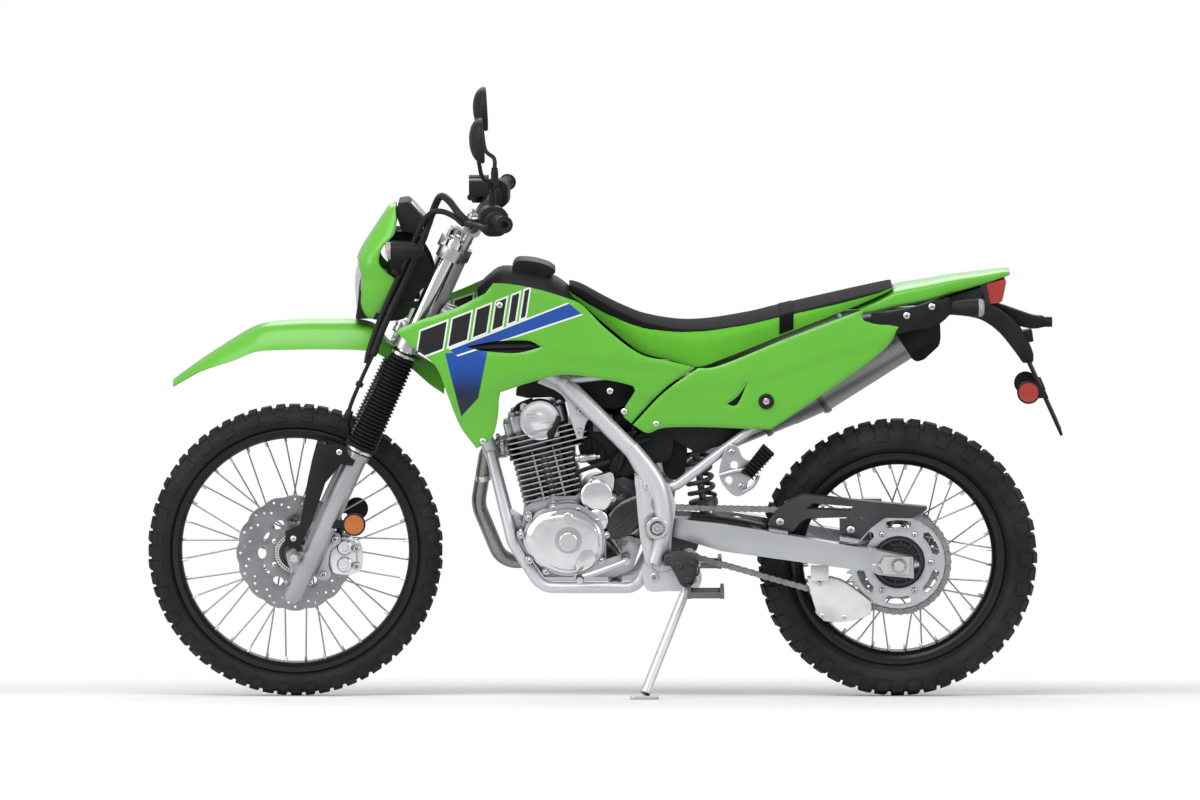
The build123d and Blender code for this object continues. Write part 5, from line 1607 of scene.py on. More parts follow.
# rows of (z, value) up the headlight cowl: its nose, its back edge and its half width
COWL = {
    "front": [
        (866, 1212), (885, 1226), (915, 1231), (960, 1232), (1015, 1219), (1073, 1184), (1100, 1166),
        (1130, 1146)
    ],
    "back": [
        (866, 1164), (915, 1142), (945, 1132), (961, 1130), (985, 1160), (1005, 1172), (1037, 1163),
        (1069, 1136), (1130, 1134)
    ],
    "half": [(866, 70), (915, 90), (960, 98), (1015, 96), (1073, 80), (1130, 56)],
}
LAMP_HOLE = [(-56, 996), (0, 1001), (56, 996), (70, 950), (46, 890), (0, 884), (-46, 890), (-70, 950)]
COWL_POWER = 2.5          # how square the cowl is in plan
COWL_SPAN = 130.0         # along its plan from the nose to an edge


def cowl_point(s, z, out):
    """A point on the cowl at s along its plan from the nose, at height z, moved out by some millimetres."""
    front, back, half = (curve_at(COWL[k], z) for k in ("front", "back", "half"))
    a = s / COWL_SPAN * pi / 2
    sideways, ahead = abs(sin(a)) ** (2 / COWL_POWER), abs(cos(a)) ** (2 / COWL_POWER)
    point = Vector((back + (front - back) * ahead, half * sideways * (1 if s > 0 else -1), z))
    away = Vector((ahead * half, sideways * (front - back) * (1 if s > 0 else -1), 0)).normalized()
    return point + away * out


def cowl_s(y, z):
    """How far along the plan a point at y lies."""
    half = curve_at(COWL["half"], z)
    share = min(1.0, abs(y) / half) ** (COWL_POWER / 2)
    return COWL_SPAN * asin(share) * 2 / pi * (1 if y > 0 else -1)


def cowl_front(y, z):
    """X of the cowl's face."""
    return cowl_point(cowl_s(y, z), z, 0.0).x


LAMP_SIDE = [
    (1160, 1052), (1084, 1048), (1056, 1000), (1050, 960), (1078, 938), (1100, 900), (1112, 876), (1146, 868),
    (1186, 872), (1150, 960),
]


def build_cowl():
    """Headlight cowl, lamp, its case and the meter."""
    rise = range(867, 1131, 6)
    outline = [(COWL_SPAN, z) for z in rise] + [(-COWL_SPAN, z) for z in reversed(rise)]
    hole = [Vector((cowl_s(p.x, p.y), p.y)) for p in outline_of(LAMP_HOLE, (), 7)]
    form = Form().panel(outline, lambda s, z: 0.0, 3.2, 7.0, 2.2, holes=[hole], place=cowl_point)
    make("lamp_cowl", form, "steering", ["green_plastic"], ["headlight_cowl"], crease=45)
    small = [(y * 0.985, 942 + (z - 942) * 0.985) for y, z in LAMP_HOLE]
    glass = Form().panel(
        outline_of(small, (), 8), lambda y, z: cowl_front(y, z) - 4.0, 2.5, 7, 1.5,
        place=lambda a, b, c: Vector((c, a, b)),
    )
    make("lamp_glass", glass, "steering", ["clear_lens"])
    ring = outline_of([(y * 0.97, 946 + (z - 946) * 0.97) for y, z in LAMP_HOLE], (), 7)
    ring = along([(p.x, p.y) for p in ring] + [(ring[0].x, ring[0].y)], 0, 1, 40)[:-1]
    bowl = []
    for k in range(9):
        t = k / 8
        shrink = 1 - 0.72 * t ** 1.4
        rim = [(y * shrink, 946 + (z - 946) * shrink) for y, z in ring]
        bowl.append([Vector((min(cowl_front(y, z) - 9, 1214) - 52 * t, y, z)) for y, z in rim])
    body = Form().grid(
        bowl + [[p + Vector((-3, 0, 0)) for p in row] for row in bowl[::-1]], wrap_points=True, wrap_rows=True
    )
    body.turned([(0, 0.1), (0, 16), (6, 17), (14, 13), (18, 0.1)], (1166, 0, 946), (1, 0, 0), 28)
    make("lamp_bowl", body, "steering", ["bowl_silver"])
    case = Form().slab([
        (1226, 870), (1168, 872), (1146, 915), (1138, 956), (1172, 975), (1180, 1000), (1196, 1000),
        (1216, 958), (1220, 912),
    ], -62, 62, 5.0)
    for y0, y1 in ((70, 78), (-78, -70)):
        case.plate(LAMP_SIDE, y0, y1, 2.0, 9, (0, 1, 8))
    for side in (1, -1):
        case.block((1098, side * 79, 906), (30, 4, 16), 1.5)
    case.block((1137, 0, 1006), (24, 152, 24), 3.0).join(dome_bolt(9.0, 5.0), at(1113, 78.3, 1011))
    make("lamp_case", case, "steering", ["black_plastic"], ["headlight"])
    case = Form().slab(
        [(1127, 1134), (1106, 1137), (1066, 1093), (1081, 1060), (1121, 1070), (1134, 1109)], -57, 57, 4.0
    )
    case.slab([(1136, 1064), (1094, 1062), (1094, 1018), (1136, 1018)], -19, 19, 2.0)
    make("meter_case", case, "steering", ["black_plastic"], ["instrument"])
    tilt = Matrix.Rotation(-atan2(44, 40), 3, "Y")
    dial = Form().block((1084.8, 0, 1115.8), (44, 92, 2.4), 1.0, tilt)
    make("meter_screen", dial, "steering", ["screen"])


# ---------------------------------------------------------------- lamps and rear end
LENS_DEPTH = 14.0
# side, X of the cup's back and of the lens, z and y of the lamp, y of its stalk's foot, body
SIGNALS = (
    ("front", 1070, 1158, 1037, 150, 78.3, "steering"), ("rear", -116, -190, 905, 128, 50.3, "frame"),
)


def build_signals():
    """Indicators: ribbed stalk and cup, clear lens, amber bulb."""
    for side, x_back, x_lens, z, y, stalk_y, body in SIGNALS:
        way = 1 if x_lens > x_back else -1
        long = abs(x_lens - x_back) - LENS_DEPTH
        cup = Form().spun([
            (0, 8), (2, 12), (8, 14.5), (long * 0.6, 18.5), (long - 3, 20.2), (long, 20.4),
        ], (x_back, y, z), (way, 0, 0), 40)
        neck = x_back + 14 * way
        cup.tube(
            [(neck, stalk_y, z), (neck, y - 11, z)],
            lambda t: 7.2 - 1.6 * (abs(sin(t * 22)) < 0.4) + 1.5 * eased(0.9, 1, t), 20, step=2.5
        )
        make(
            side + "_signal_cups", cup.mirrored(), body, ["black_plastic"],
            [side + "_signals"]
        )
        start = x_lens - LENS_DEPTH * way
        cover = Form().turned(
            [(0, 0.1), (0, 19.9), (4, 20.2), (10, 18.8), (13, 14.5), (14, 0.1)],
            (start, y, z), (way, 0, 0), 40
        )
        make(side + "_signal_lenses", cover.mirrored(), body, ["clear_lens"])
        bulb = Form().turned(
            [(0, 0.1), (0, 7), (5, 8), (9.5, 5.5), (11, 0.1)], (start + 0.5 * way, y, z), (way, 0, 0), 20
        )
        make(side + "_signal_bulbs", bulb.mirrored(), body, ["orange_lens"])


def reflector(side, x, z, y0, y1, body, material):
    """A round reflector in its case, on each side."""
    case = Form().spun(
        [(y0, 22), (y0 + 2, 26), (y1 - 1.5, 26), (y1, 23.4), (y1 - 1.4, 22.2)], (x, 0, z), steps=48
    )
    if side == "front":
        case.slab(
            [(1280, 420), (1240, 420), (1226, 416), (1226, 406), (1240, 402), (1280, 402)], 108, 115.6, 1.0
        )
    make(side + "_reflector_cases", case.mirrored(), body, ["black_plastic"], [side + "_reflectors"])
    disc = Form().turned(
        [(y1 - 2.4, 0.1), (y1 - 2.4, 22), (y1 - 0.8, 22), (y1 - 0.2, 20.5), (y1, 0.1)], (x, 0, z), steps=48
    )
    make(side + "_reflector_discs", disc.mirrored(), body, [material])


def tail_half(x):
    """Half width at the covers of the tail's foot."""
    return 97.5 - 21 * eased(60, -90, x)


def build_rear_end():
    """Rear mudguard with plate holder, tail lamp, reflectors and the regulator."""
    arm = Form().plate([
        (60, 872), (-37, 886), (-120, 921), (-186, 942), (-189, 912), (-226, 890), (-262, 862), (-286, 826),
        (-304, 790), (-303, 768), (-280, 768), (-262, 794), (-228, 836), (-196, 861), (-162, 873), (-99, 878),
        (-37, 870), (60, 856),
    ], -48, 48, 5.0, 12, (0, 3, 4, 9, 10, 17))
    arm.plate(
        [
            (-200, 906), (-240, 894), (-303, 872), (-330, 868), (-330, 846), (-303, 842), (-262, 852),
            (-236, 872)
        ],
        -14,
        14, 4.0, 10, (0, 4)
    )
    arm.spun([(0, 11.5), (24, 11.5), (26, 10)], (-322, 0, 856), (-1, 0, 0), 32)
    arm.block((-286, 0, 824), (36, 46, 26), 3.0, Matrix.Rotation(radians(8), 3, "Y"))
    cover = outline_of(
        [
            (116, 834), (112, 866), (30, 888), (-40, 902), (-112, 922), (-118, 886), (-84, 858), (-20, 846),
            (40, 832)
        ],
        (0, 4, 5), 10
    )
    arm.panel(cover, lambda x, z: tail_half(x), 4.0, 10.0, 1.6)
    # the right cover lies farther out, over the silencer
    arm.panel(
        cover, lambda x, z: tail_half(x), 4.0, 10.0, 1.6,
        place=lambda x, z, c: Vector((x, -tail_half(x) - c, z))
    )
    for side in (1, -1):
        arm.slab([(-326, 720), (-292, 720), (-292, 692), (-338, 692)], *sorted((side * 70, side * 75.7)), 1.5)
    arm.panel(
        [(-73, 0), (73, 0), (73, 182), (-73, 182)], lambda y, t: 0.0, 8.2, 14.0, 1.5,
        holes=[round_hole(52, 63, 3.3), round_hole(-52, 63, 3.3)],
        place=lambda y, t, c: Vector((-296 - 76 * t / 182, y, 775 - 166 * t / 182))
        + Vector((-0.909, 0, 0.416)) * c,
    )
    make("tail_mudguard", arm, "frame", ["black_plastic"], ["rear_fender"])
    bolts = Form()
    for x, z in ((-16, 882), (-73, 901)):
        bolts.join(dome_bolt(8.0, 5.0), at(x, tail_half(x), z))
    make("mudguard_bolts", bolts.mirrored(), "frame", ["zinc_steel"])
    wedge = outline_rows(
        [(-192, 948), (-240, 960), (-242, 952), (-233, 908), (-226, 904), (-203, 902)], 6, (0, 1, 5)
    )
    make("tail_lens", Form().slab(wedge, -45, 45, 5.0), "frame", ["red_lens"], ["tail_lamp"])
    back = Form().slab([(-182, 948), (-196, 951), (-207, 900), (-192, 898)], -47, 47, 2.0)
    make("tail_lamp_back", back, "frame", ["gloss_black"])
    reflector("front", 1229, 411, 115.7, 124, "steering", "orange_lens")
    reflector("rear", -292, 706, 76, 84, "frame", "red_lens")
    build_regulator()


def build_regulator():
    """The finned regulator behind the left side cover, on its bracket."""
    block = Form().slab([(356, 527), (306, 593), (281, 570), (331, 516)], 98, 110, 1.0)
    low, high = Vector((344, 0, 521)), Vector((293, 0, 582))
    for k in range(9):
        spot = low.lerp(high, 0.06 + 0.88 * k / 8)
        block.block((spot.x, 115.5, spot.z), (34, 14, 2.6), 0.7, Matrix.Rotation(-atan2(24, 26), 3, "Y"))
    make("regulator_fins", block, "frame", ["soft_rubber"], ["regulator"])
    holder = Form().panel(
        outline_of(
            [
                (404, 512), (400, 560), (386, 590), (366, 588), (352, 560), (330, 548), (322, 524),
                (340, 506), (346, 480), (372, 474)
            ],
            (), 9
        ),
        lambda x, z: 101.0, 5.0, 9.0, 1.4, holes=[round_hole(372, 544, 9), round_hole(384, 510, 8)],
    )
    holder.tube([(404, 99, 520), (372, 103, 530), (336, 101, 534)], 5.0, 16, step=5).tube(
        [(352, 101, 482), (330, 104, 496), (316, 103, 520)], 4.0, 16, step=5
    )
    for x, z in ((378, 574), (356, 496), (336, 530)):
        holder.join(dome_bolt(7.0, 4.0), at(x, 101.2, z))
    make("regulator_bracket", holder, "frame", ["cast_alloy"])


# ---------------------------------------------------------------- fork and controls
GAITER_FOOT, GAITER_HEAD, GAITER_RIBS = 621.0, 872.0, 26
LEG_FORE, LEG_SIDE = 18.0, 95.0
BAR_CENTRE, BAR_TIP, BAR_KNEE = Vector((960, 0, 1078)), Vector((886, 408, 1127)), Vector((930, 164, 1112))


def on_bar(y):
    """A point on the left half of the handlebar's outer run."""
    return BAR_KNEE + (BAR_TIP - BAR_KNEE) * (y - BAR_KNEE.y) / (BAR_TIP.y - BAR_KNEE.y)


def build_fork():
    """Gaiters, legs, clamps, guards, axle, brake and hoses."""
    build_gaiters()
    build_legs()
    build_front_caliper()
    build_front_hoses()


def build_gaiters():
    """Pleated rubber boots, tapering upwards, with a clip at each end."""
    foot = on_fork(LEG_FORE, LEG_SIDE, GAITER_FOOT)
    outer = [(0, 30.4), (3, 31), (8, 30.5)]
    rib = (GAITER_HEAD - GAITER_FOOT - 24) / GAITER_RIBS
    for k in range(GAITER_RIBS):
        s, taper = 12 + rib * k, 4.0 * k / GAITER_RIBS
        outer += [
            (s + rib * t, r - taper)
            for t, r in ((0, 30.6), (0.25, 33.4), (0.42, 35.8), (0.58, 35.8), (0.75, 33.4))
        ]
    top = GAITER_HEAD - GAITER_FOOT
    outer += [
        (top - 12, 26.6), (top - 9, 27.6), (top - 3, 27.6), (top, 26.4), (top, 18.8), (22, 18.8), (22, 25.3),
        (0, 25.3), (0, 30.4)
    ]
    gaiter = Form().turned(outer, foot, STEER_UP, 40)
    make("fork_boots", gaiter.mirrored(), "steering", ["soft_rubber"], ["fork_gaiters"])
    clips = Form()
    for s, r in ((6, 31.6), (top - 6, 28.4)):
        clips.turned(hoop(s, 3, r - 1.5, r), foot, STEER_UP, 40)
        clips.block(on_fork(LEG_FORE - 6, LEG_SIDE + r + 1, GAITER_FOOT + s), (9, 5, 6), 1.0)
    make("boot_clips", clips.mirrored(), "steering", ["zinc_steel"])


def hoop(middle, half, inner, outer):
    """The closed section of a clip or band."""
    return [
        (middle - half, inner), (middle - half, outer), (middle + half, outer), (middle + half, inner),
        (middle - half, inner),
    ]


def build_legs():
    """Sliders, tubes, clamps, guards, their bolts and the axle's nuts."""
    feet = Form()
    for s in (-14, 14):
        feet.join(dome_bolt(5.0, 4.0), at(*on_fork(44, LEG_SIDE + 17.3, 299 + s)))
    softened("fork_legs", "steering", "fork_slider", 2.2, extra=feet.mirrored())
    dress("fork_tubes", "chrome")
    caps = Form()
    caps.spun(
        [(0, 17.5), (4, 17.5), (6, 15), (6, 9), (4, 8.5)], on_fork(LEG_FORE, LEG_SIDE, 1151.8), STEER_UP, 6
    )
    make("fork_caps", caps.mirrored(), "steering", ["zinc_steel"])
    nuts = Form().spun([(0, 21), (7, 21), (9, 18), (9, 9), (6, 8)], on_fork(0, 0, 1143.5), STEER_UP, 6)
    for y in (46, -46):
        for ahead in (-13, 13):
            spot = BAR_CENTRE + STEER_FORE * ahead + STEER_UP * 19.5
            nuts.spun([(0, 5.5), (6, 5.5), (7, 4.5), (7, 2.6), (4, 2.6)], (spot.x, y, spot.z), STEER_UP, 18)
    for y in (80, 110, -80, -110):
        for s in (888, 902):
            nuts.spun([(0, 5), (5, 5), (6, 4)], on_fork(52, y * 0.92, s), STEER_FORE, 16)
    softened("triple_clamps", "steering", "cast_alloy", 2.4)
    make("clamp_bolts", nuts, "steering", ["zinc_steel"])
    guards = Form()
    for x, z in ((1262, 577), (1366, 380)):
        guards.join(dome_bolt(6.5), at(x, 125.8, z))
    softened("fork_guards", "steering", "black_plastic", 1.6)
    make("guard_bolts", guards.mirrored(), "steering", ["zinc_steel"])
    axle_nuts = Form().spun([(0, 11.5), (7, 11.5), (9, 9.5)], (1365, 121.2, 335), (0, 1, 0), 6)
    make("front_axle_nuts", axle_nuts.mirrored(), "steering", ["zinc_steel"])
    dress("front_axle", "zinc_steel")


def build_front_hoses():
    """Brake hose and control cables from the bar down the left leg."""
    hose = Form().tube([
        (970, 215, 1109.5), (990, 206, 1128), (1012, 172, 1152), (1030, 132, 1158), (1043, 108, 1138),
        (1060, 102, 1090), (1078, 102, 1040), (1097, 102, 996), (1130, 101, 926), (1160, 102, 862),
        (1185, 104.5, 798),
    ], lambda t: 8.2 - 0.5 * (abs(sin(t * 60)) < 0.12), 20, step=7)
    hose.tube(
        [
            (1183, 105, 802), (1216, 104, 730), (1241, 99, 662), (1240, 70, 600), (1252, 60, 510),
            (1262, 58, 440), (1262, 58, 374)
        ],
        4.5, 16, step=7
    )
    hose.tube([
        (980, 196, 1102), (1002, 176, 1118), (1030, 150, 1126), (1054, 122, 1118), (1074, 106, 1092),
        (1094, 99, 1046), (1112, 98, 1002), (1145, 98, 932), (1172, 99, 868), (1194, 103, 806),
        (1200, 104, 776),
    ], 6.4, 16, step=7)
    for x, y, z in ((1183, 105, 802), (1241, 98, 660), (1262, 58, 396)):
        hose.spun(
            [(-9, 7.6), (-6, 8.8), (6, 8.8), (9, 7.6)], (x, y, z),
            (-0.42, 0.02, 0.91) if z > 500 else (0, 0, 1), 20
        )
    make("brake_hose", hose, "steering", ["soft_rubber"], ["front_hose"])
    band = Form()
    for x, y, z in ((1134, 110, 985), (1216, 102, 728), (1240, 64, 590)):
        band.turned(hoop(0, 5, 7.0, 8.6), (x, y, z), STEER_UP, 20)
    make("hose_clips", band, "steering", ["black_plastic"])


def build_front_caliper():
    """Two-piston caliper astride the disc, on a bracket from the fork leg."""
    rim = outline_rows(
        [
            (1286, 366), (1262, 374), (1238, 370), (1222, 352), (1218, 318), (1226, 292), (1252, 286),
            (1284, 296), (1290, 330)
        ],
        8
    )
    body = Form().slab(rim, 50.5, 63, 4.0).slab(rim, 32, 41.5, 3.0)
    body.plate(
        [(1230, 366), (1216, 356), (1212, 330), (1214, 300), (1228, 290), (1229.5, 330)],
        32, 63, 3.0, 8, (0, 4)
    )
    for z in (350, 311):
        body.spun([(60, 17.5), (66, 17), (68.5, 14.5), (68.5, 9), (67.5, 8)], (1252, 0, z), steps=40)
    make("brake_caliper", body, "steering", ["polished_alloy"], ["front_caliper"])
    arm = Form().plate(
        [
            (1300, 398), (1282, 390), (1264, 384), (1260, 366), (1270, 356), (1284, 344), (1288, 312),
            (1282, 288), (1296, 276), (1314, 280), (1318, 298), (1308, 322), (1310, 356), (1316, 384)
        ],
        63.5, 76, 3.0, 8
    )
    make("caliper_bracket", arm, "steering", ["cast_alloy"])
    bolts = Form()
    for x, z, y in ((1274, 371, 76), (1300, 290, 76), (1225, 348, 63), (1225, 308, 63)):
        bolts.spun([(y, 8), (y + 5, 8), (y + 6.5, 6.5), (y + 6.5, 4), (y + 3, 3.6)], (x, 0, z), steps=24)
    make("caliper_bolts", bolts, "steering", ["zinc_steel"])


def build_controls():
    """Bar, ribbed grips, levers and switches, and mirrors."""
    dress("handlebar", "gloss_black")
    way = (BAR_TIP - BAR_KNEE).normalized()
    foot = on_bar(285)
    long = (BAR_TIP - foot).length
    line = [(0, 11.05), (0, 22), (1.5, 23.4), (4.5, 23.4), (6, 22), (7, 17)]
    count = 26
    for k in range(count):
        a, step = 9 + (long - 20) * k / count, (long - 20) / count
        line += [(a, 16.3), (a + step * 0.5, 16.3), (a + step * 0.55, 15.5), (a + step * 0.95, 15.5)]
    line += [(long - 9, 16.3), (long - 8, 19), (long - 1.5, 19.4), (long, 18), (long, 11.05), (0, 11.05)]
    grip = Form().turned(line, foot, way, 40)
    make("grip_sleeves", grip.mirrored(), "steering", ["soft_rubber"], ["grips"])
    extras = Form()
    pod = on_bar(260)
    for k, (dx, dz) in enumerate(((-24, 12), (-24, -4), (-22, -20))):
        extras.block(
            (pod.x + dx - 6, pod.y - 2, pod.z + dz), (7, 16 - 3 * k, 8), 1.6, paint=1 if k == 1 else 0
        )
    extras.spun(
        [(0, 9.5), (2.5, 9), (3.5, 6)], (on_bar(221).x + 34, 227, on_bar(221).z + 2), (0, 0, 1), 6, paint=2
    )
    softened(
        "hand_controls", "steering", ["black_plastic", "soft_rubber", "zinc_steel"], 2.0,
        extra=extras
    )
    cap = Form().block((on_bar(221).x + 31, -246, on_bar(221).z + 42), (46, 41, 5), 2.0)
    make("reservoir_cap", cap, "steering", ["black_plastic"])
    build_mirrors()


def build_mirrors():
    """Round-cornered mirrors on bent stems."""
    centre, back = Vector((940, 322, 1305)), Vector((-1, 0, 0.06)).normalized()
    across = Vector((0, 1, 0))
    over = across.cross(back)

    def ring(depth, wide, tall):
        """A section of the head, that far behind its middle."""
        points = []
        for k in range(56):
            a = 2 * pi * k / 56
            c, q = cos(a), sin(a)
            r = (abs(c) ** 2.5 + abs(q) ** 2.5) ** (-1 / 2.5)
            points.append(centre + back * depth + across * (wide * r * c) + over * (tall * r * q))
        return points

    rows = [ring(d, w, t) for d, w, t in (
        (4, 53, 43), (6.4, 54.5, 44.5), (7, 57, 47), (5.5, 59.5, 49.5), (2, 60.5, 50.5), (-6, 58, 48),
        (-13, 52, 42), (-19, 42, 33), (-23, 28, 21), (-25, 12, 9),
    )]
    head = Form().grid(rows, wrap_points=True, caps=True)
    knee = Vector((on_bar(221).x - 5, on_bar(221).y + 6, on_bar(221).z + 19.3))
    stem = [
        knee + Vector((0, 0, 40)), knee + Vector((1, 8, 66)), Vector((936, 268, 1216)),
        Vector((944, 304, 1256)),
        Vector((949, 318, 1284))
    ]
    head.tube(stem, 4.8, 18, step=9)
    head.tube([knee, knee + Vector((0, 0, 46))], lambda t: (11, 8.5)[t > 0.3] - 1.2 * (t > 0.8), 20, step=5)
    head.spun([(0, 9.5), (6, 9.5), (8, 8)], knee, (0, 0, 1), 6)
    make(
        "mirror_heads", head.mirrored(), "steering", ["black_plastic"], ["mirrors"],
        crease=50
    )
    glass = Form().grid(
        [ring(4.2, 53, 43), ring(5.6, 53, 43), ring(5.9, 52, 42)], wrap_points=True, caps=True
    )
    make("mirror_glasses", glass.mirrored(), "steering", ["mirror_glass"])


# ---------------------------------------------------------------- engine
GENERATOR, STARTER, CLUTCH, CAM = (746, 371), (682, 472), (720, 372), (810, 641)
PORT = (893, -42, 566)    # mouth of the exhaust port
CYLINDER_TILT = radians(14)
CYLINDER_FOOT = Vector((776, 0, 452))
FIN_PITCH = 12.5


def on_cylinder():
    """From the cylinder's own axes, with its foot at the origin."""
    return Matrix.Translation(CYLINDER_FOOT) @ Matrix.Rotation(CYLINDER_TILT, 4, "Y")


def plan_slab(outline, z0, z1, rounding=0.0):
    """A plan outline of (x, y) from z0 to z1."""
    flat = Form().slab([(x, -y) for x, y in outline], -z1, -z0, rounding)
    return Form().join(flat, Matrix.Rotation(radians(-90), 4, "X"))


def rounded_box(wide, deep, corner, notch=0.0):
    """A plan outline with round corners, and a notch in the middle of two sides."""
    points = []
    for cx, cy, start in ((1, 1, 0), (-1, 1, 90), (-1, -1, 180), (1, -1, 270)):
        for k in range(7):
            a = radians(start + 15 * k)
            points.append((
                cx * (wide / 2 - corner) + corner * cos(a), cy * (deep / 2 - corner) + corner * sin(a)
            ))
        if notch and cx == cy:
            points += [
                (cx * x, cy * (deep / 2 - cut)) for x, cut in ((8, 0), (4, notch), (-4, notch), (-8, 0))
            ]
    return points


def build_cylinder():
    """Fins, barrel, head, cam cover and plug cap."""
    place = on_cylinder()
    fins = Form()
    for k in range(sizes().fins):
        z = 18 + k * FIN_PITCH
        back = 40 * eased(6.5, 9.5, k)
        grow = 10 * (k > 7)
        ring = [
            (x - back / 2, y) for x, y in rounded_box(142 + grow + back, 138 + grow, 18, 7 if k < 8 else 0)
        ]
        fins.join(plan_slab(ring, z - 1.5, z + 1.5, 0.7))
    core = plan_slab(rounded_box(94, 98, 16), 0, 121, 1.0)
    core.join(plan_slab(rounded_box(106, 112, 14), 119, 178, 1.0))
    core.join(plan_slab([(x - 8, y) for x, y in rounded_box(132, 114, 16)], 174, 212, 3.0))
    core.join(plan_slab([(x + 52, y) for x, y in rounded_box(40, 92, 10)], 150, 200, 3.0))
    core.join(plan_slab([(x - 4, y) for x, y in rounded_box(100, 96, 18)], 206, 222, 5.0))
    for x, y in ((-52, 44), (44, 44), (-52, -44), (44, -44)):
        core.join(Form().spun([(205, 9), (214, 9), (214, 6), (219, 6), (220, 5)], (x, y, 0), (0, 0, 1), 16))
    body = Form().join(fins, place).join(core, place)
    for x in (-26, 22):
        body.join(Form().block((x, 58, 70), (5, 14, 118), 1.5), place)
    # cam cover, studs and the plug's boss
    cover = Form().spun(
        [(38, 46), (70, 46), (72, 44.6), (73, 41), (73, 39), (72, 37), (72, 16), (73.4, 14)],
        (CAM[0], 0, CAM[1]),
        steps=72
    )
    for a in (40, 220):
        x, z = polar(CAM, 46, a)
        cover.spun([(40, 9.5), (69, 9.5), (70, 8.5)], (x, 0, z), steps=24)
        cover.join(dome_bolt(5.5, 5.0, 6), at(x, 70.5, z))
    for across, z0 in ((-20, 634), (14, 652)):
        cover.block((CAM[0] + across, 73.4, z0), (30, 1.4, 4), 0.5)
    make("cam_cover", cover, "frame", ["polished_alloy"])
    # exhaust port stub
    body.turned([(0, 0.1), (0, 24), (40, 22), (42, 0.1)], (852, -42, 566), (1, 0, 0), 36)
    make("cylinder_fins", body, "frame", ["cast_alloy"], ["cylinder"], crease=35)
    plug = Form().tube(
        [(792, 52, 592), (786, 70, 610), (776, 82, 626), (766, 80, 652)],
        lambda t: 9 - 3 * eased(0.3, 0.6, t), 18, step=5
    )
    make("plug_cap", plug, "frame", ["soft_rubber"])


COVER_RIM = [
    (805, 438), (754, 445), (697, 428), (668, 399), (664, 365), (668, 339), (683, 319), (709, 302),
    (743, 293), (777, 299), (811, 314), (836, 342), (848, 371), (844, 399), (828, 422),
]
COVER_SCREWS = (
    (780, 447), (724, 443), (680, 418), (660, 384), (672, 326), (726, 292), (796, 301), (834, 326),
    (853, 384), (836, 424)
)


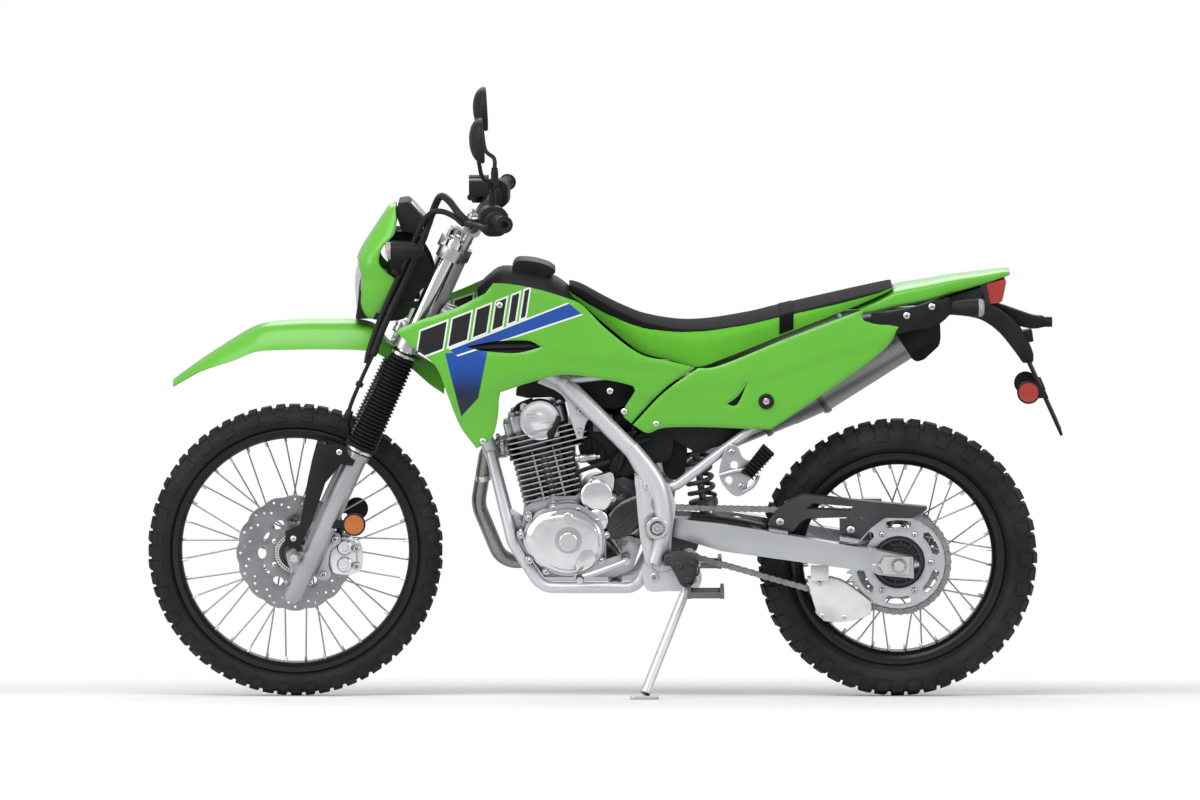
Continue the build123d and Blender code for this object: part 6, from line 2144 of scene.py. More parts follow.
def build_crankcase():
    """Crankcase, its covers on both sides, their screws and the sprocket's cover."""
    softened("crankcase", "frame", "cast_alloy", 1.6)
    covers = Form()
    # generator cover with its caps and screws
    rim = outline_rows(COVER_RIM, 8)
    covers.slab(rim, 60, 96, 3.0)
    cx, cz = GENERATOR
    domed = [Vector((cx + (x - cx) * 0.93, cz + (z - cz) * 0.93)) for x, z in rim]
    covers.panel(domed, lambda x, z: 115.5 - ((x - cx) ** 2 + (z - cz) ** 2) / 4200, 20, 9.0, 7.0)
    covers.spun([(112, 20), (116, 20), (117, 18.8)], (cx, 0, cz), steps=48)
    covers.spun([(108, 13), (115, 13), (116, 11.8)], (747, 0, 424), steps=40)
    oval = outline_rows(
        [
            (708, 352), (692, 350), (684, 336), (690, 320), (706, 306), (722, 302), (730, 310), (728, 326),
            (720, 342)
        ],
        7
    )
    covers.slab(oval, 96, 117, 3.4)
    for x, z in COVER_SCREWS:
        covers.spun([(60, 9.5), (98, 9.0), (100.5, 7.8)], (x, 0, z), steps=24)
    # starter gear covers
    covers.turned(
        [(90, 0.1), (90, 37.5), (93, 37.2), (96, 34.5), (97.6, 28), (98.2, 0.1)], (STARTER[0], 0, STARTER[1]),
        steps=64
    )
    covers.turned([(96, 0.1), (96, 26), (99, 25.6), (101.6, 22), (102, 0.1)], (682, 0, 416), steps=48)
    for a in (70, 190, 310):
        x, z = polar(STARTER, 37, a)
        covers.spun([(60, 8), (93, 8), (94.5, 6.8)], (x, 0, z), steps=24)
    covers.plate(
        [(700, 512), (672, 520), (650, 526), (642, 514), (646, 482), (660, 476), (700, 490)], 60, 90, 3.0, 8
    )
    # clutch cover on the right
    covers.turned(
        [
            (-106, 0.1), (-106, 89), (-109.5, 86), (-111, 78), (-111.6, 44), (-114.2, 41), (-116, 36),
            (-116.4, 0.1)
        ],
        (CLUTCH[0], 0, CLUTCH[1]), steps=96
    )
    covers.turned([(-70, 0.1), (-70, 33), (-76, 31.5), (-78, 26), (-78.4, 0.1)], (816, 0, 384), steps=48)
    clutch_screws = [polar(CLUTCH, 88, 20 + 40 * k) for k in range(9)]
    for x, z in clutch_screws:
        covers.spun([(-62, 9.5), (-108, 9.0), (-110.5, 7.8)], (x, 0, z), steps=24)
    make("engine_covers", covers, "frame", ["polished_alloy"])
    screws = Form()
    for x, z in COVER_SCREWS:
        screws.join(dome_bolt(5.6, 4.5, 12), at(x, 100.6, z))
    for x, z in clutch_screws:
        screws.join(dome_bolt(5.6, 4.5, 12), at(x, -110.6, z) @ FLIP)
    for a in (70, 190, 310):
        x, z = polar(STARTER, 37, a)
        screws.join(dome_bolt(5.0, 4.0, 12), at(x, 94.6, z))
    screws.spun([(116.6, 17), (117.5, 17)], (cx, 0, cz), steps=40)
    screws.spun([(115.6, 10), (116.5, 10)], (747, 0, 424), steps=32)
    screws.spun([(0, 11), (8, 11), (10, 9)], (700, 0, 282), (0, 0, -1), 6)
    make("engine_screws", screws, "frame", ["zinc_steel"])
    ribs = Form()
    leaf = outline_of(
        [
            (662, 384), (664, 404), (654, 430), (634, 452), (606, 468), (574, 476), (556, 470), (552, 456),
            (564, 430), (584, 404), (610, 382), (642, 372)
        ],
        (), 8
    )
    ribs.panel(leaf, lambda x, z: 98.4 - ((x - 610) ** 2 + (z - 424) ** 2) / 900, 8.0, 8.0, 3.5)
    for across, long in ((-15, 46), (-5, 78), (6, 84), (16, 56)):
        mid = Vector((608 - across * 0.64, 98.4, 424 - across * 0.77))
        ribs.block(mid, (long, 4.4, 3.4), 1.4, Matrix.Rotation(-atan2(86, -100), 3, "Y"))
    make("sprocket_leaf", ribs, "frame", ["gloss_black"], ["sprocket_cover"])
    backing = Form().slab(
        [(660, 500), (620, 512), (596, 500), (588, 440), (600, 372), (628, 330), (664, 318)], 50, 62, 3.0
    )
    make("sprocket_back", backing, "frame", ["dark_paint"])


def build_intake():
    """Air filter housing and the ribbed boot from it."""
    softened("airbox", "frame", "black_plastic", 3.0)
    boot = Form().tube(
        [(744, 0, 608), (722, 0, 612), (690, 0, 621), (640, 0, 634), (592, 0, 637)],
        lambda t: 25.5 + 3.5 * eased(0.5, 0.9, t) + 1.0 * sin(t * 44), 40, step=4
    )
    for x, z, r in ((732, 610, 27.4), (616, 636, 31.6)):
        boot.turned([(-4, r - 2), (-4, r), (4, r), (4, r - 2), (-4, r - 2)], (x, 0, z), (-0.97, 0, 0.24), 40)
    make("intake_boot", boot, "frame", ["soft_rubber"])


def build_behind():
    """Throttle body, hoses, battery tray and inner mudguard in the shade behind the engine."""
    throttle = Form().spun(
        [(-26, 30), (-22, 33), (-14, 33), (-12, 29), (14, 29), (16, 33), (24, 33), (26, 30)], (668, 0, 627),
        (-0.97, 0, 0.24), 36
    )
    throttle.block((668, 34, 632), (46, 34, 40), 5.0).block((672, -36, 640), (40, 30, 34), 5.0)
    throttle.tube([(676, 12, 650), (682, 14, 676), (684, 16, 690)], 8, 18, step=6)
    make("throttle_body", throttle, "frame", ["dark_steel"])
    tray = Form().plate(
        [
            (640, 560), (656, 530), (630, 512), (600, 516), (560, 540), (520, 548), (508, 590), (520, 640),
            (566, 620), (600, 600)
        ],
        -64, 64, 6.0, 12
    )
    tray.plate(
        [(420, 600), (372, 590), (300, 640), (240, 672), (236, 694), (300, 690), (420, 690)], -58, 58, 5.0, 12
    )
    tray.slab(
        [(770, 736), (712, 760), (640, 744), (600, 724), (606, 676), (640, 664), (700, 668), (752, 690)],
        -56, 56, 6.0
    )
    tray.slab(
        [(866, 694), (852, 726), (800, 738), (740, 738), (716, 706), (744, 676), (784, 690), (838, 688)],
        -46, 46, 5.0
    )
    tray.slab(
        [
            (742, 650), (704, 674), (640, 616), (596, 560), (604, 528), (648, 540), (668, 580), (704, 606),
            (740, 618)
        ],
        -44, 44, 5.0
    )
    tray.plate([(536, 612), (486, 606), (477, 560), (484, 514), (500, 500), (530, 518)], -38, 38, 4.0, 8)
    make("battery_tray", tray, "frame", ["black_plastic"])
    shade = Form().plate([
        (722, 604), (690, 612), (640, 570), (604, 536), (598, 486), (640, 492), (672, 520), (700, 536),
        (720, 560),
    ], -34, 34, 5.0, 10)
    for k in range(5):
        shade.block((700 - 16 * k, 36, 584 - 15 * k), (7, 10, 30), 2.0)
    make("inner_ducts", shade, "frame", ["soft_rubber"])
    sleeve = Form().spun(
        [(-2, 8), (6, 8), (8, 10), (24, 10), (26, 8.5), (44, 8.5), (46, 6), (54, 5.5)], (728, 62, 552),
        (-1, 0, 0.1),
        28
    )
    make("air_valve", sleeve, "frame", ["cast_alloy"])
    hoses = Form()
    for path, r in (
        ([(640, 60, 640), (628, 66, 600), (622, 68, 560), (634, 60, 524), (640, 50, 500)], 7.0),
        ([(700, 66, 660), (672, 74, 622), (640, 76, 596), (596, 72, 590), (560, 70, 600)], 5.5),
        ([(852, 30, 616), (868, 34, 640), (860, 40, 668), (826, 44, 684)], 6.0),
        ([(612, 62, 690), (598, 66, 640), (604, 68, 590), (590, 62, 548)], 4.5),
        ([(742, 58, 500), (724, 66, 522), (690, 72, 536), (652, 70, 548)], 5.0),
    ):
        hoses.tube(path, r, 16, step=7)
    make("engine_hoses", hoses, "frame", ["soft_rubber"])
    stays = Form()
    for side in (1, -1):
        y0, y1 = sorted((side * 74, side * 80))
        stays.plate([
            (816, 728), (777, 712), (754, 692), (740, 642), (726, 600), (714, 602), (704, 640), (680, 660),
            (696, 690), (740, 740), (800, 744),
        ], y0, y1, 1.5, 9, (0, 1, 4, 5, 7))
        for x, z in ((748, 702), (719, 664), (721, 616)):
            stays.spun([(76, 7.5), (85, 7.5), (86.5, 6), (86.5, 3.5), (84, 3)], (x, 0, z), (0, side, 0), 18)
    make("head_stays", stays, "frame", ["silver_paint"])


def build_exhaust():
    """Header, flange, silencer can, hood, bands and shield."""
    dress("exhaust_pipe", "header_steel")
    flange = Form().spun([(0, 27), (8, 27), (9.5, 25), (9.5, 18), (14, 17.6)], PORT, (1, 0, 0), 40)
    for z in (-22, 22):
        flange.spun(
            [(-8, 4), (10, 4), (10, 7.5), (17, 7.5), (18, 5)], (PORT[0], PORT[1], PORT[2] + z), (1, 0, 0), 6
        )
    for a, b in (((941, -50, 500), (940, -52, 488)), ((560, -139, 458), (548, -139, 465))):
        flange.tube([a, b], 18.2, 32)
    make("exhaust_flange", flange, "frame", ["zinc_steel"])
    start, end = Vector((298, -166, 592)), Vector((-74, -166, 830))
    long = (end - start).length
    can = Form().turned([
        (0, 17.5), (0, 20.5), (long * 0.02, 21.5), (long * 0.14, 31), (long * 0.15, 33), (long * 0.30, 42.5),
        (long * 0.30, 47), (long * 0.34, 47), (long * 0.345, 46), (long * 0.84, 46), (long * 0.84, 44),
        (long * 0.1, 20), (0, 17.5),
    ], start, end - start, 72)
    can.join(Form().block((0, -132, 840), (22, 6, 66), 2.0)).join(
        Form().block((0, -102, 869), (22, 58, 6), 2.0)
    )
    make("muffler_can", can, "frame", ["muffler_steel"], ["muffler"])
    cap = Form().turned([
        (long * 0.835, 44), (long * 0.835, 47.2), (long * 0.86, 47.4), (long * 0.95, 45.6),
        (long * 0.985, 41), (long, 36), (long, 19), (long * 0.985, 15.5), (long * 0.985, 12.5),
        (long * 0.9, 12.5), (long * 0.9, 20), (long * 0.835, 44),
    ], start, end - start, 72)
    hood = outline_rows(
        [
            (-4, 840), (-32, 872), (-80, 877), (-98, 862), (-101, 800), (-96, 781), (-64, 751), (-40, 749),
            (-10, 796)
        ],
        8, (1, 3, 5, 6)
    )
    cap.slab(hood, -196, -136, 7.0)
    make("muffler_cap", cap, "frame", ["black_plastic"])
    band = Form()
    for t in (0.005, 0.325):
        r = 22.5 if t < 0.1 else 48.5
        band.turned(
            [
                (long * t - 7, r - 2), (long * t - 7, r), (long * t - 5, r + 1.5), (long * t + 5, r + 1.5),
                (long * t + 7, r), (long * t + 7, r - 2), (long * t - 7, r - 2)
            ],
            start, end - start, 56
        )
        spot = start + (end - start) * t
        band.block(spot + Vector((0, r + 4, 0)), (14, 16, 11), 2.0)
    make("muffler_bands", band, "frame", ["dark_steel"])
    # shield on the outer side
    way = (end - start).normalized()
    side, over = Vector((0, -1, 0)), way.cross(Vector((0, -1, 0)))
    rows = []
    for i in range(25):
        t = 0.37 + 0.42 * i / 24
        reach = 54 - 12 * abs(i / 12 - 1) ** 4
        turns = [radians(reach * (-1 + k / 8)) for k in range(17)]
        rows.append([start + way * long * t + (side * cos(a) + over * sin(a)) * 49.5 for a in turns])
    make("muffler_shield", Form().shell(rows, -1.8), "frame", ["black_plastic"], crease=45)
    bolts = Form()
    for t in (0.42, 0.74):
        spot = start + way * long * t
        bolts.join(dome_bolt(7.0, 3.5), at(spot.x, spot.y - 50.5, spot.z) @ FLIP)
    make("shield_bolts", bolts, "frame", ["zinc_steel"])


# ---------------------------------------------------------------- drive and chassis
CHAIN_PITCH = 15.875
FRONT_SPROCKET = Vector((610, 73, 410))
REAR_SPROCKET = Vector((0, 73, 318))
TEETH = (14, 45)          # front and rear


def chain_pins(count):
    """Pins spread evenly round the two sprockets and the runs between them."""
    r_front, r_rear = (CHAIN_PITCH / 2 / sin(pi / t) for t in TEETH)
    gap = FRONT_SPROCKET - REAR_SPROCKET
    tilt, spread = atan2(gap.z, gap.x), acos((r_rear - r_front) / gap.length)
    top, low = tilt + spread, tilt - spread
    run = sqrt(gap.length_squared - (r_rear - r_front) ** 2)
    arc_front, arc_rear = r_front * (top - low), r_rear * (2 * pi - (top - low))
    total = 2 * run + arc_front + arc_rear

    def rim(centre, r, a):
        """A place on a pitch circle."""
        return centre + Vector((cos(a), 0, sin(a))) * r

    pins = []
    for k in range(count):
        s = total * k / count
        if s < run:
            pins.append(rim(REAR_SPROCKET, r_rear, top).lerp(rim(FRONT_SPROCKET, r_front, top), s / run))
        elif s < run + arc_front:
            pins.append(rim(FRONT_SPROCKET, r_front, top - (s - run) / r_front))
        elif s < 2 * run + arc_front:
            pins.append(rim(FRONT_SPROCKET, r_front, low).lerp(
                rim(REAR_SPROCKET, r_rear, low), (s - run - arc_front) / run
            ))
        else:
            pins.append(rim(REAR_SPROCKET, r_rear, low - (s - 2 * run - arc_front) / r_rear))
    return pins


def link(half_outer, half_inner, roller):
    """A chain link from one pin to the next along X: two waisted plates, with rollers or pins between."""
    outline = []
    for centre, start in ((CHAIN_PITCH / 2, -90), (-CHAIN_PITCH / 2, 90)):
        for k in range(7):
            a = radians(start + 30 * k)
            outline.append((centre + 6.9 * cos(a), 6.9 * sin(a)))
        outline.append((0, 5.2 if start == -90 else -5.2))
    form = Form()
    for side in (1, -1):
        y0, y1 = sorted((side * half_inner, side * half_outer))
        form.slab(outline, y0, y1)
    for x in (-CHAIN_PITCH / 2, CHAIN_PITCH / 2):
        reach = half_inner if roller else half_outer + 1.3
        form.spun([(-reach, roller or 2.6), (reach, roller or 2.6)], (x, 0, 0), steps=8)
    return form


GUARD_RIM = [
    (296, 405), (290, 420), (281, 430), (258, 453), (216, 472), (100, 459), (-64, 443), (-62, 438),
    (-30, 420), (106, 423), (206, 420), (222, 412), (236, 392), (250, 386), (280, 392),
]
GUIDE_RIM = [
    (206, 284), (152, 284), (123, 274), (83, 246), (62, 226), (62, 200), (95, 188), (140, 183), (169, 186),
    (186, 211), (200, 257),
]


def build_chain():
    """Every link of the chain, its guard and its guide."""
    pins = chain_pins(sizes().links)
    places = ([], [])
    for k, (a, b) in enumerate(zip(pins, pins[1:] + pins[:1])):
        turn = Matrix.Rotation(-atan2(b.z - a.z, b.x - a.x), 4, "Y")
        places[k % 2].append(Matrix.Translation((a + b) / 2) @ turn)
    form = repeated(link(5.7, 4.2, 4.9), places[0]).join(repeated(link(7.2, 5.8, 0), places[1]))
    make("drive_chain", form, "frame", ["chain_metal"], ["chain"], crease=30)
    guard = Form().panel(
        outline_of(GUARD_RIM, (0, 3, 4, 6, 7, 8, 9, 10, 14), 12), lambda x, z: 89.5, 3.4, 14.0, 0.8,
        holes=[outline_of([(208, 442), (110, 437), (104, 447), (196, 455)], range(4), 12)],
    )
    guard.panel(
        outline_of([(134, 420), (32, 421), (62, 398), (92, 366), (132, 370)], range(5), 12),
        lambda x, z: 88.5, 3.0,
        14.0, 0.8
    )
    guard.slab(
        [(258, 456), (216, 475), (100, 462), (-64, 446), (-64, 443), (100, 459), (216, 472), (258, 453)],
        64.5, 89.0
    )
    make("guard_plate", guard, "frame", ["dark_paint"], ["chain_guard"])
    fixings = Form()
    for x, z in ((268, 412), (108, 394)):
        fixings.join(dome_bolt(9.0, 4.0), at(x, 89.6, z))
        fixings.block((x + 4, 100, z - 20), (44, 30, 10), 2.0, Matrix.Rotation(radians(-9), 3, "Y"))
    make("guard_fixings", fixings, "frame", ["silver_arm"])
    guide = Form()
    for y0, y1 in ((86, 91), (55, 60)):
        guide.plate(GUIDE_RIM, y0, y1, 1.6, 7, (0, 1, 5, 8))
    guide.plate(
        [
            (188, 206), (168, 187), (140, 183), (96, 188), (70, 197), (72, 203), (98, 195), (140, 190),
            (164, 194), (182, 212)
        ],
        58, 88, 1.0, 8
    )
    guide.block((178, 93, 296), (40, 14, 34), 2.0)
    make("chain_slider", guide, "frame", ["white_plastic"], ["chain_guide"])
    fixings = Form()
    for x, z in ((172, 198), (122, 195), (178, 272)):
        fixings.join(dome_bolt(5.5), at(x, 91.2, z))
    make("slider_bolts", fixings, "frame", ["zinc_steel"])


SHOCK_LOW, SHOCK_HIGH = Vector((432, 0, 392)), Vector((478, 0, 690))
COIL_RADIUS, COIL_POINTS = 28.0, 24


def build_shock():
    """The rear shock and its spring."""
    line = SHOCK_HIGH - SHOCK_LOW
    long = line.length
    turns = sizes().coils
    side, over = square_to(line)
    path = []
    for k in range(turns * COIL_POINTS + 1):
        a = 2 * pi * k / COIL_POINTS
        share = 0.215 + 0.515 * k / (turns * COIL_POINTS)
        path.append(SHOCK_LOW + line * share + (side * cos(a) + over * sin(a)) * COIL_RADIUS)
    coil = Form().tube(path, 5.4, 12)
    make("shock_spring", coil, "frame", ["spring_paint"])
    body = Form().turned([
        (0.02 * long, 0.1), (0.02 * long, 11), (0.13 * long, 12), (0.14 * long, 30), (0.15 * long, 33.5),
        (0.19 * long, 33.5), (0.20 * long, 30), (0.20 * long, 8), (0.62 * long, 8), (0.62 * long, 21),
        (0.735 * long, 22), (0.74 * long, 33), (0.76 * long, 34), (0.80 * long, 33), (0.805 * long, 25),
        (0.82 * long, 24), (0.94 * long, 24), (0.955 * long, 20), (0.975 * long, 12), (0.98 * long, 0.1),
    ], SHOCK_LOW, line, 48)
    body.spun([(-20, 13), (20, 13)], SHOCK_HIGH, steps=32)
    body.spun([(-40.5, 11), (40.5, 11)], SHOCK_LOW + Vector((0, 0, 3)), steps=32)
    make("shock_body", body, "frame", ["dark_steel"], ["rear_shock"])


PIVOT = (545, 0, 404)     # of the swingarm
HANGER_RIM = [
    (520, 336), (510, 350), (484, 354), (462, 340), (456, 316), (462, 290), (476, 276), (492, 282),
    (504, 304),
]


def build_chassis():
    """Frame, swingarm, castings, stand, pegs, pedals and rear caliper."""
    dress("main_frame", "silver_paint")
    dress("subframe", "silver_paint")
    build_swingarm()
    build_castings()
    softened("side_stand", "side_stand", "silver_paint", 1.6)
    build_pegs()
    build_pedals()


def build_swingarm():
    """Swingarm with its slider, axle blocks, chain adjusters and nuts."""
    adjusters = Form()
    for x, r in ((-34, 8.5), (-40, 6.0)):
        adjusters.spun([(0, r), (6, r)], (x, 107, REAR_AXLE.z), (-1, 0, 0), 6)
    pad = Form().plate(
        [
            (470, 424), (400, 418), (340, 408), (328, 396), (334, 378), (352, 368), (384, 384), (430, 396),
            (470, 404)
        ],
        84, 99, 3.0, 8
    )
    pad.plate(
        [(470, 424), (400, 418), (340, 408), (300, 398), (300, 404), (340, 414), (400, 424), (470, 430)],
        60, 92, 1.5, 8
    )
    make("chain_pad", pad, "frame", ["soft_rubber"])
    ends = Form().panel(
        outline_of([(66, 306), (52, 340), (-32, 337), (-34, 288), (46, 296)], range(5), 9),
        lambda x, z: 122.3,
        3.0, 9.0, 1.0, holes=[outline_of([(44, 304), (44, 331), (16, 331), (16, 304)], range(4), 9)],
    )
    for z in (312, 323):
        ends.block((30, 122, z), (9, 3, 5), 0.8)
    make("axle_blocks", ends.mirrored(), "frame", ["silver_arm"])
    for x, r, long in ((14, 4.0, 46), (26, 7.5, 8), (40, 7.5, 7)):
        adjusters.spun([(0, r), (long, r)], (x, 119, REAR_AXLE.z), (1, 0, 0), 6 if r > 5 else 16)
    softened("swingarm", "frame", "silver_arm", 3.0)
    make("arm_adjusters", adjusters.mirrored(), "frame", ["zinc_steel"])
    nuts = Form()
    nuts.spun([(112, 27), (129, 25), (131, 23), (131, 17), (128.5, 15)], PIVOT, steps=48)
    nuts.spun([(128, 13.5), (136, 13.5), (138, 11.5), (138, 8), (135, 7)], PIVOT, steps=6)
    nuts.spun([(136, 14), (143, 14), (145, 12)], REAR_AXLE, steps=6)
    make("pivot_nuts", nuts.mirrored(), "frame", ["zinc_steel"])
    dress("pivot_bolt", "zinc_steel")
    dress("rear_axle", "zinc_steel")


def build_castings():
    """Pivot castings, spar feet and weld beads on the frame."""
    casting = Form()
    rim = [
        (568, 318), (572, 380), (578, 440), (584, 512), (560, 522), (528, 496), (514, 452), (522, 392),
        (526, 330), (542, 272), (560, 272)
    ]
    casting.panel(outline_of(rim, (), 9), lambda x, z: 113.4, 3.0, 10.0, 1.8, holes=[
        round_hole(548, 404, 30, 32), oval_hole(546, 306, pi / 2, 10, 20, 20),
        oval_hole(545, 354, pi / 2, 9, 12, 18),
        oval_hole(546, 462, pi / 2 + 0.3, 10, 18, 20),
    ])
    casting.plate(
        [(576, 320), (570, 262), (520, 258), (456, 262), (446, 300), (470, 320), (500, 312), (540, 300)],
        110.5, 114,
        1.4, 9
    )
    for x, z in ((552, 290), (566, 500), (470, 312)):
        casting.spun([(110, 10), (117, 10), (118.5, 8), (118.5, 5), (115, 4.6)], (x, 0, z), steps=24)
    make("pivot_castings", casting.mirrored(), "frame", ["silver_paint"])
    foot = Form().tube([
        (606, 100, 583), (570, 104, 540), (545, 108, 500), (533, 110, 450), (532, 111, 404), (538, 111, 360),
        (550, 110, 322),
    ], lambda t: 19.4 - 2.4 * eased(0.6, 1.0, t), 36, step=6)
    make("spar_feet", foot.mirrored(), "frame", ["silver_paint"])
    beads = Form()
    for a, b, r in (
        ((540, 103, 470), (543, 102, 488), 21.0), ((748, 82, 728), (764, 79, 738), 21.0),
        ((552, 97, 338), (549, 98, 352), 15.5)
    ):
        beads.tube([a, b], lambda t: r - 1.2 + 1.2 * abs(sin(t * pi)), 28, step=3)
    make("frame_welds", beads.mirrored(), "frame", ["silver_paint"])


def build_pegs():
    """Foot rests on their hangers."""
    hanger = Form().plate(
        [(530, 345), (500, 350), (462, 344), (450, 330), (470, 318), (530, 324)], 111.6, 168, 5.0, 8, (0, 5)
    )
    for y0, y1 in ((160, 167), (176, 183)):
        hanger.plate(HANGER_RIM, y0, y1, 2.0, 7)
    for x, z, r in ((496, 328, 9.0), (476, 294, 8.0), (468, 334, 6.0)):
        hanger.spun([(158, r), (186, r), (188, r - 2)], (x, 0, z), steps=24)
    hanger.tube([(468, 186, 334), (452, 187, 322), (456, 186, 304)], 2.4, 12, step=3)
    make("rest_hangers", hanger.mirrored(), "frame", ["dark_paint"], ["foot_rests"])
    peg = Form()
    for x in (474, 400):
        peg.block((x, 216, 272), (9, 72, 20), 1.5)
        for k in range(9):
            peg.block((x, 184 + 8 * k, 284), (8, 4, 5), 0.8)
    for y in (186, 216, 246):
        peg.block((437, y, 270), (74, 10, 14), 1.5)
    make("rest_pegs", peg.mirrored(), "frame", ["dark_steel"])


def build_pedals():
    """Shift pedal, brake pedal and rear caliper."""
    sleeve = Form()
    for k in range(5):
        y = 134 + 7.4 * k
        sleeve.spun([(y, 9), (y + 5, 9)], (720, 0, 291), steps=24)
    softened("shift_pedal", "frame", "zinc_steel", 1.0)
    make("shift_pedal_rubber", sleeve, "frame", ["soft_rubber"])
    treads = Form()
    for k in range(6):
        treads.block((704 + 7.2 * k, -170, 307.4), (3.4, 36, 4), 0.8)
    softened("brake_pedal", "frame", "zinc_steel", 1.0, extra=treads)
    pistons = Form().spun([(-86, 19), (-92, 17), (-93.5, 13)], (76, 0, 398), steps=32)
    softened("rear_caliper", "frame", "cast_alloy", 2.0, extra=pistons)


# ---------------------------------------------------------------- stage
GLOSSY_SHARE = 0.42       # how much of the white surround reflections see
SKY_LEVEL = 0.34          # the surround as a light
# name, direction from the machine, distance, size, power
LAMPS = (
    ("key", (0.35, 1.0, 1.15), 4.6, 3.6, 165.0), ("front_fill", (1.6, 0.9, 0.45), 4.8, 2.6, 70.0),
    ("rear_fill", (-1.5, 0.8, 0.7), 4.8, 2.6, 70.0), ("back", (0.0, -1.0, 0.9), 4.6, 3.0, 60.0),
)


def build_stage():
    """A pale floor, a white surround and four large lamps."""
    mesh = bpy.data.meshes.new("floor")
    mesh.from_pydata([(-8, -8, 0), (8, -8, 0), (8, 8, 0), (-8, 8, 0)], [], [(0, 1, 2, 3)])
    mesh.materials.append(finish("backdrop"))
    placed("floor", mesh)

    world = bpy.data.worlds.new("studio")
    bpy.context.scene.world = world
    world.use_nodes = True
    net = Net(world.node_tree)
    path = net.node("ShaderNodeLightPath").outputs
    sockets = {0: path["Is Camera Ray"], 1: path["Is Transmission Ray"]}
    seen = net.node("ShaderNodeMath", {"operation": "MAXIMUM"}, sockets)
    sockets = {0: path["Is Glossy Ray"], 1: GLOSSY_SHARE, 2: seen.outputs[0]}
    glossy = net.node("ShaderNodeMath", {"operation": "MULTIPLY_ADD", "use_clamp": True}, sockets)
    level = net.node(
        "ShaderNodeMapRange", None, {"Value": glossy.outputs[0], "To Min": SKY_LEVEL, "To Max": 1.0}
    )
    sockets = {"Color": (1, 1, 1, 1), "Strength": level.outputs[0]}
    net.node("ShaderNodeOutputWorld", None, {0: net.node("ShaderNodeBackground", None, sockets).outputs[0]})

    middle = BIKE @ Vector((680, 0, 500))
    for name, way, far, size, power in LAMPS:
        data = bpy.data.lights.new(name, "AREA")
        data.size, data.energy = size, power
        lamp = placed(name, data)
        spot = Vector(way).normalized() * far
        lamp.location = middle + spot
        lamp.rotation_euler = spot.to_track_quat("Z", "Y").to_euler()


VIEW_WIDTH = 2.728            # metres across the frame at the machine
VIEW_CENTRE = (674.5, 671.8)  # upright X and height at the middle of the frame
VIEW_FAR = 22.0               # metres, for a view almost without perspective
SENSOR_MM = 36.0


def build_camera():
    """A long lens square to the left side."""
    data = bpy.data.cameras.new("camera")
    data.sensor_width = SENSOR_MM
    data.lens = SENSOR_MM * VIEW_FAR / VIEW_WIDTH
    data.clip_end = 100.0
    camera = placed("camera", data)
    middle = BIKE @ Vector((VIEW_CENTRE[0], 0, 0))
    camera.location = (middle.x, middle.y + VIEW_FAR, VIEW_CENTRE[1] / 1000)
    camera.rotation_euler = (pi / 2, 0, pi)
    bpy.context.scene.camera = camera


# ---------------------------------------------------------------- sizes and colours
class MotorcycleColours(bpy.types.PropertyGroup):
    """The colours that a rider would choose."""
    green: FloatVectorProperty(
        name="Bodywork", description="Colour of the moulded bodywork", subtype="COLOR", size=3, min=0, max=1,
        default=(0.125, 0.46, 0.040),
    )


class MotorcycleSizes(bpy.types.PropertyGroup):
    """How many of what repeats."""
    fins: IntProperty(
        name="Fins", description="Cooling fins on the cylinder and its head", default=13, min=1, max=13
    )
    links: IntProperty(name="Links", description="Links in the drive chain", default=108, min=20)
    coils: IntProperty(name="Coils", description="Turns of the rear spring", default=7, min=2)


class MOTORCYCLE_OT_wheels(bpy.types.Operator):
    """Tyres, rims, spokes, hubs and discs"""
    bl_idname = "motorcycle.wheels"
    bl_label = "Wheels"

    def execute(self, context):
        for spec in (FRONT, REAR):
            build_tyre(spec)
            build_rim(spec)
            build_wheel_metal(spec)
        build_disc("front", FRONT_AXLE, 132.5, 16, FRONT_DISC_Y, "front_wheel", 46)
        build_sensor_ring(FRONT_DISC_Y)
        build_disc("rear", REAR_AXLE, 110.0, 14, REAR_DISC_Y, "rear_wheel", 40)
        build_sprocket()
        return {"FINISHED"}


class MOTORCYCLE_OT_bodywork(bpy.types.Operator):
    """Shrouds, side covers, tank, seat and tail"""
    bl_idname = "motorcycle.bodywork"
    bl_label = "Bodywork"

    def execute(self, context):
        build_bodywork()
        build_tank()
        build_seat()
        build_tail()
        return {"FINISHED"}


class MOTORCYCLE_OT_front_end(bpy.types.Operator):
    """Mudguard, headlight cowl and meter"""
    bl_idname = "motorcycle.front_end"
    bl_label = "Front end"

    def execute(self, context):
        build_fender()
        build_cowl()
        return {"FINISHED"}


class MOTORCYCLE_OT_fork(bpy.types.Operator):
    """Fork, clamps, guards, front brake, handlebar, controls and mirrors"""
    bl_idname = "motorcycle.fork"
    bl_label = "Fork and controls"

    def execute(self, context):
        build_fork()
        build_controls()
        return {"FINISHED"}


class MOTORCYCLE_OT_engine(bpy.types.Operator):
    """Finned cylinder, crankcase, covers, intake and exhaust"""
    bl_idname = "motorcycle.engine"
    bl_label = "Engine"

    def execute(self, context):
        build_cylinder()
        build_crankcase()
        build_intake()
        build_behind()
        build_exhaust()
        return {"FINISHED"}


class MOTORCYCLE_OT_drive(bpy.types.Operator):
    """Chain, guards, shock and chassis"""
    bl_idname = "motorcycle.drive"
    bl_label = "Drive and chassis"

    def execute(self, context):
        build_chain()
        build_shock()
        build_chassis()
        return {"FINISHED"}


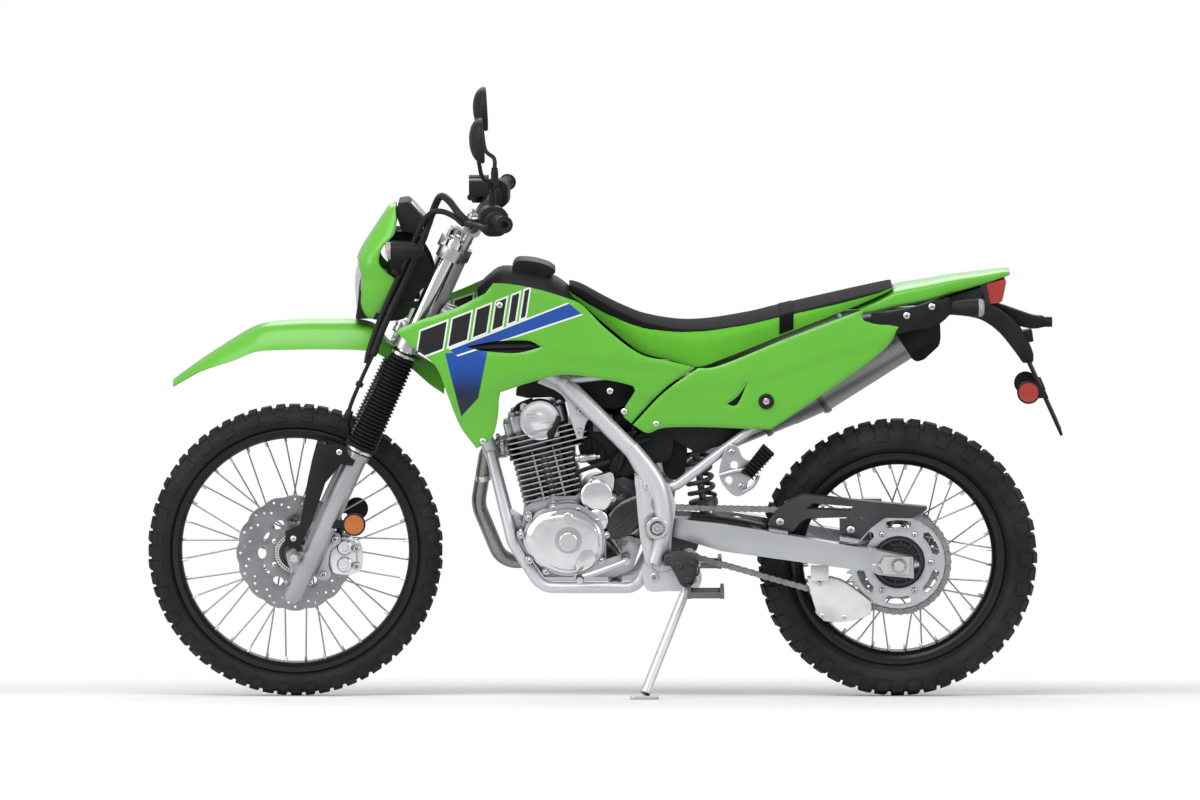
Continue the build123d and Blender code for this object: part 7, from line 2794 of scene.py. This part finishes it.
class MOTORCYCLE_OT_lamps(bpy.types.Operator):
    """Indicators, reflectors, tail lamp, rear mudguard and regulator"""
    bl_idname = "motorcycle.lamps"
    bl_label = "Lamps and rear end"

    def execute(self, context):
        build_signals()
        build_rear_end()
        return {"FINISHED"}


class MOTORCYCLE_OT_stage(bpy.types.Operator):
    """Floor, lamps and camera"""
    bl_idname = "motorcycle.stage"
    bl_label = "Stage"

    def execute(self, context):
        build_stage()
        build_camera()
        return {"FINISHED"}


OPERATORS = (
    MOTORCYCLE_OT_wheels, MOTORCYCLE_OT_bodywork, MOTORCYCLE_OT_front_end, MOTORCYCLE_OT_fork,
    MOTORCYCLE_OT_engine, MOTORCYCLE_OT_drive, MOTORCYCLE_OT_lamps, MOTORCYCLE_OT_stage,
)


class MOTORCYCLE_PT_panel(bpy.types.Panel):
    """The motorcycle's pieces"""
    bl_label = "Motorcycle"
    bl_idname = "MOTORCYCLE_PT_panel"
    bl_space_type = "VIEW_3D"
    bl_region_type = "UI"
    bl_category = "Motorcycle"

    def draw(self, context):
        self.layout.prop(colours(), "green")
        for name in ("fins", "links", "coils"):
            self.layout.prop(sizes(), name)
        for operator in OPERATORS:
            self.layout.operator(operator.bl_idname)


CLASSES = (MotorcycleColours, MotorcycleSizes, *OPERATORS, MOTORCYCLE_PT_panel)


def register():
    """Adds the classes and the scene's own properties."""
    for cls in CLASSES:
        bpy.utils.register_class(cls)
    bpy.types.Scene.motorcycle_colours = PointerProperty(type=MotorcycleColours)
    bpy.types.Scene.motorcycle_sizes = PointerProperty(type=MotorcycleSizes)


def unregister():
    """Removes what register added."""
    del bpy.types.Scene.motorcycle_sizes
    del bpy.types.Scene.motorcycle_colours
    for cls in reversed(CLASSES):
        bpy.utils.unregister_class(cls)


def main():
    """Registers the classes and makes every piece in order."""
    register()
    bpy.context.scene.view_settings.view_transform = "Standard"
    for operator in OPERATORS:
        group, name = operator.bl_idname.split(".")
        getattr(getattr(bpy.ops, group), name)()


if __name__ == "__main__":
    main()
